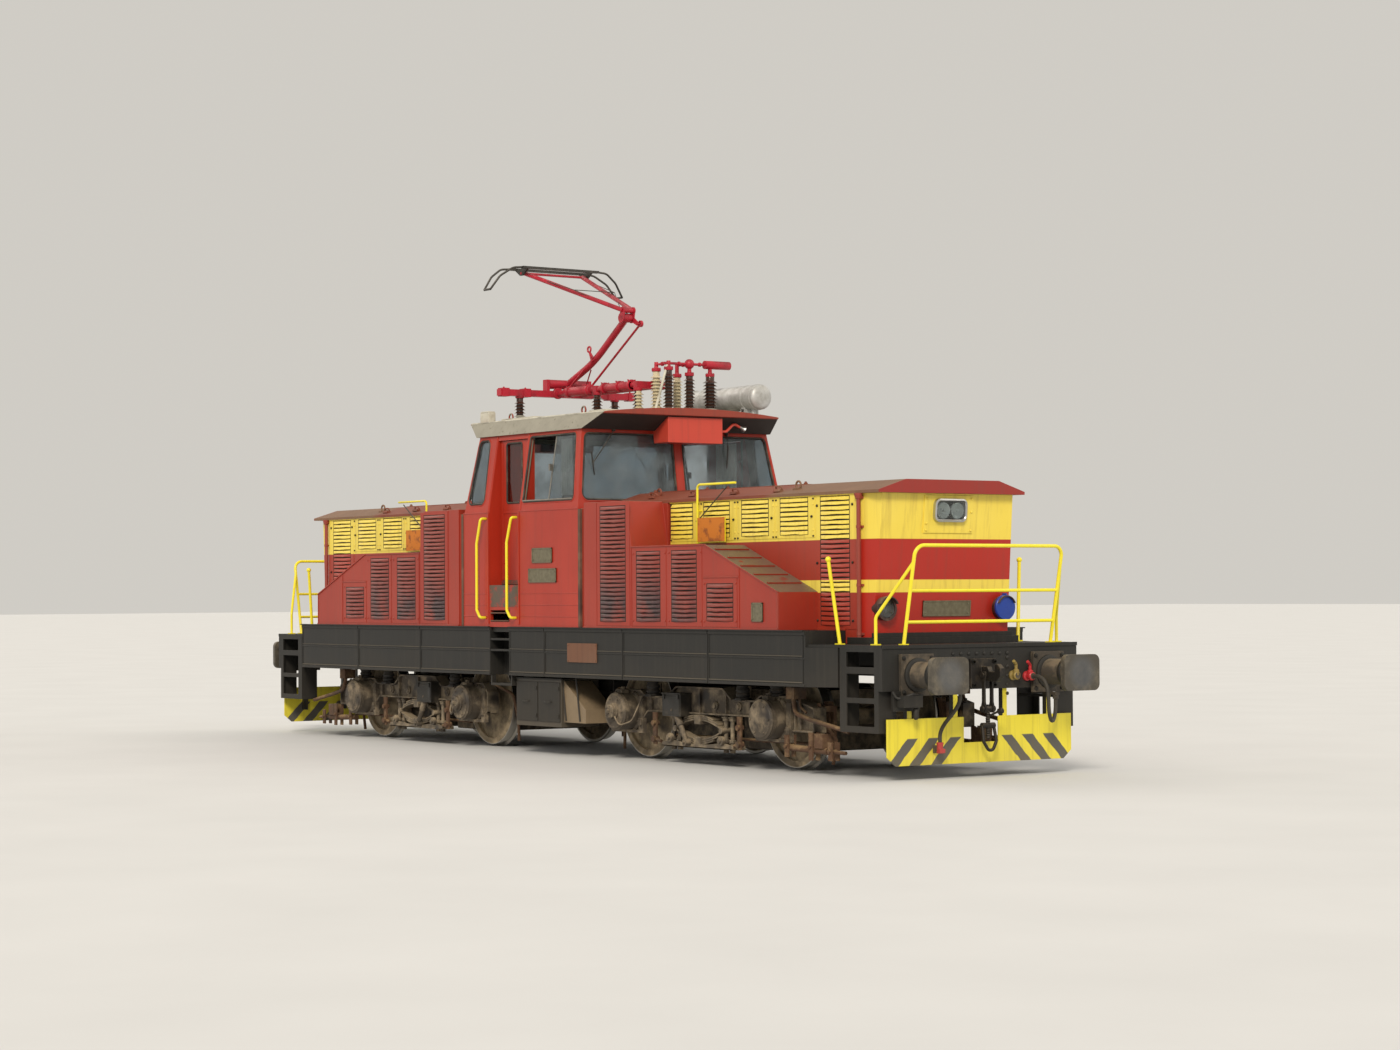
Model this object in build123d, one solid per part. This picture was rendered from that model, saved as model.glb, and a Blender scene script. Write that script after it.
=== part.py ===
from build123d import *
import math
import os

# Four-axle centre-cab electric locomotive at full size, in millimetres.
# +X points along the track to the front end, +Y to the far side, +Z up.
# The origin lies on the floor under the middle of the locomotive, at the lowest point of the wheels.

# Whole vehicle
buffer_face_x = 7200
body_half_width = 1470
deck_z = 1500
platform_z = 1360
skirt_end_x = 5610
nose_x = 5930
beam_face_x = 6650
beam_half_width = 1300
fit_gap = 0.3
run_gap = 0.05
swing_gap = 8
slope_swing_gap = 165

# Wheels and bogies
tread_radius = 525
flange_height = 28
axle_z = tread_radius + flange_height
wheelbase = 2800
bogie_centre_x = 3150
wheel_back_y = 680
tread_start_y = 712
wheel_face_y = 815
wheel_rim = 75
axle_length = 1740
axle_radius = 90
journal_radius = 70
side_frame_y = 930
side_frame_thickness = 120
axle_cover_radius = 205
axle_cover_face_y = 1270
pivot_pin_radius = 90
transom_half_length = 200
transom_bottom_z = 600
transom_top_z = 860
beam_face_y = side_frame_y + side_frame_thickness
horn_inner_x = 235
horn_outer_x = 315
horn_proud = 55
horn_top_z = 730
horn_bottom_z = 345
horn_tie_height = 30
bearer_radius = 65
bearer_height = 150
shoe_gap = 9
shoe_thickness = 53
shoe_inner_y = 725
shoe_outer_y = 805
shoe_half_height = 195
hanger_half_width = 30
hanger_bottom_z = 270
hanger_top_z = 705
hanger_bracket_height = 60
pull_rod_y = 868
pull_rod_z = 300
pull_rod_radius = 16
motor_half_width = 620
motor_top_z = 840
motor_bottom_z = 180

spring_inner_y = 960
spring_outer_y = 1100
spring_half_length = 430
spring_pack_thickness = 58
spring_lower_z = 235
spring_end_z = 335
spring_upper_z = 475
spring_top_z = 560
spring_buckle_half = 80
spring_bolt_places = (-540, -440, 440, 540)
spring_bolt_radius = 26
cradle_half_length = 640
cradle_bottom_z = 190
cradle_top_z = 235

# Underframe
deck_thickness = 60
sill_y = 520
sill_width = 150
sill_bottom_z = 1130
skirt_thickness = 30
skirt_bottom_z = 925
skirt_rib_z = 1214
skirt_rib_height = 16
skirt_rib_proud = 6
skirt_lip_height = 30
skirt_lip_proud = 10
skirt_angle_height = 45
skirt_angle_proud = 12
skirt_joint_gap = 6
door_step_z = 800
door_step_inset = 20
door_step_depth = 220
door_step_hanger = 60
step_bay_depth = 170
bay_tread_heights = (1210, 1340)
tread_thickness = 25
beam_thickness = 60
beam_bottom_z = 900
beam_top_z = platform_z - 30
platform_thickness = 30

# Buffers, hook and coupling
buffer_z = 1060
buffer_y = 875
buffer_base_size = 420
buffer_base_thickness = 40
buffer_housing_radius = 135
buffer_plunger_radius = 105
buffer_housing_length = 330
buffer_head_width = 480
buffer_head_height = 370
buffer_head_thickness = 60
hook_thickness = 60
hook_root_half_height = 70
hook_plate_half_width = 170
hook_plate_half_height = 150
hook_plate_thickness = 30
coupling_pin_x = beam_face_x + 90
coupling_pin_z = buffer_z - 20
coupling_pin_radius = 18
coupling_link_radius = 17
coupling_pin_overhang = 20
coupling_link_gap = 22
coupling_nut_radius = 32
coupling_nut_overhang = 30
coupling_nut_drop = 340
coupling_screw_radius = 26
coupling_screw_length = 170
coupling_shackle_radius = 30
hose_radius = 20
hose_head_radius = 30
hose_head_length = 110
cock_radius = 32
cock_flange_radius = 46
cock_flange_thickness = 18
cock_handle_radius = 14
cock_handle_height = 110
cap_cock_y = 410
clip_thickness = 30

# Hoods and side boxes
hood_half_width = 950
hood_top_z = 2910
hood_side_end_x = 5810
hood_end_x = 6000
hood_end_lean = 0.093
hood_corner_inset = 25
roof_flat_y = 620
roof_rise = 140
roof_overhang = 25
visor_overhang = 80
gutter_height = 30
eye_radius = 42
eye_wire_radius = 11
eye_foot_half = 45
hood_eye_places = (1950, 4600)
cab_eye_x = 820
cab_eye_y = 1080
tall_box_start_x = 1420
tall_box_end_x = 2400
tall_box_top_z = 2930
tall_box_lean = 100
box_top_z = 2410
box_slope_start_x = 3840
box_slope_end_x = 5150
box_slope_end_z = 1900
louvre_back = 3
louvre_proud = 14
slat_gap = 12
slat_lip = 6

# Lamps: the twin headlight in its raised panel and the two round lamps below
headlight_y = 10
headlight_z = 2735
headlight_width = 430
headlight_height = 240
headlight_corner = 60
headlight_rim = 20
headlight_proud = 45
headlight_recess = 30
headlight_panel_half = 320
headlight_panel_drop = 235
headlight_panel_rise = 155
headlight_panel_proud = 10
reflector_radius = 82
reflector_spacing = 185
reflector_proud = 12
lamp_y = 790
lamp_z = 1725
lamp_radius = 120
lamp_root = 40
lamp_proud = 70
lamp_rim_width = 18
lamp_rim_proud = 6
lamp_recess = 12
lamp_visor = 45

# Cab
cab_half_length = 1310
cab_knuckle_z = 2870
cab_wall = 40
cab_floor_z = 2000
cab_ledge_x = 20
cab_ledge_y = 5
cab_base_half_length = cab_half_length - cab_ledge_x
cab_base_half_width = body_half_width - cab_ledge_y
cab_lean_x = 140
cab_lean_y = 145
cab_top_half_length = cab_base_half_length - cab_lean_x
cab_top_half_width = cab_base_half_width - cab_lean_y
cab_top_z = 3800
door_start_x = -700
door_end_x = -20
step_bay_start_x = door_start_x + 30
step_bay_end_x = door_end_x - 220
door_plane_y = body_half_width - 170
door_thickness = 40
door_gap = 8
hinge_x = door_start_x + 10
hinge_out_y = door_plane_y - door_thickness - 16
hinge_pin_radius = 8
hinge_knuckle_radius = 14
hinge_lug_half = 10
hinge_lug_root = 20
hinge_knuckle_height = 60
lower_hinge_heights = (2150, 2700)
upper_hinge_heights = (3500,)
door_top_z = 3740
window_bottom_z = 2985
window_top_z = 3745
window_corner_radius = 75
sliding_window_corner = 40
window_cut_x_in = 1000
window_cut_x_out = 1400
window_cut_y_in = 1100
window_cut_y_out = 1600
front_window_foot_y = 1390
front_window_head_y = 1275
sliding_window_open_x = 600
centre_post_half = 75
glass_thickness = 10
glass_inset = 15

# Near side drain pipes, signal frames, boxes on the cab's face and the masses under the floor
drain_pipe_radius = 22
signal_frame_x = 3035
signal_frame_gap = 60
signal_frame_bottom_z = 2440
signal_frame_top_z = 3090
signal_frame_length = 725
signal_plate_length = 530
signal_plate_height = 260
whistle_box_face_x = 1470
whistle_box_start_y = -330
whistle_box_end_y = 450
whistle_box_bottom_z = 3650
transformer_half_length = 1000
transformer_half_width = 800
transformer_bottom_z = 360
underfloor_start_x = -190
underfloor_end_x = 810
underfloor_inner_y = 880
underfloor_outer_y = 1400
underfloor_bottom_z = 340
underfloor_top_z = 900

# Cab inside: desk and seat of the near side, by their corners
desk_start_x = 760
desk_top_start_x = 820
desk_end_x = 1140
desk_outer_y = 1200
desk_inner_y = 150
desk_height = 820
desk_back_height = 980
seat_x = 480
seat_y = 700
seat_half_width = 230
seat_post_radius = 60
seat_bottom_height = 400
seat_cushion_thickness = 100
seat_back_start = 210
seat_back_end = 290
seat_back_half_width = 220
seat_back_height = 980

# Cab roof
eave_half_length = cab_top_half_length + 40
eave_half_width = cab_top_half_width + 30
fascia_top_z = 3980
visor_half_length = 1510
visor_half_width = 1240
roof_crown = 70

# Roof gear
insulator_core_radius = 42
insulator_rib_radius = 72
insulator_rib_pitch = 40
insulator_foot_height = 40
tank_radius = 150
tank_y = 1000
tank_z = 4225

tank_start_x = 120
tank_end_x = 1480
tank_saddles = (350, 1250)
bus_x = 1000
bus_z = 4620
bus_start_y = -60
bus_end_y = 900

# Current collector, in the middle plane of the locomotive
arm_pivot_x = -1250
arm_pivot_z = 4500
knuckle_x = 100
knuckle_z = 5230
head_pivot_x = -1550
head_pivot_z = 5900
arm_shaft_radius = 25
arm_hub_radius = 58
arm_hub_half_width = 280
arm_tube_radius = 42
arm_bend_x = -620
arm_bend_z = 4745
arm_bend_radius = 2200
knuckle_pin_radius = 20
knuckle_hub_radius = 55
knuckle_hub_half_width = 60
knuckle_side_gap = 6
upper_tube_radius = 27
upper_tube_rise = 95
head_half_spread = 450
head_strip_half_length = 560
head_half_length = 975
head_horn_drop = 290
head_strip_spacing = 300
head_strip_height = 60
head_horn_radius = 13
head_shaft_radius = 16
tail_length = 150
tail_angle = -30
rod_pivot_x = -913
rod_pivot_z = 4441
rod_radius = 14
rod_pin_radius = 12
rod_eye_half_width = 16
rod_open_bore_radius = 28
rod_open_eye_radius = 40
rod_y = 120
base_beam_y = 170
base_beam_z = 4385
base_pad_z = 4335
cross_beam_half_length = 1000

# End platforms
rail_half_width = 980
rail_foot_x = 6600
rail_top_x = 6800
rail_tube_radius = 19
rail_bar_radius = 17
rail_top_z = 2360
rail_middle_z = 1905
rail_lower_z = 1590
rail_corner_radius = 110
rail_foot_half = 38
rail_foot_thickness = 12
rail_branch_z = 2190
rail_elbow_z = 1640
rail_elbow_back = 215
rail_elbow_out = 230
rail_elbow_radius = 90
entry_post_foot_x = 5840
entry_post_foot_y = 1200
entry_post_top_x = 5770
entry_post_top_y = 1290
entry_post_top_z = 2230
entry_post_ball_radius = 30
step_width = 230
step_plate_thickness = 20
step_bottom_z = 480
step_tread_heights = (510, 800, 1105)
step_tread_thickness = 30
step_post_width = 25
plough_thickness = 15
plough_corner_rise = 90
plough_corner_inset = 110
plough_notch_half = 230
plough_notch_z = 360
plough_strut_places = (330, 930)
plough_strut_depth = 60
plough_strut_half = 30
plough_strut_z = 310
plough_x = 6635
plough_half_width = 1230
plough_top_z = 620
plough_bottom_z = 150


def block(x_from, x_to, y_from, y_to, z_from, z_to):
    size = Box(x_to - x_from, y_to - y_from, z_to - z_from)
    return Pos((x_from + x_to) / 2, (y_from + y_to) / 2, (z_from + z_to) / 2) * size


def rod(start, end, radius):
    line = Vector(*end) - Vector(*start)
    section = Plane(origin=start, z_dir=line) * Circle(radius)
    return extrude(section, amount=line.length)


def bent_tube(points, bend, radius):
    path = FilletPolyline(*points, radius=bend)
    section = Plane(origin=path @ 0, z_dir=path % 0) * Circle(radius)
    return sweep(section, path=path)


def cross_section(outline, x_from, x_to):
    face = Plane.YZ.offset(x_from) * make_face(Polyline(*outline, close=True))
    return extrude(face, amount=x_to - x_from)


def side_profile(outline, y_from, y_to):
    plane = Plane(origin=(0, y_to, 0), x_dir=(1, 0, 0), z_dir=(0, -1, 0))
    return extrude(plane * make_face(Polyline(*outline, close=True)), amount=y_to - y_from)


def plan_profile(outline, z_from, z_to):
    return extrude(Plane.XY.offset(z_from) * make_face(Polyline(*outline, close=True)), amount=z_to - z_from)


def turned(shape):
    return Rot(0, 0, 180) * shape


def mirrored_y(shape):
    return mirror(shape, about=Plane.XZ)


def four_corners(shape):
    other_side = mirrored_y(shape)
    return [shape, other_side, turned(shape), turned(other_side)]


def frustum(low_x, low_y, low_z, high_x, high_y, high_z):
    low = Plane.XY.offset(low_z) * Rectangle(2 * low_x, 2 * low_y)
    high = Plane.XY.offset(high_z) * Rectangle(2 * high_x, 2 * high_y)
    return loft([low, high])


def underframe():
    deck_under_z = deck_z - deck_thickness
    deck_y = body_half_width - skirt_thickness
    body = block(-skirt_end_x, skirt_end_x, -deck_y, deck_y, deck_under_z, deck_z)
    platform_end = beam_face_x - beam_thickness
    platform_under_z = platform_z - platform_thickness
    for side in (-1, 1):
        inner = side * sill_y - sill_width / 2
        body += block(-skirt_end_x, skirt_end_x, inner, inner + sill_width, sill_bottom_z, deck_under_z)
        body += block(-platform_end, platform_end, inner, inner + sill_width, sill_bottom_z, platform_under_z)
    for end in (-1, 1):
        cross_x = end * bogie_centre_x
        body += block(cross_x - transom_half_length, cross_x + transom_half_length,
                      -deck_y, deck_y, sill_bottom_z, deck_under_z)
        pin = Pos(cross_x, 0, (transom_bottom_z + sill_bottom_z) / 2)
        body += pin * Cylinder(pivot_pin_radius, sill_bottom_z - transom_bottom_z)
        collar_z = transom_top_z + fit_gap
        collar = Pos(cross_x, 0, (collar_z + sill_bottom_z) / 2)
        body += collar * Cylinder(2 * pivot_pin_radius, sill_bottom_z - collar_z)
    outline = [(skirt_end_x, -deck_y), (nose_x, -beam_half_width), (beam_face_x, -beam_half_width),
               (beam_face_x, beam_half_width), (nose_x, beam_half_width), (skirt_end_x, deck_y)]
    platform = plan_profile(outline, platform_under_z, platform_z)
    step = block(skirt_end_x - deck_thickness, skirt_end_x, -deck_y, deck_y, platform_under_z, deck_under_z)
    for piece in (platform, step):
        body += piece + turned(piece)
    return [body]


# x of the joints between the near side's skirt panels, with the step bay left open between the doorposts
skirt_joints = (-skirt_end_x, -4020, -2380, step_bay_start_x, step_bay_end_x, 560, 2220, 3880, skirt_end_x)


def skirt_trim():
    wall_y = -body_half_width
    # how far each strip stands out, its lower edge, its height
    strips = [
        (skirt_lip_proud, skirt_bottom_z, skirt_lip_height),
        (skirt_rib_proud, skirt_rib_z - skirt_rib_height / 2, skirt_rib_height),
        (skirt_angle_proud, deck_z - skirt_angle_height, skirt_angle_height),
    ]
    trim = []
    for start, end in zip(skirt_joints, skirt_joints[1:]):
        if start == step_bay_start_x:
            continue
        for proud, low, height in strips:
            trim.append(block(start + skirt_joint_gap, end - skirt_joint_gap, wall_y - proud, wall_y, low,
                              low + height))
    return trim


def side_skirts():
    inner_y = body_half_width - skirt_thickness
    back_y = -inner_y + step_bay_depth
    frame_top_z = deck_z - deck_thickness
    plate = block(-skirt_end_x, skirt_end_x, -body_half_width, -inner_y, skirt_bottom_z, deck_z)
    plate -= block(step_bay_start_x, step_bay_end_x, -body_half_width, -inner_y, skirt_bottom_z, deck_z)
    side = plate + block(step_bay_start_x, step_bay_end_x, back_y, back_y + skirt_thickness, skirt_bottom_z,
                         frame_top_z)
    for edge in (step_bay_start_x - skirt_thickness, step_bay_end_x):
        side += block(edge, edge + skirt_thickness, -body_half_width, back_y + skirt_thickness,
                      skirt_bottom_z, frame_top_z)
    for tread_z in bay_tread_heights:
        side += block(step_bay_start_x, step_bay_end_x, -body_half_width, back_y, tread_z,
                      tread_z + tread_thickness)
    for strip in skirt_trim():
        side += strip
    corner = [(skirt_end_x, -body_half_width), (nose_x, -beam_half_width),
              (nose_x, -beam_half_width + skirt_thickness), (skirt_end_x, -inner_y)]
    chamfer_plate = plan_profile(corner, skirt_bottom_z, platform_z - platform_thickness)
    side += chamfer_plate + turned(mirrored_y(chamfer_plate))
    return [side, turned(side)]


def end_beams():
    beam = block(beam_face_x - beam_thickness, beam_face_x, -beam_half_width, beam_half_width,
                 beam_bottom_z, beam_top_z)
    return [beam, turned(beam)]


def buffer_housings():
    back_x = beam_face_x
    base = block(back_x, back_x + buffer_base_thickness,
                 -buffer_y - buffer_base_size / 2, -buffer_y + buffer_base_size / 2,
                 buffer_z - buffer_base_size / 2, buffer_z + buffer_base_size / 2)
    start = (back_x + buffer_base_thickness, -buffer_y, buffer_z)
    end = (back_x + buffer_base_thickness + buffer_housing_length, -buffer_y, buffer_z)
    return four_corners(base + rod(start, end, buffer_housing_radius))


def buffer_heads():
    seat_x = beam_face_x + buffer_base_thickness + buffer_housing_length
    back_x = buffer_face_x - buffer_head_thickness
    plunger = rod((seat_x, -buffer_y, buffer_z), (back_x, -buffer_y, buffer_z), buffer_plunger_radius)
    section = Plane.YZ.offset(back_x) * RectangleRounded(buffer_head_width, buffer_head_height, 70)
    plate = Pos(0, -buffer_y, buffer_z) * extrude(section, amount=buffer_head_thickness)
    return four_corners(plunger + plate)


def draw_hooks():
    x = beam_face_x
    z = buffer_z
    root = hook_root_half_height
    # the hook's outline from below its root, round the jaw and back
    outline = [(x, z - root), (x, z + root), (x + 120, z + root), (x + 150, z + 20), (x + 230, z + 20),
               (x + 230, z + 90), (x + 270, z + 100), (x + 320, z + 60), (x + 320, z - 20),
               (x + 260, z - 80), (x + 120, z - 80)]
    hook = side_profile(outline, -hook_thickness / 2, hook_thickness / 2)
    hook -= rod((coupling_pin_x, -hook_thickness, coupling_pin_z),
                (coupling_pin_x, hook_thickness, coupling_pin_z),
                coupling_pin_radius + run_gap)
    plate = block(x, x + hook_plate_thickness, -hook_plate_half_width, hook_plate_half_width,
                  z - hook_plate_half_height, z + hook_plate_half_height)
    both = hook + plate
    return [both, turned(both)]


def cross_bar(x, z, half_length, radius):
    return rod((x, -half_length, z), (x, half_length, z), radius)


def screw_couplings():
    x = coupling_pin_x
    link_y = hook_thickness / 2 + coupling_link_gap
    nut_z = coupling_pin_z - coupling_nut_drop
    end_z = nut_z - coupling_screw_length
    body = cross_bar(x, coupling_pin_z, link_y + coupling_pin_overhang, coupling_pin_radius)
    for side in (-1, 1):
        body += rod((x, side * link_y, coupling_pin_z), (x, side * link_y, nut_z), coupling_link_radius)
    body += cross_bar(x, nut_z, link_y + coupling_nut_overhang, coupling_nut_radius)
    body += rod((x, 0, nut_z), (x, 0, end_z), coupling_screw_radius)
    body += cross_bar(x, end_z, link_y + coupling_nut_overhang, coupling_shackle_radius)
    return [body, turned(body)]


def hose_path(points):
    # each corner's arc takes 0.45 of the shorter run beside it
    bends = []
    for before, corner, after in zip(points, points[1:], points[2:]):
        back = Vector(*before) - Vector(*corner)
        ahead = Vector(*after) - Vector(*corner)
        turn = math.radians(180 - back.get_angle(ahead))
        bends.append(0.45 * min(back.length, ahead.length) / math.tan(turn / 2))
    path = FilletPolyline(*points, radius=bends)
    print("hose length", round(path.length, 1), "bends", [round(bend) for bend in bends])
    return path


def hose_tube(points):
    path = hose_path(points)
    section = Plane(origin=path @ 0, z_dir=path % 0) * Circle(hose_radius)
    return sweep(section, path=path)


# The front end's free brake hoses, from the cock's mouth to the end that is stowed. The far one hangs in
# a loop and is held under the buffer base, the near one hangs down to a hook on the plough.
far_hose = [(6760, 600, 1020), (6850, 600, 1020), (6932, 600, 978), (6980, 600, 898), (6990, 602, 790),
            (6988, 606, 690), (6960, 644, 608), (6911, 710, 560), (6854, 786, 560), (6805, 851, 608),
            (6776, 889, 690), (6776, 889, 780)]
near_hose = [(6760, -560, 1020), (6850, -560, 1020), (6932, -560, 978), (6978, -562, 895), (6976, -567, 795),
             (6925, -585, 705), (6852, -605, 627), (6776, -620, 548), (6730, -626, 465), (6730, -626, 378)]


def brake_hoses():
    # the cocks on the beam: side, height, reach
    x = beam_face_x
    metal = []
    for y, z, mouth_x in ((600, 1020, far_hose[0][0]), (-560, 1020, near_hose[0][0]),
                          (cap_cock_y, 1030, 6740)):
        cock = rod((x, y, z), (mouth_x, y, z), cock_radius)
        cock += rod((x, y, z), (x + cock_flange_thickness, y, z), cock_flange_radius)
        cock += rod((x + 60, y, z), (x + 60, y, z + cock_handle_height), cock_handle_radius)
        metal.append(cock)
    end_x, end_y, end_z = far_hose[-1]
    clip_top_z = buffer_z - buffer_base_size / 2
    holder = rod((end_x, end_y, end_z), (end_x, end_y, clip_top_z), hose_head_radius)
    holder += block(x, end_x + hose_head_radius, end_y - hose_head_radius, end_y + hose_head_radius,
                    clip_top_z - clip_thickness, clip_top_z)
    metal.append(holder)
    end_x, end_y, end_z = near_hose[-1]
    head = rod((end_x, end_y, end_z), (end_x, end_y, end_z - hose_head_length), hose_head_radius)
    head += block(plough_x, end_x, end_y - clip_thickness / 2, end_y + clip_thickness / 2,
                  end_z - hose_head_length, end_z - clip_thickness)
    metal.append(head)
    return metal + [turned(piece) for piece in metal]


def corner_steps():
    y_out = -beam_half_width
    y_in = y_out + step_width
    top = platform_z - platform_thickness
    start = nose_x + skirt_thickness
    end = beam_face_x - beam_thickness
    frame = block(start, end, y_out, y_out + step_plate_thickness, step_bottom_z, top)
    # lower and upper edges of the openings between the treads
    for low, high in ((545, 775), (830, 1070), (1140, 1290)):
        frame -= block(start + 110, end - 70, y_out, y_out + step_plate_thickness, low, high)
    half = step_tread_thickness / 2
    for tread_z in step_tread_heights:
        frame += block(start + 40, end - 20, y_out, y_in, tread_z - half, tread_z + half)
    for edge in (start, end - step_post_width):
        frame += block(edge, edge + step_post_width, y_out, y_in, step_bottom_z, top)
    return four_corners(frame)


def ploughs():
    half = plough_half_width
    low, high = plough_bottom_z, plough_top_z
    inset, notch = plough_corner_inset, plough_notch_half
    outline = [(-half, high), (-half, low + plough_corner_rise), (-half + inset, low), (half - inset, low),
               (half, low + plough_corner_rise), (half, high), (notch, high), (notch, plough_notch_z),
               (-notch, plough_notch_z), (-notch, high)]
    back_x = plough_x - plough_thickness
    blade = cross_section(outline, back_x, plough_x)
    for place in plough_strut_places:
        for y in (-place, place):
            blade += block(back_x - plough_strut_depth, back_x, y - plough_strut_half, y + plough_strut_half,
                           plough_strut_z, beam_bottom_z)
    return [blade, turned(blade)]


def lean_x(z):
    share = (z - platform_z) / (rail_top_z - platform_z)
    return rail_foot_x + share * (rail_top_x - rail_foot_x)


def foot_plate(x, y):
    return block(x - rail_foot_half, x + rail_foot_half, y - rail_foot_half, y + rail_foot_half,
                 platform_z, platform_z + rail_foot_thickness)


def end_railings():
    half = rail_half_width
    r = rail_tube_radius
    low_z = platform_z + rail_foot_thickness / 2
    low_x = lean_x(low_z)
    top_x = lean_x(rail_top_z)
    frame = bent_tube([(low_x, -half, low_z), (top_x, -half, rail_top_z), (top_x, half, rail_top_z),
                       (low_x, half, low_z)], rail_corner_radius, r)
    for z in (rail_middle_z, rail_lower_z):
        frame += rod((lean_x(z), -half, z), (lean_x(z), half, z), rail_bar_radius)
    posts = []
    for side in (-1, 1):
        elbow_x = lean_x(rail_elbow_z) - rail_elbow_back
        elbow_y = side * (half + rail_elbow_out)
        frame += bent_tube([(lean_x(rail_branch_z), side * half, rail_branch_z),
                            (elbow_x, elbow_y, rail_elbow_z),
                            (elbow_x, elbow_y, low_z)], rail_elbow_radius, rail_bar_radius)
        frame += foot_plate(low_x, side * half) + foot_plate(elbow_x, elbow_y)
        foot = (entry_post_foot_x, side * entry_post_foot_y, low_z)
        top = (entry_post_top_x, side * entry_post_top_y, entry_post_top_z)
        post = rod(foot, top, r) + Pos(*top) * Sphere(entry_post_ball_radius) + foot_plate(foot[0], foot[1])
        posts.append(post)
    pieces = [frame] + posts
    return pieces + [turned(piece) for piece in pieces]


def hood_face_x(z):
    return hood_end_x + hood_end_lean * (z - platform_z)


def hoods():
    outline = [(cab_half_length, deck_z), (skirt_end_x, deck_z), (skirt_end_x, platform_z),
               (hood_face_x(platform_z), platform_z), (hood_face_x(hood_top_z), hood_top_z),
               (cab_half_length, hood_top_z)]
    hood = side_profile(outline, -hood_half_width, hood_half_width)
    far_x = hood_face_x(hood_top_z) + 10
    for side in (-1, 1):
        corner = [(hood_side_end_x, side * hood_half_width),
                  (far_x, side * (hood_half_width - 3 * hood_corner_inset)),
                  (far_x, side * (hood_half_width + 10)), (hood_side_end_x, side * (hood_half_width + 10))]
        hood -= plan_profile(corner, platform_z - 1, hood_top_z + 1)
    return [hood, turned(hood)]


def lifting_eye(x, y, seat_z):
    eye = Pos(x, y, seat_z + eye_radius) * Rot(90, 0, 0) * Torus(eye_radius, eye_wire_radius)
    foot = block(x - eye_foot_half, x + eye_foot_half, y - eye_foot_half, y + eye_foot_half, seat_z - 20,
                 seat_z + 8)
    return eye + foot


def hood_roofs():
    eave = hood_half_width + roof_overhang
    low = hood_top_z
    slope_y = (hood_half_width + roof_flat_y) / 2
    outline = [(-eave, low), (eave, low), (eave, low + gutter_height), (roof_flat_y, low + roof_rise),
               (-roof_flat_y, low + roof_rise), (-eave, low + gutter_height)]
    roof = cross_section(outline, cab_half_length, hood_face_x(hood_top_z) + visor_overhang)
    slope_z = low + (gutter_height + roof_rise) / 2
    for x in hood_eye_places:
        for side in (-1, 1):
            roof += lifting_eye(x, side * slope_y, slope_z)
    return [roof, turned(roof)]


# Grilles on the hood sides: start x, end x, bottom z, top z, number of slats
hood_louvre_table = [
    (2420, 2867, 2500, 2896, 8),
    (3067, 3573, 2500, 2896, 8),
    (3785, 4291, 2500, 2896, 8),
    (4489, 4991, 2500, 2896, 8),
    (5195, 5700, 1550, 2896, 27),
]

# Grilles on the side boxes: start x, end x, bottom z, top z, number of slats
box_louvre_table = [
    (1760, 2290, 1575, 2880, 27),
    (2500, 2980, 1580, 2360, 16),
    (3190, 3680, 1580, 2360, 16),
    (3860, 4355, 1590, 1995, 8),
]


def slatted_panel(start, end, low, high, count, wall_y):
    pitch = (high - low) / count
    back_y = wall_y - louvre_back
    proud_y = wall_y - louvre_proud
    outline = [(wall_y, high), (wall_y, low), (back_y, low)]
    for step in range(count):
        foot = low + step * pitch + slat_gap
        outline += [(back_y, foot), (proud_y, foot), (proud_y, foot + slat_lip),
                    (back_y, foot + pitch - slat_gap)]
    return cross_section(outline, start, end)


def hood_louvres():
    panels = [slatted_panel(*row, -hood_half_width) for row in hood_louvre_table]
    return [piece for panel in panels for piece in four_corners(panel)]


def box_louvres():
    panels = [slatted_panel(*row, -body_half_width) for row in box_louvre_table]
    return [piece for panel in panels for piece in four_corners(panel)]


def side_boxes():
    outline = [(tall_box_end_x, deck_z), (tall_box_end_x, box_top_z), (box_slope_start_x, box_top_z),
               (box_slope_end_x, box_slope_end_z), (box_slope_end_x, deck_z)]
    box = side_profile(outline, -body_half_width, -hood_half_width)
    return four_corners(box)


def tall_boxes():
    outline = [(tall_box_start_x, deck_z), (tall_box_start_x, tall_box_top_z),
               (tall_box_end_x - tall_box_lean, tall_box_top_z), (tall_box_end_x, box_top_z),
               (tall_box_end_x, deck_z)]
    box = side_profile(outline, -body_half_width, -hood_half_width - roof_overhang)
    joint = block(cab_half_length, tall_box_start_x, -body_half_width + 25, -hood_half_width - roof_overhang,
                  deck_z, cab_knuckle_z)
    filler = block(tall_box_start_x, tall_box_end_x, -hood_half_width - roof_overhang, -hood_half_width,
                   deck_z, hood_top_z)
    return four_corners(box + joint + filler)


def cab_outer():
    lower = block(-cab_half_length, cab_half_length, -body_half_width, body_half_width, deck_z, cab_knuckle_z)
    upper = frustum(cab_base_half_length, cab_base_half_width, cab_knuckle_z,
                    cab_top_half_length, cab_top_half_width, cab_top_z)
    return lower, upper


def door_passage():
    y_in = -door_plane_y + door_thickness
    return block(door_start_x, door_end_x, -body_half_width - 10, y_in + 60, cab_floor_z, door_top_z)


def door_jamb():
    wall = cab_wall
    y_in = -door_plane_y + door_thickness
    return block(door_start_x - wall, door_end_x + wall, -body_half_width, y_in, cab_floor_z - wall,
                 cab_top_z)


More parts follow.
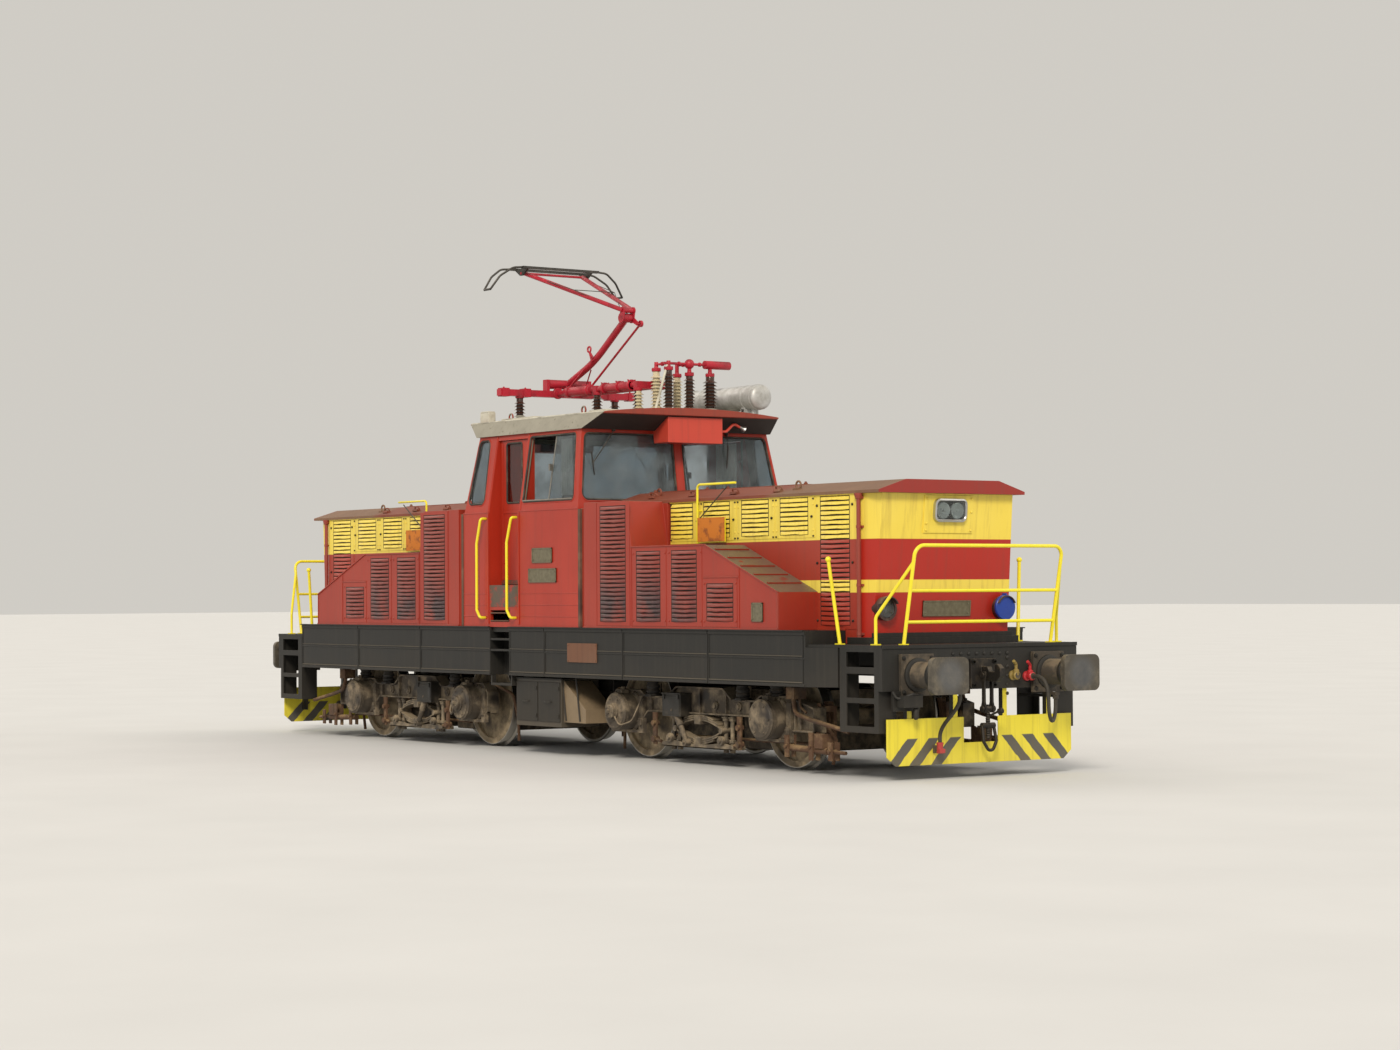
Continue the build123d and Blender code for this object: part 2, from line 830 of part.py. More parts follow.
def hinge_lugs(heights):
    lugs = None
    for z in heights:
        seat_z = z - fit_gap
        lug = block(door_start_x - cab_wall, hinge_x, -hinge_out_y - hinge_lug_half,
                    -hinge_out_y + hinge_lug_half,
                    seat_z - 20, seat_z)
        root_x = hinge_x - hinge_lug_root
        lug += block(door_start_x - cab_wall, root_x, door_thickness - door_plane_y,
                     -hinge_out_y + hinge_lug_half,
                     seat_z - 20, seat_z)
        lug += rod((hinge_x, -hinge_out_y, seat_z - 20), (hinge_x, -hinge_out_y, seat_z), hinge_lug_half + 1)
        lug += rod((hinge_x, -hinge_out_y, seat_z - 10), (hinge_x, -hinge_out_y, z + hinge_knuckle_height),
                   hinge_pin_radius)
        lugs = lug if lugs is None else lugs + lug
    return lugs


def cab_lower():
    outer, _ = cab_outer()
    inner = block(-cab_half_length + cab_wall, cab_half_length - cab_wall,
                  -body_half_width + cab_wall, body_half_width - cab_wall, deck_z, cab_knuckle_z)
    shell = outer - inner
    floor = block(-cab_half_length + cab_wall, cab_half_length - cab_wall,
                  -body_half_width + cab_wall, body_half_width - cab_wall,
                  cab_floor_z - cab_wall, cab_floor_z)
    jamb = door_jamb() & outer
    lugs = hinge_lugs(lower_hinge_heights)
    shell += floor + jamb + turned(jamb)
    foot_hole = block(door_start_x + 30, door_end_x - 210, -body_half_width, -body_half_width + cab_wall,
                      1560, 1700)
    for hole in (door_passage(), foot_hole):
        shell -= hole
        shell -= turned(hole)
    shell += lugs + turned(lugs)
    return [shell]


# Windows of the near side, by x at the foot and at the head. The second one slides open.
# foot start, foot end, head end, head start, corner radius
side_window_table = [
    (-1215, -850, -890, -1120, window_corner_radius),
    (50, 1160, 1035, 50, sliding_window_corner),
]


def side_windows():
    holes = []
    for low_a, low_b, high_b, high_a, corner_radius in side_window_table:
        outline = [(low_a, window_bottom_z), (low_b, window_bottom_z), (high_b, window_top_z),
                   (high_a, window_top_z)]
        hole = side_profile(outline, -window_cut_y_out, -window_cut_y_in)
        holes.append(fillet(hole.edges().filter_by(Axis.Y), corner_radius))
    return holes


def front_windows():
    holes = []
    for side in (-1, 1):
        outline = [(side * centre_post_half, window_bottom_z), (side * front_window_foot_y, window_bottom_z),
                   (side * front_window_head_y, window_top_z), (side * centre_post_half, window_top_z)]
        hole = cross_section(outline, window_cut_x_in, window_cut_x_out)
        holes.append(fillet(hole.edges().filter_by(Axis.X), window_corner_radius))
    return holes


def inset_frustum(inset):
    return frustum(cab_base_half_length - inset, cab_base_half_width - inset, cab_knuckle_z,
                   cab_top_half_length - inset, cab_top_half_width - inset, cab_top_z)


def cab_upper():
    _, outer = cab_outer()
    shell = outer - inset_frustum(cab_wall)
    jamb = door_jamb() & outer
    shell += jamb + turned(jamb)
    for hole in side_windows() + front_windows() + [door_passage()]:
        shell -= hole
        shell -= turned(hole)
    lugs = hinge_lugs(upper_hinge_heights)
    shell += lugs + turned(lugs)
    return [shell]


def cab_glass():
    sheet = inset_frustum(glass_inset) - inset_frustum(glass_inset + glass_thickness)
    panes = []
    rear, sliding = side_windows()
    half_open = sliding & block(sliding_window_open_x, cab_half_length, -window_cut_y_out, -window_cut_y_in,
                                window_bottom_z, window_top_z)
    for hole in [rear, half_open] + front_windows():
        pane = sheet & hole
        panes.append(pane)
        panes.append(turned(pane))
    return panes


def door(side_turn):
    g = door_gap
    y_out = -door_plane_y
    panel = block(door_start_x + g, door_end_x - g, y_out, y_out + door_thickness, cab_floor_z + g,
                  door_top_z - g)
    window = block(door_start_x + 150, door_end_x - 180, y_out, y_out + door_thickness, window_bottom_z, 3700)
    pane = block(door_start_x + 150, door_end_x - 180, y_out + 15, y_out + 15 + glass_thickness,
                 window_bottom_z, 3700)
    panel = panel - window
    handle = rod((door_end_x - 70, y_out - 25, 2650), (door_end_x - 70, y_out - 25, 2800), 9)
    for z in (2660, 2790):
        handle += rod((door_end_x - 70, y_out - 25, z), (door_end_x - 70, y_out, z), 8)
    panel += handle
    for z in lower_hinge_heights + upper_hinge_heights:
        top = z + hinge_knuckle_height
        panel += block(door_start_x + g, hinge_x + 20, y_out + door_thickness, -hinge_out_y, z, top)
        panel += rod((hinge_x, -hinge_out_y, z), (hinge_x, -hinge_out_y, top), hinge_knuckle_radius)
        panel -= rod((hinge_x, -hinge_out_y, z), (hinge_x, -hinge_out_y, top), hinge_pin_radius + run_gap)
    leaf = [panel, pane]
    if side_turn:
        leaf = [turned(piece) for piece in leaf]
    return leaf


def cab_roof():
    base = frustum(eave_half_length, eave_half_width, cab_top_z, visor_half_length, visor_half_width,
                   fascia_top_z)
    with_arc = Plane.YZ.offset(-visor_half_length) * make_face(
        ThreePointArc((-visor_half_width, fascia_top_z), (0, fascia_top_z + roof_crown),
                      (visor_half_width, fascia_top_z))
        + Line((visor_half_width, fascia_top_z), (-visor_half_width, fascia_top_z)))
    roof = base + extrude(with_arc, amount=2 * visor_half_length)
    for x in (-cab_eye_x, cab_eye_x):
        for y in (-cab_eye_y, cab_eye_y):
            roof += lifting_eye(x, y, roof_z(y))
    return [roof]


def whistle_boxes():
    _, outer = cab_outer()
    box = block(cab_top_half_length, whistle_box_face_x, whistle_box_start_y, whistle_box_end_y,
                whistle_box_bottom_z, cab_top_z + 150)
    box = box - cab_roof()[0] - outer
    return [box, turned(box)]


def control_desks():
    floor = cab_floor_z
    desk = block(desk_start_x, desk_end_x, -desk_outer_y, -desk_inner_y, floor, floor + desk_height)
    desk += block(desk_top_start_x, desk_end_x, -desk_outer_y, -desk_inner_y,
                  floor + desk_height, floor + desk_back_height)
    return [desk, turned(desk)]


def driver_seats():
    x, y = seat_x, -seat_y
    half = seat_half_width
    low = cab_floor_z + seat_bottom_height
    seat = rod((x, y, cab_floor_z), (x, y, low), seat_post_radius)
    seat += block(x - half, x + half, y - half, y + half, low, low + seat_cushion_thickness)
    seat += block(x - seat_back_end, x - seat_back_start, y - seat_back_half_width, y + seat_back_half_width,
                  low, cab_floor_z + seat_back_height)
    return [seat, turned(seat)]


def transformer():
    return [block(-transformer_half_length, transformer_half_length, -transformer_half_width,
                  transformer_half_width, transformer_bottom_z, sill_bottom_z)]


def underfloor_boxes():
    y_in, y_out = -underfloor_inner_y, -underfloor_outer_y
    box = block(underfloor_start_x, underfloor_end_x, y_out, y_in, underfloor_bottom_z, underfloor_top_z)
    slope = side_profile([(810, 880), (810, 400), (1270, 400), (1270, 560)], y_out + 40,
                         -wheel_face_y - slope_swing_gap)
    both = box + slope
    for x in (underfloor_start_x + 50, underfloor_end_x - 150):
        both += block(x, x + 100, y_in - 60, y_in, underfloor_top_z, deck_z - deck_thickness)
    return [both, turned(both)]


def door_steps():
    y_out = -body_half_width + door_step_inset
    low = door_step_z
    step = block(step_bay_start_x, step_bay_end_x, y_out, y_out + door_step_depth, low, low + skirt_thickness)
    for x in (step_bay_start_x - skirt_thickness, step_bay_end_x):
        step += block(x, x + skirt_thickness, y_out, y_out + door_step_hanger, low, skirt_bottom_z)
    return [step, turned(step)]


def headlights():
    x = hood_face_x(headlight_z)
    # the raised panel follows the leaning end of the hood
    low, high = headlight_z - headlight_panel_drop, headlight_z + headlight_panel_rise
    panel = [(hood_face_x(low), low), (hood_face_x(high), high),
             (hood_face_x(high) + headlight_panel_proud, high),
             (hood_face_x(low) + headlight_panel_proud, low)]
    lamp = side_profile(panel, headlight_y - headlight_panel_half, headlight_y + headlight_panel_half)
    front = Plane.YZ.offset(x) * Pos(headlight_y, headlight_z)
    rim = front * RectangleRounded(headlight_width, headlight_height, headlight_corner)
    glass = front * RectangleRounded(headlight_width - 2 * headlight_rim,
                                     headlight_height - 2 * headlight_rim,
                                     headlight_corner - headlight_rim)
    lamp += extrude(rim, amount=headlight_proud)
    lamp -= Pos(headlight_proud - headlight_recess, 0, 0) * extrude(glass, amount=headlight_recess)
    for side in (-1, 1):
        y = headlight_y + side * reflector_spacing / 2
        floor_x = x + headlight_proud - headlight_recess
        lamp += rod((floor_x, y, headlight_z), (floor_x + reflector_proud, y, headlight_z), reflector_radius)
    lamp -= hoods()[0]
    return [lamp, turned(lamp)]


def lower_lamps():
    lamps = []
    x = hood_face_x(lamp_z)
    face_x = x + lamp_proud
    for side in (-1, 1):
        y = side * lamp_y
        lamp = rod((x - lamp_root, y, lamp_z), (face_x, y, lamp_z), lamp_radius)
        lamp += rod((face_x - lamp_rim_width, y, lamp_z), (face_x, y, lamp_z), lamp_radius + lamp_rim_proud)
        hood_ring = rod((face_x, y, lamp_z), (face_x + lamp_visor, y, lamp_z), lamp_radius + lamp_rim_proud)
        hood_ring -= rod((face_x, y, lamp_z), (face_x + lamp_visor, y, lamp_z), lamp_radius - lamp_rim_proud)
        reach = 2 * lamp_radius
        lamp += hood_ring & block(face_x, face_x + lamp_visor, y - reach, y + reach, lamp_z + lamp_visor,
                                  lamp_z + reach)
        glass_radius = lamp_radius - lamp_rim_width
        lamp -= rod((face_x - lamp_recess, y, lamp_z), (face_x, y, lamp_z), glass_radius)
        lamps.append(lamp - hoods()[0])
    return lamps + [turned(lamp) for lamp in lamps]


def drain_pipes():
    x = hood_side_end_x + 60
    y = -hood_half_width - drain_pipe_radius
    pipe = rod((x, y, platform_z), (x, y, hood_top_z), drain_pipe_radius)
    return four_corners(pipe)


def signal_frames():
    y = -hood_half_width - signal_frame_gap
    x = signal_frame_x
    low, high = signal_frame_bottom_z, signal_frame_top_z
    frame = bent_tube([(x, y, low), (x, y, high), (x + signal_frame_length, y, high)], 50, 13)
    for z in (low + 30, low + 360):
        frame += rod((x, y, z), (x, -hood_half_width, z), 11)
    frame += block(x, x + signal_plate_length, y - 5, y + 5, low + 10, low + 10 + signal_plate_height)
    return [frame, turned(mirrored_y(frame))]


def roof_z(y):
    return fascia_top_z + roof_crown * (1 - (y / visor_half_width) ** 2)


def insulator(x, y, top_z, scale):
    low = roof_z(y) - 6
    core = insulator_core_radius * scale
    rib = insulator_rib_radius * scale
    height = top_z - low
    body = Pos(x, y, low + height / 2) * Cylinder(core, height)
    body += Pos(x, y, low + insulator_foot_height / 2) * Cylinder(rib * 1.1, insulator_foot_height)
    count = int((height - insulator_foot_height - 40) / insulator_rib_pitch)
    for step in range(count):
        z = low + insulator_foot_height + 30 + step * insulator_rib_pitch
        body += Pos(x, y, z) * Cone(rib, core, insulator_rib_pitch * 0.6)
    return body


# Post insulators under the current collector: x, y, top z, size factor
post_insulators = [
    (arm_pivot_x + 10, -700, base_pad_z, 1.0),
    (arm_pivot_x + 10, 700, base_pad_z, 1.0),
    (-300, -base_beam_y, base_pad_z, 1.0),
    (600, -base_beam_y, base_pad_z, 1.0),
]

# Insulators of the main switch across the roof: x, y, top z, size factor
switch_insulators = [
    (740, 0, 4560, 1.0),
    (740, 300, 4500, 1.0),
    (1000, 0, 4560, 1.0),
    (1000, 300, 4500, 1.0),
    (1000, 600, 4500, 1.25),
]


def roof_insulators():
    roof = cab_roof()[0]
    return [insulator(*row) - roof for row in post_insulators + switch_insulators]


def roof_conductors():
    bar = rod((bus_x, bus_start_y, bus_z), (bus_x, bus_end_y, bus_z), 16)
    for x, y, top_z, _ in switch_insulators:
        bar += rod((x, y, top_z), (x, y, bus_z + 30), 24)
        if x != bus_x:
            bar += rod((x, y, bus_z), (bus_x, y, bus_z), 14)
    bar += rod((bus_x, 520, bus_z), (bus_x, 880, bus_z), 50)
    bar += Pos(bus_x, 300, bus_z) * Sphere(60)
    return [bar]


def air_tank():
    start, end = tank_start_x, tank_end_x
    tank = rod((start, tank_y, tank_z), (end, tank_y, tank_z), tank_radius)
    for x in (start, end):
        tank += Pos(x, tank_y, tank_z) * scale(Sphere(tank_radius), by=(0.4, 1, 1))
    for x in tank_saddles:
        tank += block(x - 30, x + 30, tank_y - 100, tank_y + 100, fascia_top_z, tank_z - tank_radius + 40)
    return [tank - cab_roof()[0]]


def pantograph_base():
    z = base_beam_z
    x = arm_pivot_x
    frame = block(x - 40, x + 60, -cross_beam_half_length, cross_beam_half_length, base_pad_z, z + 30)
    bearing = arm_hub_half_width + knuckle_side_gap
    for side in (-1, 1):
        y = side * base_beam_y
        frame += rod((x, y, z), (600, y, z), 36)
        low, high = sorted((side * bearing, side * (bearing + 40)))
        frame += block(x - 50, x + 50, low, high, z, arm_pivot_z + 55)
    frame += block(560, 640, -base_beam_y - 40, base_beam_y + 40, base_pad_z, z + 40)
    frame += block(-340, -260, -base_beam_y - 40, -base_beam_y + 40, base_pad_z, z + 40)
    frame += rod((-1000, -base_beam_y, z), (-420, -base_beam_y, z), 58)
    frame += rod((-150, -base_beam_y, z), (480, -base_beam_y, z), 52)
    frame += rod((x, -bearing - 20, arm_pivot_z), (x, bearing + 20, arm_pivot_z), arm_shaft_radius)
    frame += block(rod_pivot_x - 30, rod_pivot_x + 30, rod_y + 22, base_beam_y, z, rod_pivot_z + 30)
    frame += rod((rod_pivot_x, rod_y - 20, rod_pivot_z), (rod_pivot_x, rod_y + 30, rod_pivot_z),
                 rod_pin_radius)
    return [frame]


def lower_arm():
    start = (arm_pivot_x, 0, arm_pivot_z)
    end = (knuckle_x, 0, knuckle_z)
    tube = bent_tube([start, (arm_bend_x, 0, arm_bend_z), end], arm_bend_radius, arm_tube_radius)
    tube += rod((arm_pivot_x, -arm_hub_half_width, arm_pivot_z),
                (arm_pivot_x, arm_hub_half_width, arm_pivot_z),
                arm_hub_radius)
    tube += rod((knuckle_x, -knuckle_hub_half_width, knuckle_z),
                (knuckle_x, knuckle_hub_half_width, knuckle_z),
                knuckle_hub_radius)
    tube -= rod((arm_pivot_x, -arm_hub_half_width, arm_pivot_z),
                (arm_pivot_x, arm_hub_half_width, arm_pivot_z),
                arm_shaft_radius + run_gap)
    tube -= rod((knuckle_x, -knuckle_hub_half_width, knuckle_z),
                (knuckle_x, knuckle_hub_half_width, knuckle_z),
                knuckle_pin_radius + run_gap)
    return [tube]


def upper_arm():
    cheek_y = knuckle_hub_half_width + knuckle_side_gap
    cheek_t = 16
    arm_angle = math.atan2(head_pivot_z - knuckle_z, head_pivot_x - knuckle_x)
    normal = (-math.sin(arm_angle) * -1, math.cos(arm_angle) * -1)
    root = (knuckle_x + upper_tube_rise * normal[0], knuckle_z + upper_tube_rise * normal[1])
    tail = (knuckle_x + tail_length * math.cos(math.radians(tail_angle)),
            knuckle_z + tail_length * math.sin(math.radians(tail_angle)))
    arm = rod((knuckle_x, -cheek_y - cheek_t, knuckle_z), (knuckle_x, cheek_y + cheek_t, knuckle_z),
              knuckle_pin_radius)
    for side in (-1, 1):
        y_low = cheek_y if side > 0 else -cheek_y - cheek_t
        cheek = rod((knuckle_x, y_low, knuckle_z), (knuckle_x, y_low + cheek_t, knuckle_z), 60)
        cheek += rod((root[0], y_low, root[1]), (root[0], y_low + cheek_t, root[1]), 45)
        outline = [(knuckle_x - 58, knuckle_z), (root[0] - 40, root[1]), (root[0] + 40, root[1]),
                   (knuckle_x + 58, knuckle_z)]
        cheek += side_profile(outline, y_low, y_low + cheek_t)
        start = (root[0], side * (cheek_y + cheek_t / 2), root[1])
        end = (head_pivot_x, side * (head_half_spread - 25), head_pivot_z)
        arm += cheek + rod(start, end, upper_tube_radius)
    arm += rod((root[0], -cheek_y - cheek_t, root[1]), (root[0], cheek_y + cheek_t, root[1]), 30)
    outline = [(knuckle_x, knuckle_z + 40), (tail[0], tail[1] + 26), (tail[0], tail[1] - 26),
               (knuckle_x, knuckle_z - 40)]
    arm += side_profile(outline, cheek_y, cheek_y + cheek_t)
    arm += rod((tail[0], cheek_y, tail[1]), (tail[0], rod_y + 30, tail[1]), rod_pin_radius)
    shaft_y = head_half_spread + 40
    arm += rod((head_pivot_x, -shaft_y, head_pivot_z), (head_pivot_x, shaft_y, head_pivot_z),
               head_shaft_radius)
    return [arm]


def control_rod():
    tail = (knuckle_x + tail_length * math.cos(math.radians(tail_angle)),
            knuckle_z + tail_length * math.sin(math.radians(tail_angle)))
    y_low, y_high = rod_y - rod_eye_half_width, rod_y + rod_eye_half_width
    bar = rod((rod_pivot_x, rod_y, rod_pivot_z), (tail[0], rod_y, tail[1]), rod_radius)
    bar += rod((rod_pivot_x, y_low, rod_pivot_z), (rod_pivot_x, y_high, rod_pivot_z), 28)
    bar += rod((tail[0], y_low, tail[1]), (tail[0], y_high, tail[1]), rod_open_eye_radius)
    bar -= rod((rod_pivot_x, y_low, rod_pivot_z), (rod_pivot_x, y_high, rod_pivot_z),
               rod_pin_radius + run_gap)
    bar -= rod((tail[0], y_low, tail[1]), (tail[0], y_high, tail[1]), rod_open_bore_radius)
    return [bar]


def collector_head():
    x, z = head_pivot_x, head_pivot_z
    flat = head_strip_half_length
    end = head_half_length
    tip_z = z + head_strip_height - head_horn_drop
    head = None
    for offset in (-head_strip_spacing / 2, head_strip_spacing / 2):
        strip = block(x + offset - 28, x + offset + 28, -flat, flat,
                      z + head_strip_height - 15, z + head_strip_height + 15)
        route = [(x + offset, -flat + 5, z + head_strip_height),
                 (x + offset, -flat - 130, z + head_strip_height - 10),
                 (x + offset * 0.7, -end + 120, z - 60), (x + offset * 0.5, -end, tip_z)]
        horn = bent_tube(route, 150, head_horn_radius)
        piece = strip + horn + mirrored_y(horn)
        head = piece if head is None else head + piece
    for side in (-1, 1):
        low, high = sorted((side * (head_half_spread + 12), side * (head_half_spread + 36)))
        outline = [(x - head_strip_spacing / 2 - 20, z + head_strip_height), (x - 30, z - 28),
                   (x + 30, z - 28),
                   (x + head_strip_spacing / 2 + 20, z + head_strip_height)]
        hanger = side_profile(outline, low, high)
        head += hanger - rod((x, low, z), (x, high, z), head_shaft_radius + run_gap)
        tip_y = side * end
        head += rod((x - head_strip_spacing / 4, tip_y, tip_z), (x + head_strip_spacing / 4, tip_y, tip_z),
                    head_horn_radius + 1)
    return [head]


def handrails():
    rails = []
    # x of the upper bracket, x after the upper bend, x of the foot
    for top_x, bend_x, foot_x in ((-770, -865, -790), (-60, -165, -85)):
        y_wall = -body_half_width
        y = y_wall - 75
        route = [(top_x, y_wall, 2800), (top_x, y, 2800), (bend_x, y, 2500), (bend_x, y, 1700),
                 (foot_x, y, 1610),
                 (foot_x, y_wall, 1610)]
        rails.append(bent_tube(route, 30, 17))
    return rails + [turned(piece) for piece in rails]


def wheelset(axle_x):
    r_rim = tread_radius - wheel_rim
    # radius, distance from the middle plane
    outline = [(axle_radius, 650), (140, 650), (160, 725), (r_rim, 725), (r_rim, wheel_back_y),
               (axle_z - 12, wheel_back_y), (axle_z, wheel_back_y + 12), (axle_z, tread_start_y - 15),
               (tread_radius, tread_start_y), (tread_radius, wheel_face_y), (r_rim, wheel_face_y),
               (r_rim, 775), (160, 775), (140, 850), (axle_radius, 850)]
    face = Plane.XY * make_face(Polyline(*outline, close=True))
    wheel = revolve(face, axis=Axis.Y)
    wheels = wheel + mirrored_y(wheel)
    journal_length = 2 * (axle_cover_face_y - 70)
    axle = Rot(90, 0, 0) * (Cylinder(axle_radius, axle_length) + Cylinder(journal_radius, journal_length))
    return [Pos(axle_x, 0, axle_z) * (wheels + axle)]


def axle_box(x, side):
    # horn cheeks beside the axle box, the tie across their feet and the round cover with its flanges
    low, high = sorted((side * beam_face_y, side * (beam_face_y + horn_proud)))
    box = rod((x, side * side_frame_y, axle_z), (x, side * axle_cover_face_y, axle_z), axle_cover_radius)
    for y, thickness, radius in ((beam_face_y, 22, 245),
                                 (axle_cover_face_y - 55, 28, axle_cover_radius + 11)):
        box += rod((x, side * y, axle_z), (x, side * (y + thickness), axle_z), radius)
    for half in (-1, 1):
        near, far = sorted((x + half * horn_inner_x, x + half * horn_outer_x))
        box += block(near, far, low, high, horn_bottom_z, horn_top_z)
    box += block(x - horn_outer_x, x + horn_outer_x, low, high, horn_bottom_z - horn_tie_height,
                 horn_bottom_z)
    return box


def bogie_frame(centre_x):
    # distance from the bogie centre towards the locomotive's end, height
    outline = [(-1760, 430), (-1760, 690), (-1650, 800), (-1150, 800), (-1050, 740), (-620, 740), (-450, 860),
               (450, 860), (620, 740), (1050, 740), (1150, 800), (1650, 800), (2100, 690), (2100, 430),
               (1150, 430), (1000, 560), (-1000, 560), (-1150, 430)]
    # places of the rubber side bearers: distance from the bogie centre, height of their seat
    bearers = [(-930, 740), (800, 740), (1420, 800)]
    end = math.copysign(1, centre_x)
    points = [(centre_x + end * u, z) for u, z in outline]
    frame = None
    for side in (-1, 1):
        low, high = sorted((side * side_frame_y, side * beam_face_y))
        plate = side_profile(points, low, high)
        for half in (-1, 1):
            x = centre_x + half * wheelbase / 2
            plate += axle_box(x, side)
            plate -= rod((x, side * (side_frame_y - 10), axle_z),
                         (x, side * (axle_cover_face_y - 65), axle_z),
                         journal_radius + run_gap)
        for u, seat_z in bearers:
            x = centre_x + end * u
            y = side * (beam_face_y - side_frame_thickness / 4)
            plate += rod((x, y, seat_z - 20), (x, y, seat_z + bearer_height), bearer_radius)
        frame = plate if frame is None else frame + plate
    frame += block(centre_x - transom_half_length, centre_x + transom_half_length,
                   -side_frame_y, side_frame_y, transom_bottom_z, transom_top_z)
    bore = Pos(centre_x, 0, (transom_bottom_z + transom_top_z) / 2)
    frame -= bore * Cylinder(pivot_pin_radius + run_gap, transom_top_z - transom_bottom_z)
    return [frame]


# The brake shoes of each side: axle's distance from the bogie centre, side of the wheel
shoe_table = [(wheelbase / 2, 1), (wheelbase / 2, -1), (-wheelbase / 2, 1)]


def brake_gear(centre_x):
    end = math.copysign(1, centre_x)
    shoe_inner = tread_radius + shoe_gap
    shoe_outer = shoe_inner + shoe_thickness
    gear = []
    for side in (-1, 1):
        low, high = sorted((side * shoe_inner_y, side * shoe_outer_y))
        rod_y = side * pull_rod_y
        rigging = None
        hanger_places = []
        for u, half in shoe_table:
            axle_x = centre_x + end * u
            facing = end * half
            ring = rod((axle_x, low, axle_z), (axle_x, high, axle_z), shoe_outer)
            ring -= rod((axle_x, low, axle_z), (axle_x, high, axle_z), shoe_inner)
            near, far = sorted((axle_x + facing * shoe_inner * 0.7, axle_x + facing * (shoe_outer + 10)))
            shoe = ring & block(near, far, low, high, axle_z - shoe_half_height, axle_z + shoe_half_height)
            hanger_x = axle_x + facing * (shoe_outer + hanger_half_width - 8)
            near, far = hanger_x - hanger_half_width, hanger_x + hanger_half_width
            mid_low, mid_high = sorted((side * (shoe_inner_y + 20), side * (shoe_outer_y - 20)))
            shoe += block(near, far, mid_low, mid_high, hanger_bottom_z, hanger_top_z)
            beam_low, beam_high = sorted((side * (shoe_inner_y + 20), side * side_frame_y))
            shoe += block(near, far, beam_low, beam_high, hanger_top_z - hanger_bracket_height, hanger_top_z)
            shoe += rod((hanger_x, side * shoe_inner_y, pull_rod_z), (hanger_x, rod_y, pull_rod_z),
                        pull_rod_radius + 6)
            hanger_places.append(hanger_x)
            rigging = shoe if rigging is None else rigging + shoe
        rigging += rod((min(hanger_places) - 30, rod_y, pull_rod_z),
                       (max(hanger_places) + 30, rod_y, pull_rod_z),
                       pull_rod_radius)
        gear.append(rigging)
    return gear


def spring_bow(centre_x, mid_z, end_z):
    half = spring_half_length
    t = spring_pack_thickness
    low = ThreePointArc((-half, end_z), (0, mid_z), (half, end_z))
    high = ThreePointArc((half, end_z + t), (0, mid_z + t), (-half, end_z + t))
    edges = low + Line((half, end_z), (half, end_z + t)) + high + Line((-half, end_z + t), (-half, end_z))
    plane = Plane(origin=(centre_x, spring_outer_y, 0), x_dir=(1, 0, 0), z_dir=(0, -1, 0))
    return extrude(plane * make_face(edges), amount=spring_outer_y - spring_inner_y)


def bogie_springs(centre_x):
    middle_y = (spring_inner_y + spring_outer_y) / 2
    pack = block(centre_x - cradle_half_length, centre_x + cradle_half_length, spring_inner_y, spring_outer_y,
                 cradle_bottom_z, cradle_top_z)
    for u in spring_bolt_places:
        pack += rod((centre_x + u, middle_y, cradle_bottom_z + 10), (centre_x + u, middle_y, spring_top_z),
                    spring_bolt_radius)
    pack += spring_bow(centre_x, spring_lower_z, spring_end_z)
    pack += spring_bow(centre_x, spring_upper_z, spring_end_z + spring_pack_thickness / 2)
    for low, high in ((cradle_top_z - 10, spring_lower_z + 20), (spring_upper_z + 20, spring_top_z)):
        pack += block(centre_x - spring_buckle_half, centre_x + spring_buckle_half, spring_inner_y,
                      spring_outer_y, low, high)
    return [pack, mirrored_y(pack)]


def traction_motors(centre_x):
    motors = []
    for half in (-1, 1):
        near = transom_half_length
        far = wheelbase / 2 - axle_radius - swing_gap
        low, high = sorted((centre_x + half * near, centre_x + half * far))
        motors.append(block(low, high, -motor_half_width, motor_half_width, motor_bottom_z, motor_top_z))
    return motors


# Underframe and body nodes, then the moving ones
nodes = {
    "underframe": underframe(),
    "side_skirts": side_skirts(),
    "end_beams": end_beams(),
    "buffer_housings": buffer_housings(),
    "buffer_heads": buffer_heads(),
    "draw_hooks": draw_hooks(),
    "screw_couplings": screw_couplings(),
    "brake_hoses": brake_hoses(),
    "corner_steps": corner_steps(),
    "ploughs": ploughs(),
    "end_railings": end_railings(),
    "hoods": hoods(),
    "hood_roofs": hood_roofs(),
    "hood_louvres": hood_louvres(),
    "box_louvres": box_louvres(),
    "side_boxes": side_boxes(),
    "tall_boxes": tall_boxes(),
    "cab_lower": cab_lower(),
    "cab_upper": cab_upper(),
    "cab_glass": cab_glass(),
    "cab_roof": cab_roof(),
    "whistle_boxes": whistle_boxes(),
    "control_desks": control_desks(),
    "driver_seats": driver_seats(),
    "transformer": transformer(),
    "underfloor_boxes": underfloor_boxes(),
    "door_steps": door_steps(),
    "headlights": headlights(),
    "lower_lamps": lower_lamps(),
    "drain_pipes": drain_pipes(),
    "signal_frames": signal_frames(),
    "roof_insulators": roof_insulators(),
    "roof_conductors": roof_conductors(),
    "air_tank": air_tank(),
    "pantograph_base": pantograph_base(),
    "handrails": handrails(),
    "cab_door_near": door(False),
    "cab_door_far": door(True),
    "pantograph_lower_arm": lower_arm(),
    "pantograph_upper_arm": upper_arm(),
    "pantograph_control_rod": control_rod(),
    "collector_head": collector_head(),
}
front_hoses = {"near": hose_tube(near_hose), "far": hose_tube(far_hose)}
for side_name, other_side in (("near", "far"), ("far", "near")):
    nodes["brake_hose_front_" + side_name] = [front_hoses[side_name]]
    nodes["brake_hose_rear_" + other_side] = [turned(front_hoses[side_name])]
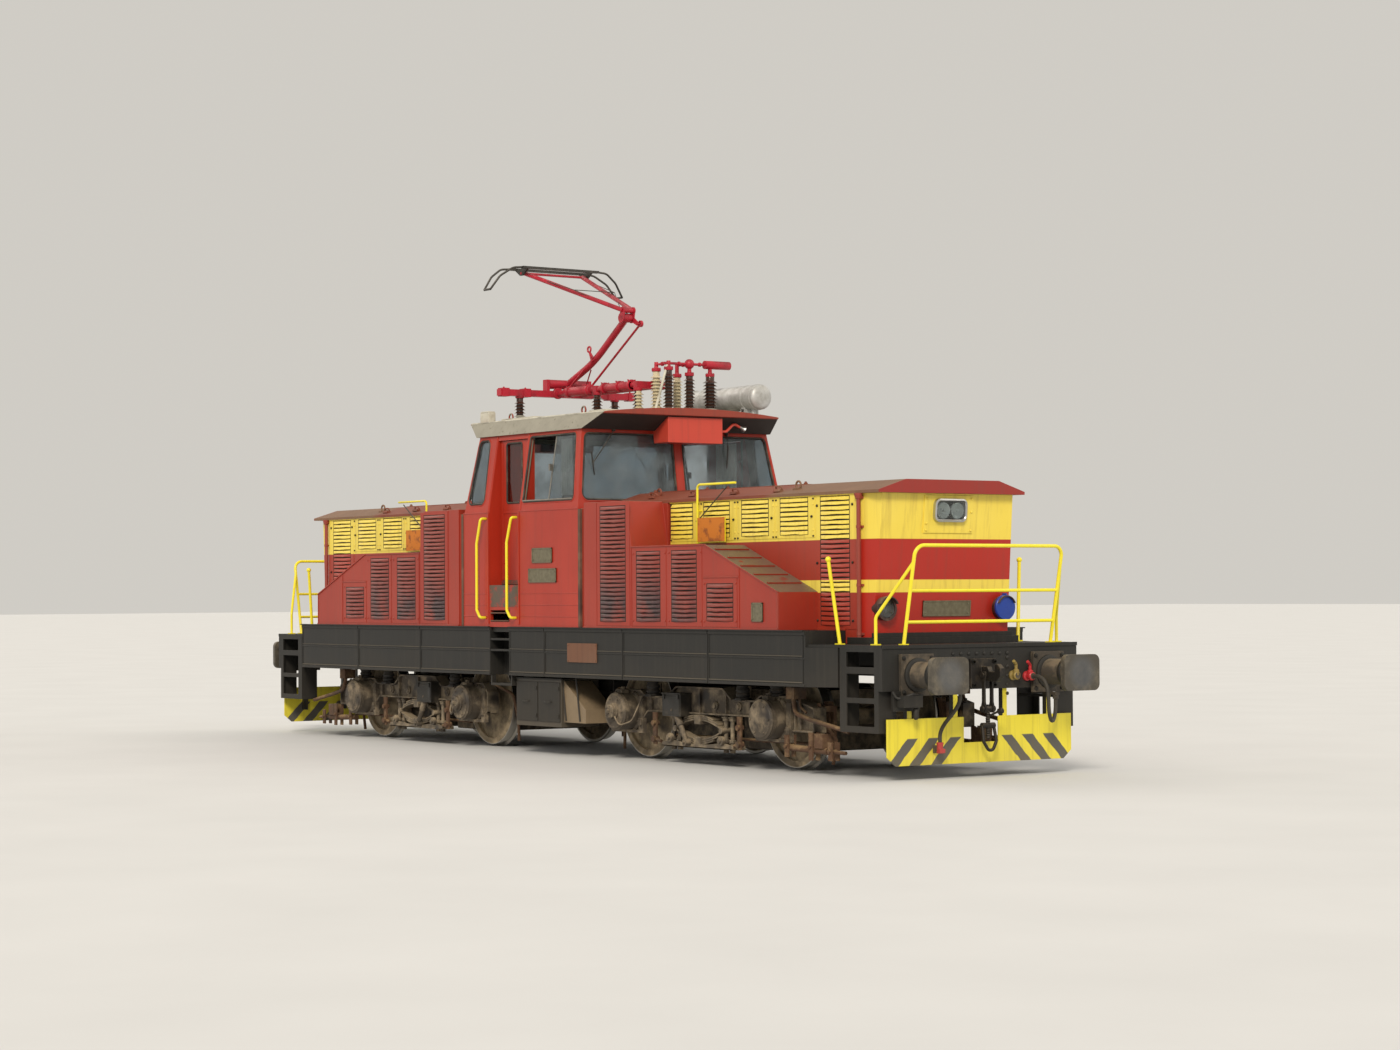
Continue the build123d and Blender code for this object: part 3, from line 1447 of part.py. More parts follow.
for end_name, end in (("front", 1), ("rear", -1)):
    centre = end * bogie_centre_x
    nodes["bogie_frame_" + end_name] = bogie_frame(centre)
    nodes["bogie_springs_" + end_name] = bogie_springs(centre)
    nodes["brake_gear_" + end_name] = brake_gear(centre)
    nodes["traction_motors_" + end_name] = traction_motors(centre)
    nodes["wheelset_" + end_name + "_outer"] = wheelset(centre + end * wheelbase / 2)
    nodes["wheelset_" + end_name + "_inner"] = wheelset(centre - end * wheelbase / 2)

os.makedirs("parts", exist_ok=True)
for name, pieces in nodes.items():
    solids = [solid for piece in pieces for solid in piece.solids()]
    export_step(Compound(children=solids), os.path.join("parts", name + ".step"))
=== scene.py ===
import math
import random

import bmesh
import bpy
from mathutils import Euler, Matrix, Vector


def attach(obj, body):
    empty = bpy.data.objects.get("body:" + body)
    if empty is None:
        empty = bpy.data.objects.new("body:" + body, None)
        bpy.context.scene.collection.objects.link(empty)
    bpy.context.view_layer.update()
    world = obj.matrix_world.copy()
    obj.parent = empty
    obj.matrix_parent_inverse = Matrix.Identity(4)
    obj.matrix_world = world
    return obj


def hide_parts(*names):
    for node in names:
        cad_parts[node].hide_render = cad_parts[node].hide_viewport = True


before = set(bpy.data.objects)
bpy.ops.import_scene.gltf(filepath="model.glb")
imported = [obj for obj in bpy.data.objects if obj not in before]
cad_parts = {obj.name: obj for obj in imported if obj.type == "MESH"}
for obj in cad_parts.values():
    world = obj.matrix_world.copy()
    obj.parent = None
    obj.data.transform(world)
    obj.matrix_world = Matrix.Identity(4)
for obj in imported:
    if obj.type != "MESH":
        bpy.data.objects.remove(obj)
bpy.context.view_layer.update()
chance = random.Random(7)

# The camera stands low down and a long way off, behind a long lens, so the view is nearly flat.
# It is tilted up a little and leans very slightly to one side.
camera_place = Vector((28.98, -19.074, 1.902))
camera_turn = math.radians(55.103)
camera_tilt = math.radians(1.346)
camera_roll = math.radians(-0.312)
camera_data = bpy.data.cameras.new("camera")
camera_data.sensor_width = 36
camera_data.lens = 73.53
camera_data.clip_end = 500
camera = bpy.data.objects.new("camera", camera_data)
camera_level = Euler((math.pi / 2 + camera_tilt, 0, camera_turn)).to_matrix()
camera_facing = camera_level @ Matrix.Rotation(camera_roll, 3, "Z")
camera.matrix_world = Matrix.Translation(camera_place) @ camera_facing.to_4x4()
bpy.context.scene.collection.objects.link(camera)
bpy.context.scene.camera = camera
bpy.context.scene.view_settings.view_transform = "Standard"


def linear(code):
    """An sRGB hex colour as linear red, green, blue and a full alpha."""
    channels = [int(code[start:start + 2], 16) / 255 for start in (0, 2, 4)]
    return [c / 12.92 if c <= 0.04045 else ((c + 0.055) / 1.055) ** 2.4 for c in channels] + [1]


def add(material, kind, inputs, **settings):
    """Adds a node with its settings, and sets or links each of its inputs. Returns its outputs."""
    tree = material.node_tree
    made = tree.nodes["Principled BSDF"] if kind == "BsdfPrincipled" else tree.nodes.new("ShaderNode" + kind)
    for name, value in settings.items():
        setattr(made, name, value)
    for socket, value in inputs.items():
        if isinstance(value, bpy.types.NodeSocket):
            tree.links.new(value, made.inputs[socket])
        else:
            made.inputs[socket].default_value = value
    return made.outputs


def new_material(name):
    material = bpy.data.materials.new(name)
    material.use_nodes = True
    return material


def across(millimetres):
    """The texture scale whose spots are that wide."""
    return 1000 / millimetres


# Soft studio light: one wide lamp high behind the camera, a weaker one from the far side and a pale room.
# It gives the front end more light than the side.
# heading in degrees, height in degrees, strength, width of the lamp in degrees
studio_lamps = [
    (48, 34, 2.3, 16),
    (150, 40, 0.7, 40),
    (285, 35, 0.6, 40),
]
for number, (heading, height, strength, width) in enumerate(studio_lamps):
    lamp_data = bpy.data.lights.new(f"lamp_{number}", "SUN")
    lamp_data.energy = strength
    lamp_data.color = linear("FFF3E2")[:3]
    lamp_data.angle = math.radians(width)
    lamp = bpy.data.objects.new(f"lamp_{number}", lamp_data)
    lamp.rotation_euler = Euler((math.radians(90 - height), 0, math.radians(heading)))
    bpy.context.scene.collection.objects.link(lamp)
room = bpy.data.worlds.new("room")
room.use_nodes = True
room.node_tree.nodes["Background"].inputs["Color"].default_value = linear("ECE8E0")
room.node_tree.nodes["Background"].inputs["Strength"].default_value = 0.75
bpy.context.scene.world = room

# The floor is pale smooth concrete, power-floated, with a faint cloudiness.
floor_half = 250
floor_mesh = bpy.data.meshes.new("studio_floor")
floor_mesh.from_pydata([(-floor_half, -floor_half, 0), (floor_half, -floor_half, 0),
                        (floor_half, floor_half, 0), (-floor_half, floor_half, 0)], [], [(0, 1, 2, 3)])
floor = bpy.data.objects.new("studio_floor", floor_mesh)
bpy.context.scene.collection.objects.link(floor)
concrete = new_material("floated_concrete")
place = add(concrete, "TexCoord", {})["Object"]
clouds = add(concrete, "TexNoise", {"Vector": place, "Scale": across(1800), "Detail": 6})["Fac"]
shade = add(concrete, "Mix", {0: clouds, 6: linear("C8CACC"), 7: linear("D3D5D7")}, data_type="RGBA")[2]
add(concrete, "BsdfPrincipled", {"Base Color": shade, "Roughness": 0.85})
floor_mesh.materials.append(concrete)


# Wheelsets: rolled steel wheels pressed on a forged axle. The tread is rubbed bright by rolling, and the
# rest is covered with brown brake dust and oil.
def scaled(value, low, high):
    """Where value lies between low and high, as the inputs of a map from 0 to 1."""
    return {"Value": value, "From Min": low, "From Max": high}


def blend(material, share, one, other):
    """A colour between two others. Each is a hex code or the output of a node."""
    pair = [linear(c) if isinstance(c, str) else c for c in (one, other)]
    return add(material, "Mix", {0: share, 6: pair[0], 7: pair[1]}, data_type="RGBA")[2]


def dusty_metal(name, bare, dust, grime, dust_share=0.5, roughness=0.8, metallic=0.0):
    """Cast or forged iron under brake dust: flat brown, lighter where dust lies, dark where oil has run."""
    material = new_material(name)
    place = add(material, "TexCoord", {})["Object"]
    patches = add(material, "TexNoise", {"Vector": place, "Scale": across(160), "Detail": 7,
                                         "Roughness": 0.65})["Fac"]
    stains = add(material, "TexNoise", {"Vector": place, "Scale": across(420), "Detail": 3})["Fac"]
    grit = add(material, "TexNoise", {"Vector": place, "Scale": across(9), "Detail": 3})["Fac"]
    up = add(material, "SeparateXYZ", {0: add(material, "NewGeometry", {})["Normal"]})["Z"]
    upward = add(material, "Math", {0: up, 1: 0.22}, operation="MULTIPLY")[0]
    lying = add(material, "Math", {0: patches, 1: upward})[0]
    low = 0.62 - 0.3 * dust_share
    dusted = add(material, "MapRange", scaled(lying, low, low + 0.22))[0]
    oiled = add(material, "MapRange", scaled(stains, 0.56, 0.70))[0]
    colour = blend(material, oiled, blend(material, dusted, bare, dust), grime)
    dull = add(material, "MapRange", {"Value": oiled, "To Min": roughness, "To Max": roughness - 0.25})[0]
    bump = add(material, "Bump", {"Strength": 0.5, "Distance": 0.003, "Height": grit})[0]
    add(material, "BsdfPrincipled", {"Base Color": colour, "Roughness": dull, "Normal": bump,
                                     "Metallic": metallic})
    return material, colour


def round_edges(piece, radius, segments=2):
    """A small radius on all sharp edges, so that they catch the light."""
    bevel = piece.modifiers.new("edge", "BEVEL")
    bevel.width = radius
    bevel.segments = segments
    bevel.limit_method = "ANGLE"
    bevel.angle_limit = math.radians(40)
    bevel.harden_normals = True


def dress(node, material, edge=0.004, segments=2):
    """Gives a CAD node its finish and rounds its edges."""
    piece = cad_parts[node]
    piece.data.materials.clear()
    piece.data.materials.append(material)
    weld = piece.modifiers.new("weld", "WELD")
    weld.merge_threshold = 0.00002
    if edge:
        round_edges(piece, edge, segments)


axle_height = 0.553
tread_radius = 0.525
wheelbase = 2.8
bogie_middle = 3.15
ends = {"front": 1, "rear": -1}
for end, sign in ends.items():
    for place_name, offset in (("outer", wheelbase / 2), ("inner", -wheelbase / 2)):
        axle_x = sign * (bogie_middle + offset)
        rolled, dull_brown = dusty_metal(f"rolled_wheel_steel_{end}_{place_name}", "6A5E4C", "A39276",
                                         "35302A", 0.65)
        where = add(rolled, "SeparateXYZ", {0: add(rolled, "TexCoord", {})["Object"]})
        across_x = add(rolled, "Math", {0: where["X"], 1: axle_x}, operation="SUBTRACT")[0]
        across_z = add(rolled, "Math", {0: where["Z"], 1: axle_height}, operation="SUBTRACT")[0]
        flat_place = add(rolled, "CombineXYZ", {"X": across_x, "Z": across_z})[0]
        radius = add(rolled, "VectorMath", {0: flat_place}, operation="LENGTH")["Value"]
        rubbed = add(rolled, "MapRange", scaled(radius, tread_radius - 0.012, tread_radius - 0.004))[0]
        polished = add(rolled, "MapRange", {"Value": rubbed, "To Min": 0.8, "To Max": 0.28})[0]
        add(rolled, "BsdfPrincipled", {"Base Color": blend(rolled, rubbed, dull_brown, "A9A59D"),
                                       "Metallic": rubbed, "Roughness": polished})
        dress(f"wheelset_{end}_{place_name}", rolled, edge=0.006)


# Bogie frames: steel castings with an I-shaped side beam. The axle boxes end in long round covers,
# held by a ring of bolts, and everything is caked with brake dust.
MIRROR = Matrix.Scale(-1, 4, (0, 1, 0))
TURN = Matrix.Rotation(math.pi, 4, "Z")
HERE = Matrix.Identity(4)
OTHER_SIDE = [MIRROR]
OTHER_END = [TURN]
OTHER_CORNERS = [MIRROR, TURN, TURN @ MIRROR]
AHEAD, NEAR, FAR, UP = (1, 0, 0), (0, -1, 0), (0, 1, 0), (0, 0, 1)


def add_block(mesh, low, high, turn=None):
    """A bar or plate between two corners, turned about its middle if a rotation is given."""
    size = [b - a for a, b in zip(low, high)]
    middle = Matrix.Translation([(a + b) / 2 for a, b in zip(low, high)])
    matrix = middle @ (turn.to_4x4() if turn else Matrix.Identity(4)) @ Matrix.Diagonal((*size, 1))
    return bmesh.ops.create_cube(mesh, size=1, matrix=matrix)["verts"]


def add_rings(mesh, rings, closed=False):
    """A skin over rings of points with as many points each, closed by a flat face at both ends."""
    rows = [[mesh.verts.new(point) for point in ring] for ring in rings]
    pairs = list(zip(rows, rows[1:])) + ([(rows[-1], rows[0])] if closed else [])
    for one, other in pairs:
        for i in range(len(one)):
            k = (i + 1) % len(one)
            mesh.faces.new((one[i], one[k], other[k], other[i]))
    if not closed:
        mesh.faces.new(rows[0][::-1])
        mesh.faces.new(rows[-1])


def add_turned(mesh, profile, place, axis, sides=20):
    """A turned shape. The profile gives each step's radius and its distance along the axis."""
    facing = Vector(axis).to_track_quat("Z", "Y")
    rings = []
    for radius, along in profile:
        ring = []
        for step in range(sides):
            angle = 2 * math.pi * (step + 0.5) / sides
            point = Vector((radius * math.cos(angle), radius * math.sin(angle), along))
            ring.append(Vector(place) + facing @ point)
        rings.append(ring)
    add_rings(mesh, rings)


def rounded(points, bend, steps=5):
    """The line of a bent pipe: each inner corner becomes an arc of that radius."""
    points = [Vector(p) for p in points]
    line = [points[0]]
    for before, corner, after in zip(points, points[1:], points[2:]):
        back, on = (before - corner), (after - corner)
        half = back.angle(on) / 2
        reach = min(bend / math.tan(half), 0.48 * back.length, 0.48 * on.length)
        back.normalize()
        on.normalize()
        centre = corner + (back + on).normalized() * (reach / math.cos(half))
        start, end = corner + back * reach - centre, corner + on * reach - centre
        radius, one, other = start.length, start.normalized(), end.normalized()
        line += [centre + radius * one.slerp(other, step / steps) for step in range(steps + 1)]
    return line + [points[-1]]


def add_tube(mesh, points, radius, sides=10, closed=False):
    """A round bar, pipe or wire along the points. The section turns with the line and doesn't twist."""
    points = [Vector(p) for p in points]
    count = len(points)
    ahead = []
    for i in range(count):
        before = points[i - 1] if (i or closed) else points[0]
        after = points[(i + 1) % count] if (i < count - 1 or closed) else points[-1]
        ahead.append((after - before).normalized())
    side = ahead[0].orthogonal().normalized()
    rings = []
    for point, facing in zip(points, ahead):
        side = (side - facing * side.dot(facing)).normalized()
        up = facing.cross(side)
        angles = [2 * math.pi * step / sides for step in range(sides)]
        rings.append([point + radius * (math.cos(a) * side + math.sin(a) * up) for a in angles])
    add_rings(mesh, rings, closed)


def add_plate(mesh, outline, plane, start, thickness):
    """A flat plate: its outline lies in two axes, named xz or yz, and it is as thick along the third."""
    rings = []
    for level in (start, start + thickness):
        rings.append([(a, level, b) if plane == "xz" else (level, a, b) for a, b in outline])
    add_rings(mesh, rings)


def repeat(mesh, places):
    """Copies all of the mesh made so far to each other place."""
    source = mesh.verts[:] + mesh.edges[:] + mesh.faces[:]
    for place in places:
        copy = bmesh.ops.duplicate(mesh, geom=source)["geom"]
        bmesh.ops.transform(mesh, matrix=place, verts=[g for g in copy if isinstance(g, bmesh.types.BMVert)])


def make_piece(mesh, name, body, material, edge=0.0, smooth=38, place=HERE):
    """Turns the mesh into a piece that rides on a body, moved to its place and with its edges rounded."""
    bmesh.ops.transform(mesh, matrix=place, verts=mesh.verts)
    bmesh.ops.recalc_face_normals(mesh, faces=mesh.faces)
    data = bpy.data.meshes.new(name)
    mesh.to_mesh(data)
    mesh.free()
    data.materials.append(material)
    data.shade_smooth()
    data.set_sharp_from_angle(angle=math.radians(smooth))
    piece = bpy.data.objects.new(name, data)
    bpy.context.scene.collection.objects.link(piece)
    if edge:
        round_edges(piece, edge)
    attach(piece, body)
    return piece


def on_both_bogies(name, build, material, edge=0.0):
    """Builds the front bogie's near side, copies it across and turns a second one round to the rear bogie.
    Returns both pieces by their end."""
    pieces = {}
    for end, place in (("front", HERE), ("rear", TURN)):
        mesh = bmesh.new()
        build(mesh)
        repeat(mesh, OTHER_SIDE)
        pieces[end] = make_piece(mesh, f"{name}_{end}", f"bogie_{end}", material, edge, place=place)
    return pieces


cast_steel, _ = dusty_metal("cast_steel_under_dust", "4C443A", "8C7E69", "2A2521", 0.62)
beam_face_y = -1.05
flange_depth = 0.04
flange_thickness = 0.02
# Side beam outline: distance from the bogie's middle, height
beam_outline = [(-1.76, 0.43), (-1.76, 0.69), (-1.65, 0.80), (-1.15, 0.80), (-1.05, 0.74), (-0.62, 0.74),
                (-0.45, 0.86), (0.45, 0.86), (0.62, 0.74), (1.05, 0.74), (1.15, 0.80), (1.65, 0.80),
                (2.10, 0.69), (2.10, 0.43), (1.15, 0.43), (1.00, 0.56), (-1.00, 0.56), (-1.15, 0.43)]
# Upright ribs between the flanges: distance from the bogie's middle, foot, head
beam_ribs = [(-0.95, 0.565, 0.735), (-0.5, 0.565, 0.81), (0.0, 0.565, 0.855), (0.5, 0.565, 0.81),
             (0.95, 0.565, 0.735), (1.85, 0.44, 0.74), (1.75, 0.44, 0.76)]


def build_beam_flanges(mesh):
    corners = [Vector(corner) for corner in beam_outline]
    for one, other in zip(corners, corners[1:] + corners[:1]):
        along = (other - one).normalized()
        inward = Vector((along.y, -along.x)) * flange_thickness
        strip = [one, other, other + inward, one + inward]
        add_plate(mesh, [(bogie_middle + p.x, p.y) for p in strip], "xz", beam_face_y - flange_depth,
                  flange_depth + 0.005)
    for u, low, high in beam_ribs:
        x = bogie_middle + u
        add_block(mesh, (x - 0.009, beam_face_y - flange_depth + 0.008, low),
                  (x + 0.009, beam_face_y + 0.002, high))
    for u in (-0.72, -0.28, 0.28, 0.72):
        add_turned(mesh, [(0.05, 0), (0.05, 0.018), (0.03, 0.024), (0.03, 0.036)],
                   (bogie_middle + u, beam_face_y, 0.66), NEAR, 14)


def add_bolt_ring(mesh, count, radius, middle, head, shift=0.0):
    """A ring of bolt heads. shift turns the first one on by that share of the step between them."""
    x, y, z = middle
    for step in range(count):
        angle = 2 * math.pi * (step + shift) / count
        add_turned(mesh, head, (x + radius * math.cos(angle), y, z + radius * math.sin(angle)), NEAR, 6)


def build_axle_covers(mesh):
    profile = [(0.245, 0), (0.245, 0.022), (0.215, 0.03), (0.208, 0.034), (0.208, 0.19), (0.216, 0.195),
               (0.216, 0.218), (0.196, 0.226), (0.19, 0.236), (0.07, 0.243), (0.06, 0.25), (0.02, 0.252)]
    for u in (-wheelbase / 2, wheelbase / 2):
        x = bogie_middle + u
        add_turned(mesh, profile, (x, beam_face_y, axle_height), NEAR, 36)
        add_bolt_ring(mesh, 8, 0.23, (x, beam_face_y - 0.022, axle_height), [(0.016, 0), (0.016, 0.014)], 0.5)
        add_bolt_ring(mesh, 6, 0.16, (x, beam_face_y - 0.238, axle_height), [(0.012, 0), (0.012, 0.01)])
        for side in (-1, 1):
            low, high = sorted((x + side * 0.247, x + side * 0.303))
            add_block(mesh, (low, beam_face_y - 0.075, 0.40), (high, beam_face_y - 0.05, 0.48))
        add_block(mesh, (x - 0.05, beam_face_y - 0.16, 0.755), (x + 0.05, beam_face_y - 0.06, 0.80))
        add_turned(mesh, [(0.03, 0), (0.03, 0.03), (0.018, 0.036)], (x, beam_face_y - 0.11, 0.80), UP, 12)


def build_speed_hub(mesh):
    x = bogie_middle - wheelbase / 2
    start = beam_face_y - 0.24
    add_turned(mesh, [(0.1, 0), (0.1, 0.02), (0.085, 0.026), (0.085, 0.06), (0.07, 0.07), (0.03, 0.072)],
               (x, start, axle_height), NEAR, 28)
    add_turned(mesh, [(0.032, 0), (0.032, 0.02), (0.02, 0.026)], (x, start - 0.07, axle_height), NEAR, 6)
    add_bolt_ring(mesh, 5, 0.063, (x, start - 0.068, axle_height), [(0.009, 0), (0.009, 0.01)])
    add_tube(mesh, rounded([(x + 0.06, start - 0.03, axle_height - 0.05),
                            (x + 0.14, start - 0.02, axle_height - 0.16),
                            (x + 0.30, start + 0.05, axle_height - 0.1), (x + 0.36, start + 0.16, 0.74)],
                           0.08), 0.011, 8)


for end in ends:
    dress(f"bogie_frame_{end}", cast_steel, edge=0.008)
    dress(f"traction_motors_{end}", cast_steel, edge=0.02)
on_both_bogies("side_beam_flanges", build_beam_flanges, cast_steel, 0.003)
on_both_bogies("axle_box_covers", build_axle_covers, cast_steel, 0.003)
on_both_bogies("speed_hubs", build_speed_hub, cast_steel, 0.002)


# Bogie springs: flat steel leaves in two bows, clamped by a forged buckle and hung from the side beam
# on long bolts with nuts. They stand on a pressed cradle, and their rubbed edges are a little brighter.
spring_steel, _ = dusty_metal("leaf_spring_steel", "5A5145", "9A8B73", "302A24", 0.6, 0.7)
spring_y_in, spring_y_out = -0.965, -1.095
cradle_low, cradle_high, cradle_half = 0.19, 0.235, 0.68
spring_half = 0.44
leaf_thickness = 0.018
# Lower leaves: half the length, height at the middle. The upper ones mirror them above spring_seat.
spring_seat = 0.375
spring_leaves = [(spring_half, 0.275), (0.36, 0.253), (0.28, 0.231)]
spring_rise = spring_seat - spring_leaves[0][1]
# What hangs the spring at each end, from the bolt down to the lowest nut: radius, length, foot, sides
hangers = [(0.024, 0.36, cradle_high - 0.01, 12), (0.042, 0.035, 0.262, 6), (0.042, 0.03, 0.50, 6),
           (0.05, 0.012, 0.532, 14), (0.034, 0.04, cradle_low - 0.035, 6)]


def add_leaf(mesh, half, middle_z, rise):
    """One bowed leaf, which would rise that much from its middle to the end of the longest leaf."""
    rings = []
    for step in range(13):
        u = half * (step / 6 - 1)
        x, z = bogie_middle + u, middle_z + rise * (u / spring_half) ** 2
        top = z + leaf_thickness
        rings.append([(x, spring_y_out, z), (x, spring_y_in, z), (x, spring_y_in, top),
                      (x, spring_y_out, top)])
    add_rings(mesh, rings)


def build_springs(mesh):
    for half, middle_z in spring_leaves:
        add_leaf(mesh, half, middle_z, spring_rise)
        add_leaf(mesh, half, 2 * spring_seat - middle_z + 0.02, -spring_rise)
    for low, high in ((0.222, 0.312), (0.452, 0.55)):
        add_block(mesh, (bogie_middle - 0.06, spring_y_out - 0.015, low),
                  (bogie_middle + 0.06, spring_y_in + 0.01, high))
    for side in (-1, 1):
        x = bogie_middle + side * spring_half
        add_turned(mesh, [(0.034, 0), (0.034, 0.16)], (x, spring_y_out - 0.015, spring_seat + 0.018), FAR, 16)
        add_turned(mesh, [(0.05, 0), (0.05, 0.035), (0.028, 0.04), (0.028, 0.06)],
                   (x + side * 0.05, spring_y_out - 0.02, 0.29), NEAR, 18)
        for reach in (spring_half, 0.56):
            for radius, length, foot, sides in hangers:
                spot = (bogie_middle + side * reach, (spring_y_in + spring_y_out) / 2, foot)
                add_turned(mesh, [(radius, 0), (radius, length)], spot, UP, sides)
    add_block(mesh, (bogie_middle - cradle_half, spring_y_out - 0.02, cradle_low),
              (bogie_middle + cradle_half, spring_y_in + 0.02, cradle_low + 0.014))
    outline = [(-cradle_half, cradle_low), (cradle_half, cradle_low), (cradle_half, cradle_high),
               (0.5, cradle_high + 0.03), (0.2, cradle_high), (-0.2, cradle_high), (-0.5, cradle_high + 0.03),
               (-cradle_half, cradle_high)]
    for y in (spring_y_out - 0.02, spring_y_in + 0.008):
        add_plate(mesh, [(bogie_middle + u, z) for u, z in outline], "xz", y, 0.012)


def build_damper(mesh):
    top = Vector((bogie_middle - 0.36, spring_y_out - 0.06, 0.60))
    foot = Vector((bogie_middle - 0.14, spring_y_out - 0.06, 0.25))
    along = (foot - top).normalized()
    add_turned(mesh, [(0.02, 0), (0.04, 0.01), (0.04, 0.2), (0.03, 0.21), (0.03, 0.38), (0.02, 0.4)], top,
               along, 16)
    for spot in (top, foot):
        add_turned(mesh, [(0.04, 0), (0.04, 0.07)], spot + Vector((0, -0.035, 0)), FAR, 14)
        add_turned(mesh, [(0.014, -0.01), (0.014, 0.12)], spot + Vector((0, -0.045, 0)), FAR, 8)


for end, piece in on_both_bogies("leaf_springs", build_springs, spring_steel, 0.002).items():
    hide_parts(f"bogie_springs_{end}")
on_both_bogies("spring_dampers", build_damper, cast_steel)


# Brake gear: cast iron shoes hang beside each wheel and are pulled by rods and levers along the bogie.
# Sand pipes and conduits of bent steel tube run down beside them, brown with rust where they are chipped.
rusty_rods, _ = dusty_metal("rusty_forged_rods", "5B4230", "8F7655", "332820", 0.45, 0.85)
for end in ends:
    dress(f"brake_gear_{end}", rusty_rods, edge=0.003)


def build_rods(mesh):
    y = beam_face_y - 0.05
    inner, outer = bogie_middle - wheelbase / 2, bogie_middle + wheelbase / 2
    add_tube(mesh, rounded([(outer + 0.42, y - 0.05, 0.80), (outer + 0.47, y - 0.06, 0.63),
                            (outer + 0.75, y - 0.06, 0.57), (outer + 1.35, y - 0.04, 0.47)], 0.1), 0.024, 10)
    add_tube(mesh, rounded([(outer + 0.46, y, 0.88), (outer + 0.5, y - 0.02, 0.70),
                            (outer + 0.62, y - 0.03, 0.64)], 0.06), 0.014, 8)
    add_block(mesh, (outer + 0.36, y - 0.10, 0.78), (outer + 0.50, y + 0.06, 0.90))
    add_turned(mesh, [(0.05, 0), (0.05, 0.06), (0.03, 0.07), (0.03, 0.11)], (outer + 0.43, y - 0.02, 0.90),
               UP, 14)
    # slack adjuster and its levers outside the outer wheel
    add_tube(mesh, [(outer + 0.22, y, 0.27), (outer + 0.95, y, 0.25)], 0.035, 14)
    add_tube(mesh, [(outer + 0.95, y, 0.25), (outer + 1.25, y, 0.245)], 0.02, 10)
    for x, low, high in ((outer + 0.3, 0.17, 0.40), (outer + 0.72, 0.15, 0.44), (outer + 1.05, 0.16, 0.35)):
        for start in (y - 0.055, y + 0.035):
            add_plate(mesh, [(x - 0.03, low), (x + 0.03, low), (x + 0.035, high), (x - 0.035, high)], "xz",
                      start, 0.018)
        add_turned(mesh, [(0.02, 0), (0.02, 0.13)], (x, y - 0.075, (low + high) / 2), FAR, 10)
    add_block(mesh, (outer + 0.78, y - 0.05, 0.28), (outer + 0.92, y + 0.07, 0.43))
    # levers between the wheels, beside the springs
    for x in (inner + 0.58, outer - 0.6):
        add_plate(mesh, [(x - 0.03, 0.2), (x + 0.03, 0.2), (x + 0.04, 0.56), (x - 0.04, 0.56)], "xz",
                  y - 0.02, 0.02)
        add_turned(mesh, [(0.035, 0), (0.035, 0.08)], (x, y - 0.05, 0.26), FAR, 12)
        add_turned(mesh, [(0.03, 0), (0.03, 0.08)], (x, y - 0.05, 0.44), FAR, 12)
    add_tube(mesh, [(inner + 0.58, y - 0.01, 0.26), (bogie_middle - 0.70, y - 0.01, 0.24)], 0.02, 8)
    add_tube(mesh, [(bogie_middle + 0.70, y - 0.01, 0.24), (outer - 0.6, y - 0.01, 0.26)], 0.02, 8)
    # sand pipes from the frame down beside the wheels at both ends of the bogie
    for top, bend, foot in (((outer + 0.66, -1.0, 0.74), (outer + 0.66, -0.9, 0.5), outer + 0.60),
                            ((inner - 0.33, -1.0, 0.80), (inner - 0.56, -0.84, 0.66), inner - 0.57)):
        low = (bend[0], -0.765, 0.35)
        add_tube(mesh, rounded([top, bend, low, (foot, -0.765, 0.09)], 0.08), 0.019, 10)


def build_sand_box(mesh):
    x, y = bogie_middle - 0.55, beam_face_y
    add_block(mesh, (x, y - 0.15, 0.53), (x + 0.36, y, 0.775))
    add_block(mesh, (x - 0.008, y - 0.16, 0.775), (x + 0.368, y, 0.79))
    add_block(mesh, (x + 0.02, y - 0.156, 0.55), (x + 0.34, y - 0.15, 0.755))
    for edge in (x + 0.03, x + 0.30):
        add_block(mesh, (edge, y - 0.166, 0.72), (edge + 0.03, y - 0.15, 0.77))


def build_side_bearers(mesh):
    profile = [(0.09, 0), (0.09, 0.015), (0.069, 0.022), (0.082, 0.05), (0.069, 0.075), (0.082, 0.10),
               (0.069, 0.13), (0.069, 0.148)]
    for u, z in ((-0.93, 0.745), (0.8, 0.745), (1.42, 0.805)):
        add_turned(mesh, profile, (bogie_middle + u, beam_face_y - 0.01, z), UP, 20)
        add_block(mesh, (bogie_middle + u - 0.07, beam_face_y - 0.09, z - 0.012),
                  (bogie_middle + u + 0.07, beam_face_y + 0.08, z + 0.004))


on_both_bogies("brake_rods", build_rods, rusty_rods)
rubber, _ = dusty_metal("moulded_rubber_under_dust", "24211F", "4A443C", "151413", 0.5, 0.75)
on_both_bogies("side_bearers", build_side_bearers, rubber)
black_box, _ = dusty_metal("black_sheet_steel_box", "26241F", "4E463A", "1A1816", 0.42, 0.6)
on_both_bogies("sand_boxes", build_sand_box, black_box, 0.003)


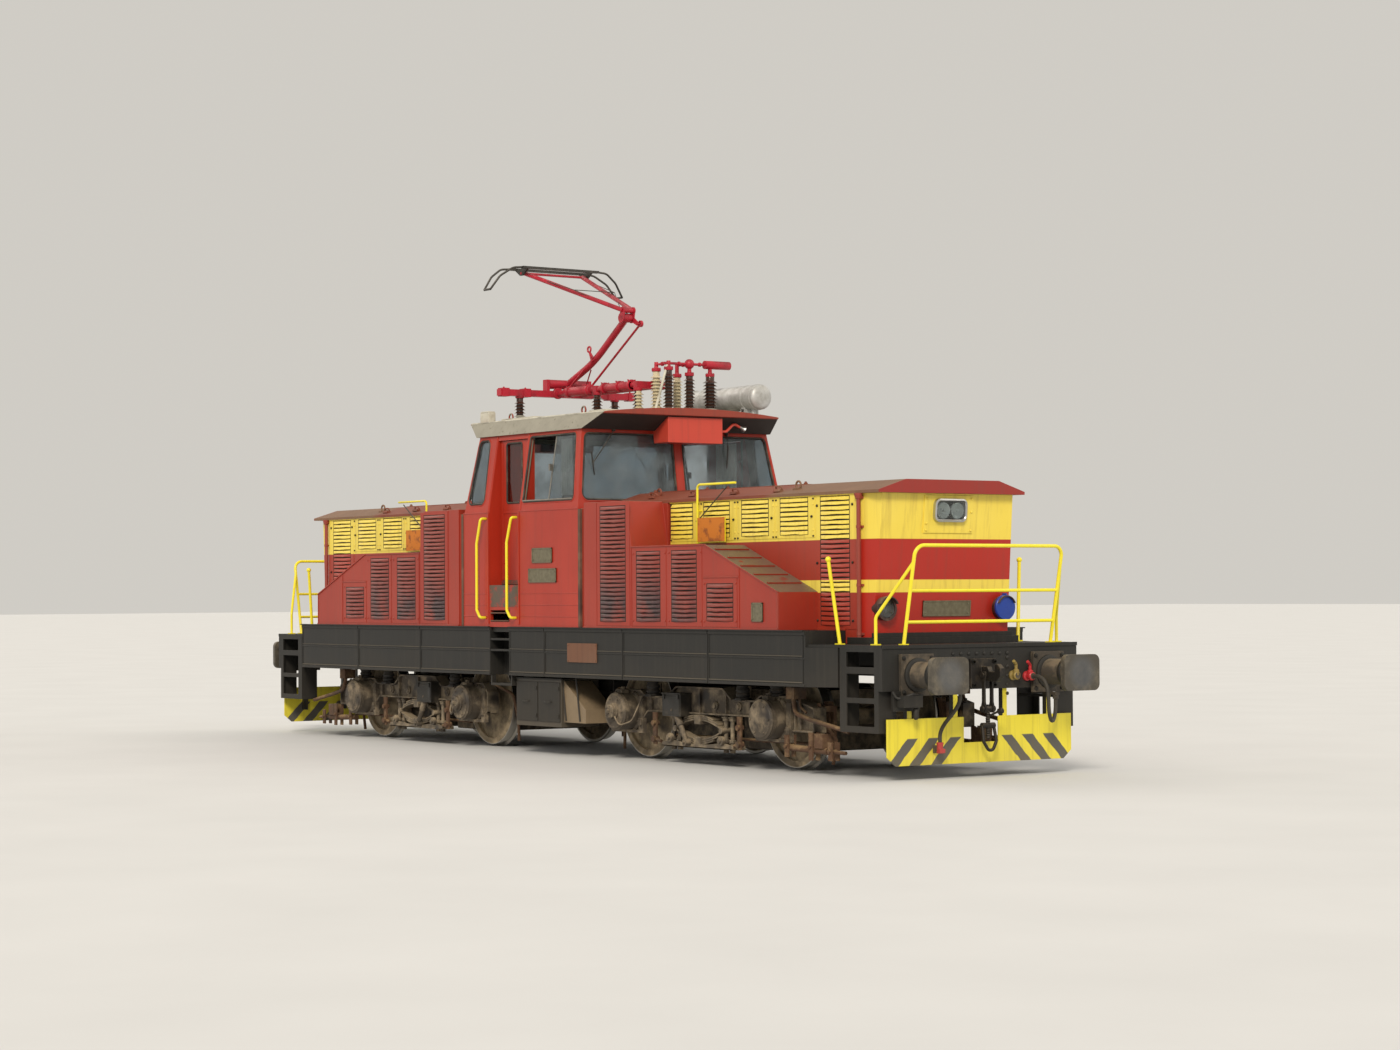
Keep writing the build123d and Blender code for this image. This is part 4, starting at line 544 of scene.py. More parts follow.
# Underframe and skirts: folded steel sheet, brush-painted black and gone grey-brown with dust.
# Each skirt is a row of panels with butt joints, an angle along the top and a lip at the foot.
def weathered(material, colour, dust_top=1.9, dust="84705C", streak="4B352B", chip="4A2C22", worn=0.5):
    """Paint after years outdoors: rain streaks, dust that thickens towards the foot, chips down to old
    primer. Returns the colour and a mask of what is matt."""
    place = add(material, "TexCoord", {})["Object"]
    height = add(material, "SeparateXYZ", {0: place})["Z"]
    drawn = add(material, "Mapping", {"Vector": place, "Scale": (1, 1, 0.05)})[0]
    runs = add(material, "TexNoise", {"Vector": drawn, "Scale": across(55), "Detail": 5,
                                      "Roughness": 0.6})["Fac"]
    cloud = add(material, "TexNoise", {"Vector": place, "Scale": across(700), "Detail": 6,
                                       "Roughness": 0.6})["Fac"]
    flakes = add(material, "TexNoise", {"Vector": place, "Scale": across(60), "Detail": 8,
                                        "Roughness": 0.7})["Fac"]
    streaked = add(material, "MapRange", {**scaled(runs, 0.50, 0.78), "To Max": 0.75 * worn})[0]
    uneven = add(material, "Math", {0: cloud, 1: 1.3, 2: height}, operation="MULTIPLY_ADD")[0]
    dusted = add(material, "MapRange", {**scaled(uneven, dust_top + 0.75, dust_top - 0.25),
                                        "To Max": 0.9 * worn})[0]
    chipped = add(material, "MapRange", scaled(flakes, 0.735 - 0.05 * worn, 0.75 - 0.05 * worn))[0]
    colour = blend(material, streaked, colour, streak)
    colour = blend(material, dusted, colour, dust)
    return blend(material, chipped, colour, chip), dusted


def coat(material, colour, gloss=0.45, wave=0.004, **wear):
    """Painted sheet steel, slightly wavy between its welds, glossy where it is clean and matt under dust."""
    place = add(material, "TexCoord", {})["Object"]
    colour, matt = weathered(material, colour, **wear)
    dull = add(material, "MapRange", {"Value": matt, "To Min": gloss, "To Max": 0.85})[0]
    buckles = add(material, "TexNoise", {"Vector": place, "Scale": across(520), "Detail": 2})["Fac"]
    grain = add(material, "TexNoise", {"Vector": place, "Scale": across(6), "Detail": 2})["Fac"]
    waves = add(material, "Bump", {"Strength": 1.0, "Distance": wave, "Height": buckles})[0]
    skin = add(material, "Bump", {"Strength": 0.3, "Distance": 0.0008, "Height": grain, "Normal": waves})[0]
    add(material, "BsdfPrincipled", {"Base Color": colour, "Roughness": dull, "Normal": skin})
    return material


def painted(name, colour, **finish):
    """A new coat of paint in one colour."""
    return coat(new_material(name), colour, **finish)


black_paint = painted("grey_black_chassis_paint", "191917", gloss=0.6, dust_top=1.12, dust="463F35",
                      streak="35302A", worn=0.5)
for node in ("underframe", "side_skirts", "end_beams", "corner_steps", "door_steps"):
    dress(node, black_paint)


def on_body(name, places, build, material, edge=0.0, smooth=38):
    """A piece of the fixed body, built in one place and copied to the other places."""
    mesh = bmesh.new()
    build(mesh)
    repeat(mesh, places)
    return make_piece(mesh, name, "locomotive", material, edge, smooth)


side_y = -1.47
skirt_foot, skirt_head = 0.925, 1.5
step_bay = -0.67
skirt_joints = [-5.61, -4.02, -2.38, step_bay, -0.24, 0.56, 2.22, 3.88, 5.58]
skirt_panels = [(start, end) for start, end in zip(skirt_joints, skirt_joints[1:]) if start != step_bay]


def build_skirt_strips(mesh):
    for start, end in skirt_panels:
        add_block(mesh, (start + 0.006, side_y - 0.006, skirt_foot),
                  (start + 0.02, side_y, skirt_head - 0.05))
        add_block(mesh, (end - 0.02, side_y - 0.006, skirt_foot), (end - 0.006, side_y, skirt_head - 0.05))
    for start, end in ((-5.62, -0.68), (-0.23, 5.60)):
        add_block(mesh, (start, side_y - 0.03, skirt_head - 0.006), (end, side_y, skirt_head + 0.006))


on_body("skirt_strips", OTHER_END, build_skirt_strips, black_paint, 0.002)


# Two flat ribs run along the skirt's plates, in a lighter grey than the skirt.
def build_skirt_ribs(mesh):
    for start, end in skirt_panels:
        for low, thick in ((0.965, 0.012), (1.236, 0.010)):
            add_block(mesh, (start + 0.02, side_y - 0.007, low), (end - 0.02, side_y, low + thick))


light_rib_paint = painted("light_grey_skirt_rib_paint", "45423C", gloss=0.8, dust_top=1.4, dust="6A6254", worn=0.8)
on_body("skirt_ribs", OTHER_END, build_skirt_ribs, light_rib_paint, 0.002)

# The rusted plate screwed on the skirt beside the step bay. It is left blank.
rust_plate = painted("rusty_brown_plate", "6E4A36", gloss=0.7, dust_top=1.1, worn=0.7)


def build_skirt_plate(mesh):
    add_block(mesh, (1.07, side_y - 0.012, 1.105), (1.69, side_y, 1.325))
    for x in (1.09, 1.67):
        for z in (1.125, 1.305):
            add_turned(mesh, [(0.012, 0), (0.012, 0.004), (0.006, 0.008)], (x, side_y - 0.012, z), NEAR, 8)


on_body("skirt_plates", OTHER_END, build_skirt_plate, rust_plate, 0.003)


# Buffer beam fittings: round-headed rivets over the hook, bolts round each buffer base and a bolted
# dummy coupling bracket under the near buffer. All are steel under the black paint.
beam_x = 6.65
buffer_y, buffer_z = -0.875, 1.06
rivet_head = [(0.02, 0), (0.018, 0.008), (0.010, 0.014), (0.003, 0.016)]
hexagon = [(0.024, 0), (0.024, 0.014), (0.014, 0.016), (0.014, 0.028)]


def build_beam_fittings(mesh):
    rivets = [(-0.38 + 0.103 * step, 1.262) for step in range(8)]
    rivets += [(0.34, 1.215 - 0.092 * step) for step in range(5)]
    for y, z in rivets:
        add_turned(mesh, rivet_head, (beam_x, y, z), AHEAD, 10)
    for side in (-1, 1):
        for y in (-0.18, 0.18):
            for z in (-0.17, 0.17):
                add_turned(mesh, hexagon, (beam_x + 0.04, side * buffer_y + y, buffer_z + z), AHEAD, 6)
        ring = (beam_x + 0.04, side * buffer_y, buffer_z)
        add_turned(mesh, [(0.175, 0), (0.172, 0.02), (0.14, 0.035)], ring, AHEAD, 32)
        add_turned(mesh, [(0.142, 0), (0.147, 0.006), (0.147, 0.04), (0.14, 0.046)],
                   (ring[0] + 0.275, ring[1], ring[2]), AHEAD, 32)
        for y, z in ((-0.14, 0.12), (0.14, 0.12), (-0.14, -0.12), (0.14, -0.12)):
            add_turned(mesh, hexagon, (beam_x + 0.03, y, buffer_z + z), AHEAD, 6)
    add_block(mesh, (beam_x - 0.01, -1.30, 1.325), (beam_x + 0.012, 1.30, 1.362))
    add_block(mesh, (beam_x - 0.01, -1.18, 0.70), (beam_x + 0.03, -0.84, 0.90))
    add_block(mesh, (beam_x + 0.03, -1.14, 0.74), (beam_x + 0.15, -0.90, 0.86))
    add_tube(mesh, rounded([(beam_x + 0.03, -1.19, 0.9), (beam_x + 0.06, -1.16, 0.82),
                            (beam_x + 0.16, -1.02, 0.88), (beam_x + 0.10, -0.86, 0.86)], 0.05), 0.014, 8)
    add_turned(mesh, [(0.02, 0), (0.03, 0.02), (0.03, 0.10), (0.014, 0.12)], (beam_x + 0.10, -0.95, 0.735),
               (0, 0, -1), 10)


on_body("beam_fittings", OTHER_END, build_beam_fittings, black_paint, 0.002)


# Side buffers: cast housings and forged plungers. The heads are rubbed to dull grey steel on the face
# and greasy brown round it.
greasy_iron, _ = dusty_metal("greasy_cast_iron", "403A32", "6B5F4E", "211E1A", 0.45, 0.65)
dress("buffer_housings", greasy_iron, edge=0.008)
head_steel, head_colour = dusty_metal("rubbed_buffer_steel", "4E4A43", "6E675A", "2A2723", 0.5, 0.6, 0.3)
head_place = add(head_steel, "SeparateXYZ", {0: add(head_steel, "TexCoord", {})["Object"]})
off_middle = add(head_steel, "Math", {0: head_place["Y"]}, operation="ABSOLUTE")[0]
beside = add(head_steel, "Math", {0: off_middle, 1: -buffer_y}, operation="SUBTRACT")[0]
above = add(head_steel, "Math", {0: head_place["Z"], 1: buffer_z}, operation="SUBTRACT")[0]
on_face = add(head_steel, "CombineXYZ", {"X": beside, "Y": above})[0]
from_middle = add(head_steel, "VectorMath", {0: on_face}, operation="LENGTH")["Value"]
rubbed_face = add(head_steel, "MapRange", {**scaled(from_middle, 0.20, 0.11), "To Max": 0.55})[0]
add(head_steel, "BsdfPrincipled", {"Base Color": blend(head_steel, rubbed_face, head_colour, "5F6266"),
                                   "Roughness": 0.6})
dress("buffer_heads", head_steel, edge=0.012, segments=3)


# Draw hook and screw coupling: forged steel, black with oil and bright where links rub.
# The coupling hangs down from the hook: two links, a screw with its weighted lever, and the loose shackle.
oily_forging, _ = dusty_metal("oily_black_forging", "2B2825", "51483C", "191715", 0.4, 0.5, 0.5)
dress("draw_hooks", oily_forging, edge=0.008)
coupling_x = beam_x + 0.09
coupling_top, coupling_nut, coupling_end = 1.04, 0.70, 0.53


def build_coupling(mesh):
    add_turned(mesh, [(0.018, 0), (0.018, 0.144)], (coupling_x, -0.072, coupling_top), FAR, 14)
    for side in (-1, 1):
        add_turned(mesh, [(0.03, 0), (0.03, 0.014)], (coupling_x, side * 0.072 - 0.007, coupling_top), FAR,
                   14)
        flat = [(-0.042, 0), (-0.03, 0.04), (0.03, 0.04), (0.042, 0), (0.02, -0.08), (0.022, -0.27),
                (0.042, -0.34), (0.03, -0.38), (-0.03, -0.38), (-0.042, -0.34), (-0.022, -0.27),
                (-0.02, -0.08)]
        outline = [(coupling_x + u, coupling_top + w) for u, w in flat]
        add_plate(mesh, outline, "xz", side * 0.052 - 0.011, 0.022)
    add_turned(mesh, [(0.032, 0), (0.032, 0.17)], (coupling_x, -0.085, coupling_nut), FAR, 16)
    screw = [(0.02 + 0.006 * (step % 2), -0.06 + 0.012 * step) for step in range(30)]
    add_turned(mesh, screw, (coupling_x, 0, coupling_nut - 0.245), UP, 16)
    add_turned(mesh, [(0.03, 0), (0.03, 0.17)], (coupling_x, -0.085, coupling_end), FAR, 16)
    shackle = [(coupling_x, -0.075, coupling_end), (coupling_x + 0.03, -0.085, coupling_end - 0.16),
               (coupling_x + 0.04, -0.03, coupling_end - 0.25)]
    shackle += [(x, -y, z) for x, y, z in reversed(shackle)]
    add_tube(mesh, rounded(shackle, 0.05), 0.017, 12)
    add_tube(mesh, [(coupling_x, 0, coupling_nut - 0.08), (coupling_x + 0.12, 0.05, coupling_nut - 0.02)],
             0.012, 10)
    add_turned(mesh, [(0.012, 0), (0.03, 0.01), (0.03, 0.06), (0.012, 0.07)],
               (coupling_x + 0.10, 0.045, coupling_nut - 0.03), (1, 0.35, 0.3), 14)


links = on_body("screw_coupling_parts", OTHER_END, build_coupling, oily_forging, 0.003)
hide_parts("screw_couplings")


# Brake cocks: cast iron cocks on the beam, two painted red, which feed the hoses, and a capped ochre one.
# The coupling head of the near hose is red too and sits in a hook on the plough.
dress("brake_hoses", greasy_iron, edge=0.002)
red_cock = painted("red_cock_paint", "B3262E", gloss=0.35, dust_top=0.9, worn=0.3)
ochre_cock = painted("ochre_cock_paint", "8E7A3E", gloss=0.5, dust_top=0.9, worn=0.5)


def build_cock(mesh, y, z, reach):
    profile = [(0.051, 0), (0.051, 0.022), (0.036, 0.03), (0.036, 0.06), (0.045, 0.07),
               (0.045, reach - 0.012), (0.036, reach - 0.002)]
    add_turned(mesh, profile, (beam_x, y, z), AHEAD, 18)
    add_turned(mesh, [(0.032, 0), (0.032, 0.055), (0.019, 0.065)], (beam_x + 0.06, y, z), UP, 12)
    add_tube(mesh, rounded([(beam_x + 0.06, y, z + 0.05), (beam_x + 0.06, y, z + 0.115),
                            (beam_x + 0.085, y - 0.055, z + 0.15)], 0.02), 0.017, 10)


# name, side, height, reach, paint
cocks = [
    ("far_cocks", 0.60, 1.02, 0.11, red_cock),
    ("near_cocks", -0.56, 1.02, 0.11, red_cock),
    ("capped_cocks", 0.41, 1.03, 0.09, ochre_cock),
]
for name, y, z, reach, paint in cocks:
    cock = bmesh.new()
    build_cock(cock, y, z, reach)
    if name == "near_cocks":
        head = [(0.034, 0), (0.036, 0.02), (0.032, 0.03), (0.032, 0.085), (0.036, 0.095), (0.036, 0.112)]
        add_turned(cock, head, (6.73, -0.626, 0.267), UP, 16)
        add_block(cock, (6.735, -0.66, 0.272), (6.775, -0.592, 0.315))
    repeat(cock, OTHER_END)
    make_piece(cock, f"brake_{name}", "locomotive", paint, 0.003)


# Ploughs: welded steel blades under the beams, yellow with slanting dark grey bars. The bars were brushed
# on by hand, so their edges waver a little.
plough_yellow = new_material("yellow_and_grey_plough_paint")
plough_coordinates = add(plough_yellow, "TexCoord", {})["Object"]
plough_place = add(plough_yellow, "SeparateXYZ", {0: plough_coordinates})
plough_back = 6.6195
plough_beside = add(plough_yellow, "Math", {0: plough_place["Y"]}, operation="ABSOLUTE")[0]
slant = add(plough_yellow, "Math", {0: plough_place["Z"], 1: 0.95, 2: plough_beside},
            operation="MULTIPLY_ADD")[0]
hand = add(plough_yellow, "TexNoise", {"Vector": plough_coordinates, "Scale": across(120),
                                       "Detail": 3})["Fac"]
wobbled = add(plough_yellow, "Math", {0: hand, 1: 0.04, 2: slant}, operation="MULTIPLY_ADD")[0]
turns = add(plough_yellow, "Math", {0: wobbled, 1: 3.57, 2: -2.214}, operation="MULTIPLY_ADD")[0]
share_of_turn = add(plough_yellow, "Math", {0: turns}, operation="FRACT")[0]
past_bar = add(plough_yellow, "Math", {0: share_of_turn, 1: 0.5}, operation="SUBTRACT")[0]
off_bar = add(plough_yellow, "Math", {0: past_bar}, operation="ABSOLUTE")[0]
bars = add(plough_yellow, "MapRange", scaled(off_bar, 0.26, 0.24))[0]
past_second = add(plough_yellow, "Math", {0: turns, 1: 1.5}, operation="SUBTRACT")[0]
off_second = add(plough_yellow, "Math", {0: past_second}, operation="ABSOLUTE")[0]
one_of_three = add(plough_yellow, "Math", {0: off_second, 1: 1.5}, operation="LESS_THAN")[0]
bars = add(plough_yellow, "Math", {0: bars, 1: one_of_three}, operation="MULTIPLY")[0]
low_enough = add(plough_yellow, "MapRange", scaled(plough_place["Z"], 0.425, 0.415))[0]
barred = add(plough_yellow, "Math", {0: bars, 1: low_enough}, operation="MULTIPLY")[0]
plough_along = add(plough_yellow, "Math", {0: plough_place["X"]}, operation="ABSOLUTE")[0]
behind = add(plough_yellow, "Math", {0: plough_along, 1: plough_back}, operation="LESS_THAN")[0]
barred_yellow = blend(plough_yellow, barred, "E3D43C", "55544F")
coat(plough_yellow, blend(plough_yellow, behind, barred_yellow, "26251F"), gloss=0.5, dust_top=0.35,
     dust="8B7E5C", streak="6A5C30", worn=0.45)
dress("ploughs", plough_yellow, edge=0.003)


# End railings and grab handles: bent steel tube, painted a bright yellow that is renewed often. Small chips
# show the grey-brown steel.
rail_yellow = painted("bright_yellow_rail_paint", "EBDD2E", gloss=0.3, wave=0.0, dust_top=0.9,
                      streak="A8962C", chip="6B604A", worn=0.3)
for node in ("end_railings", "handrails"):
    dress(node, rail_yellow, edge=0.002)


# Hoods: welded boxes of 3 mm sheet over the machinery, brick red that has chalked, with a yellow band along
# the top and a yellow stripe round each end. The end is painted a stronger red than the sides.
def hood_paint(name, shade_and_soot):
    """Red with a yellow band and a stripe near the ends. The sooty kind has darker reds, partly dirt and
    partly painted shade between the slats, and soot blackens its grilles beside the cab.
    """
    material = new_material(name)
    place = add(material, "TexCoord", {})["Object"]
    where = add(material, "SeparateXYZ", {0: place})
    along = add(material, "Math", {0: where["X"]}, operation="ABSOLUTE")[0]
    bleached = add(material, "TexNoise", {"Vector": place, "Scale": across(1100), "Detail": 4})["Fac"]
    on_end = add(material, "MapRange", scaled(along, 5.84, 5.86))[0]
    # The darker reds of the sooty kind are partly dirt and partly painted shade between the slats.
    reds = ("701C14", "87301F") if shade_and_soot else ("8F2416", "A83E2A")
    red = blend(material, on_end, blend(material, bleached, *reds), "AA2214")
    limits = {"band": (where["Z"], 2.438, 2.442), "past_box": (along, 2.415, 2.417),
              "over": (where["Z"], 1.888, 1.892), "under": (where["Z"], 2.022, 2.018),
              "end": (along, 4.60, 4.602)}
    mask = {key: add(material, "MapRange", scaled(*limit))[0] for key, limit in limits.items()}
    band = add(material, "Math", {0: mask["band"], 1: mask["past_box"]}, operation="MULTIPLY")[0]
    height = add(material, "Math", {0: mask["over"], 1: mask["under"]}, operation="MULTIPLY")[0]
    stripe = add(material, "Math", {0: height, 1: mask["end"]}, operation="MULTIPLY")[0]
    share = add(material, "Math", {0: band, 1: stripe}, operation="MAXIMUM")[0]
    colour = blend(material, share, red, blend(material, bleached, "E9CF3E", "EBD766"))
    if shade_and_soot:
        puffs = add(material, "TexNoise", {"Vector": place, "Scale": across(450), "Detail": 4})["Fac"]
        low = add(material, "MapRange", scaled(where["Z"], 2.15, 1.80))[0]
        inboard = add(material, "MapRange", scaled(along, 3.8, 3.55))[0]
        thick = add(material, "MapRange", {**scaled(puffs, 0.34, 0.54), "To Max": 0.9})[0]
        spot = add(material, "Math", {0: low, 1: inboard}, operation="MULTIPLY")[0]
        colour = blend(material, add(material, "Math", {0: spot, 1: thick}, operation="MULTIPLY")[0], colour,
                       "2E2228")
    return coat(material, colour, gloss=0.42, wave=0.006, dust_top=1.25, dust="7E5A4A", streak="6E3A2C",
                worn=0.42)


hood_red = hood_paint("chalked_red_and_yellow_paint", False)
dress("hoods", hood_red, edge=0.006)
hood_y = -0.95
band_foot, hood_foot, hood_head = 2.468, 1.51, 2.902
door_rows = [(2.42, 3.006), (3.012, 3.698), (3.704, 4.399), (4.405, 5.107)]
# The grilles in the hood side: start, end, foot, head and number of slats
hood_grilles = [(2.42, 2.867, 2.5, 2.896, 8), (3.067, 3.573, 2.5, 2.896, 8), (3.785, 4.291, 2.5, 2.896, 8),
                (4.489, 4.991, 2.5, 2.896, 8)]
tall_grille = (5.195, 5.7, 1.55, 2.896, 27)


def frame_plate(mesh, start, end, foot, head, grille, y, proud):
    """A flat door of thin plate round its grille: two posts and two rails."""
    left, right, low, high, _ = grille
    posts_and_rails = [(start, left, foot, head), (right, end, foot, head), (left, right, foot, low),
                       (left, right, high, head)]
    for a, b, c, d in posts_and_rails:
        if b - a > 0.002 and d - c > 0.002:
            add_block(mesh, (a, y - proud, c), (b, y, d))


def build_hood_doors(mesh):
    for (start, end), grille in zip(door_rows, hood_grilles):
        frame_plate(mesh, start, end, band_foot, hood_head, grille, hood_y, 0.005)
        for x in (start + 0.03, end - 0.03):
            for z in (2.82, 2.55) if abs(x - grille[0]) > 0.03 else ():
                add_turned(mesh, [(0.012, 0), (0.012, 0.004), (0.006, 0.007)], (x, hood_y - 0.005, z), NEAR,
                           8)
    frame_plate(mesh, 5.113, 5.80, hood_foot, hood_head, tall_grille, hood_y, 0.005)
    # seam down the corner, the gutter under the roof and the angle along the deck
    add_block(mesh, (5.80, hood_y - 0.004, 1.372), (5.812, hood_y, 2.905))
    add_block(mesh, (2.4, hood_y - 0.012, hood_head), (5.82, hood_y, hood_head + 0.01))
    add_block(mesh, (5.15, hood_y - 0.02, 1.498), (5.61, hood_y, 1.52))


on_body("hood_doors", OTHER_CORNERS, build_hood_doors, hood_red, 0.0015)


# Catches and hinges of the hood doors: small forged steel parts along the upper and lower edges, black with
# old grease, and a turning latch halfway up each door.
def build_catches(mesh):
    for start, end in door_rows:
        for x in (start + 0.012, end - 0.035):
            for z in (2.478, 2.87):
                add_block(mesh, (x, hood_y - 0.014, z), (x + 0.022, hood_y - 0.004, z + 0.016))
        add_turned(mesh, [(0.014, 0), (0.014, 0.01), (0.007, 0.02)], (end - 0.05, hood_y - 0.005, 2.69), NEAR,
                   10)
    for x in (5.15, 5.75):
        for z in (1.6, 2.2, 2.8):
            add_turned(mesh, [(0.014, 0), (0.014, 0.01), (0.007, 0.016)], (x, hood_y - 0.005, z), NEAR, 10)


on_body("hood_catches", OTHER_CORNERS, build_catches, oily_forging, 0.0015)


# Air grilles: pressed sheet slats, each a little bent by hand and by ladders. They are painted with the panel
# they sit in, except that the slats on the boxes are a darker red, partly dirt and partly painted shade
# between the slats. Oil mist and soot have blackened the ones low down beside the cab.
shaded_sooty_paint = hood_paint("shaded_sooty_red_and_yellow_paint", True)
# The grilles on the side boxes: start, end, foot, head and number of slats
box_grilles = [(1.76, 2.29, 1.575, 2.88, 27), (2.5, 2.98, 1.58, 2.36, 16), (3.19, 3.68, 1.58, 2.36, 16),
               (3.86, 4.355, 1.59, 1.995, 8)]
slat_proud = 0.016
grille_depth = 0.003
# wall, its paint, its place across the locomotive, its grilles
grille_walls = [
    ("hood", hood_red, hood_y, hood_grilles + [tall_grille]),
    ("box", shaded_sooty_paint, side_y, box_grilles),
]


def add_slat(mesh, start, end, z, pitch, y):
    """One pressed slat: it stands out most at its lower lip and runs flat into the plate at both ends."""
    sag = [0.0] + [chance.uniform(-0.004, 0.004) for _ in range(4)] + [0.0]
    rings = []
    for step in range(6):
        out = slat_proud * (0.12 if step in (0, 5) else 1.0)
        x = start + (end - start) * (step / 5)
        low = z + sag[step]
        rings.append([(x, y, z + 0.72 * pitch), (x, y - 0.35 * out, z + 0.62 * pitch),
                      (x, y - out, low + 0.10 * pitch), (x, y - out, low),
                      (x, y - 0.2 * out, low + 0.03 * pitch)])
    add_rings(mesh, rings)


for wall, paint, y, grilles in grille_walls:
    slats = bmesh.new()
    for start, end, foot, head, count in grilles:
        pitch = (head - foot) / count
        for number in range(count):
            add_slat(slats, start + 0.012, end - 0.012, foot + number * pitch + 0.1 * pitch, pitch,
                     y - grille_depth)
    repeat(slats, OTHER_CORNERS)
    piece = make_piece(slats, f"{wall}_slats", "locomotive", paint, smooth=50)
    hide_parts(f"{wall}_louvres")

# Behind the slats a black panel is painted shade: it stands for the dark inside of the grille that shows
# between them.
painted_shade_backing, _ = dusty_metal("black_painted_shade_backing", "1B1613", "3A2A22", "100D0C", 0.35, 0.85)


def build_grille_backs(mesh):
    for _, _, y, grilles in grille_walls:
        for start, end, foot, head, _ in grilles:
            add_block(mesh, (start, y - grille_depth, foot), (end, y, head))


on_body("grille_backs", OTHER_CORNERS, build_grille_backs, painted_shade_backing)


# Side boxes and tall boxes: red sheet steel with bolted doors. The sloping lids are bare tread plate, brown
# with old varnish and dust, with a step bar every 235 mm.
box_red = new_material("chalked_red_paint_and_bare_lids")
box_place = add(box_red, "TexCoord", {})["Object"]
box_cloud = add(box_red, "TexNoise", {"Vector": box_place, "Scale": across(900), "Detail": 4})["Fac"]
lid_cloud = add(box_red, "TexNoise", {"Vector": box_place, "Scale": across(260), "Detail": 6})["Fac"]
box_up = add(box_red, "SeparateXYZ", {0: add(box_red, "NewGeometry", {})["Normal"]})["Z"]
facing_up = add(box_red, "MapRange", scaled(box_up, 0.5, 0.6))[0]
left_red = add(box_red, "MapRange", scaled(lid_cloud, 0.64, 0.68))[0]
lid_brown = blend(box_red, left_red, blend(box_red, lid_cloud, "5A4A3C", "7A6856"), "84261A")
box_colour = blend(box_red, facing_up, blend(box_red, box_cloud, "8C2214", "A63A28"), lid_brown)
coat(box_red, box_colour, gloss=0.45, wave=0.006, dust_top=1.3, dust="7E5A4A", streak="6E3A2C", worn=0.42)
dress("side_boxes", box_red, edge=0.006)
dress("tall_boxes", box_red, edge=0.006)
box_doors = [(1.70, 2.37, 1.53, 2.915), (2.42, 3.09, 1.53, 2.395), (3.13, 3.775, 1.53, 2.395),
             (3.80, 4.42, 1.53, 2.055)]
lid_start, lid_head, lid_end, lid_foot = 3.84, 2.41, 5.15, 1.9
lid_slope = math.atan2(lid_foot - lid_head, lid_end - lid_start)
lid_turn = Euler((0, -lid_slope, 0)).to_matrix()


def build_box_doors(mesh):
    for (start, end, foot, head), grille in zip(box_doors, box_grilles):
        frame_plate(mesh, start, end, foot, head, grille, side_y, 0.004)
    for start, end, foot, head in box_doors[1:]:
        for x in (start + 0.02, end - 0.02):
            for z in (foot + 0.06, head - 0.06):
                add_turned(mesh, [(0.013, 0), (0.013, 0.005), (0.006, 0.008)], (x, side_y - 0.004, z), NEAR,
                           8)
    for x, head in ((1.682, 2.92), (2.398, 2.40), (4.45, 2.16), (5.138, 1.9)):
        add_block(mesh, (x, side_y - 0.006, 1.51), (x + 0.012, side_y, head))
    add_block(mesh, (3.80, side_y - 0.012, 2.055), (4.45, side_y, 2.068))
    add_block(mesh, (1.42, side_y - 0.014, 1.502), (5.15, side_y, 1.522))
    add_block(mesh, (3.79, side_y - 0.012, 2.148), (5.20, side_y + 0.004, 2.162), lid_turn)
    add_block(mesh, (2.39, side_y - 0.010, 2.405), (3.85, side_y + 0.004, 2.418))


on_body("box_doors", OTHER_CORNERS, build_box_doors, box_red, 0.0015)


def build_lid_bars(mesh):
    for step in range(5):
        x = 3.98 + 0.235 * step
        z = lid_head + (x - lid_start) * math.tan(lid_slope)
        add_block(mesh, (x - 0.012, -1.44, z - 0.006), (x + 0.012, -1.0, z + 0.016), lid_turn)


on_body("lid_step_bars", OTHER_CORNERS, build_lid_bars, box_red, 0.002)


# Hood roofs: folded sheet that sheds the rain over a gutter. Weathered grey-brown near the ends, where the
# red has worn off, and dull red beside the cab. Lifting eyes and small hatch clips stand on the slopes.
roof_tin = new_material("worn_roof_paint")
tin_place = add(roof_tin, "TexCoord", {})["Object"]
tin_where = add(roof_tin, "SeparateXYZ", {0: tin_place})
tin_along = add(roof_tin, "Math", {0: tin_where["X"]}, operation="ABSOLUTE")[0]
tin_cloud = add(roof_tin, "TexNoise", {"Vector": tin_place, "Scale": across(380), "Detail": 6})["Fac"]
tin_shift = add(roof_tin, "Math", {0: tin_cloud, 1: 0.9, 2: tin_along}, operation="MULTIPLY_ADD")[0]
bare_end = add(roof_tin, "MapRange", scaled(tin_shift, 4.75, 5.0))[0]
lip = add(roof_tin, "MapRange", scaled(tin_along, 6.205, 6.21))[0]
dull_red = blend(roof_tin, tin_cloud, "70301F", "884A33")
tin_colour = blend(roof_tin, bare_end, dull_red, blend(roof_tin, tin_cloud, "684B38", "866449"))
coat(roof_tin, blend(roof_tin, lip, tin_colour, "8E2A22"), gloss=0.6, wave=0.01, dust_top=1.0,
     streak="53403A", worn=0.35)
dress("hood_roofs", roof_tin)


def build_roof_fittings(mesh):
    for x in (1.95, 2.75, 3.55, 4.35):
        add_block(mesh, (x - 0.06, -0.90, 2.955), (x + 0.06, -0.80, 2.985), Euler((-0.35, 0, 0)).to_matrix())
        one, other = x - 0.05, x + 0.05
        eye = [(one, -0.84, 2.97), (one, -0.87, 3.03), (other, -0.87, 3.03), (other, -0.84, 2.97)]
        add_tube(mesh, rounded(eye, 0.02), 0.009, 8)
    add_block(mesh, (1.40, -0.55, 3.048), (2.55, -0.004, 3.066))
    add_block(mesh, (2.85, -0.55, 3.048), (4.40, -0.004, 3.062))
    for x in (1.45, 2.5, 2.9, 4.35):
        add_turned(mesh, hexagon, (x, -0.5, 3.062), UP, 6)


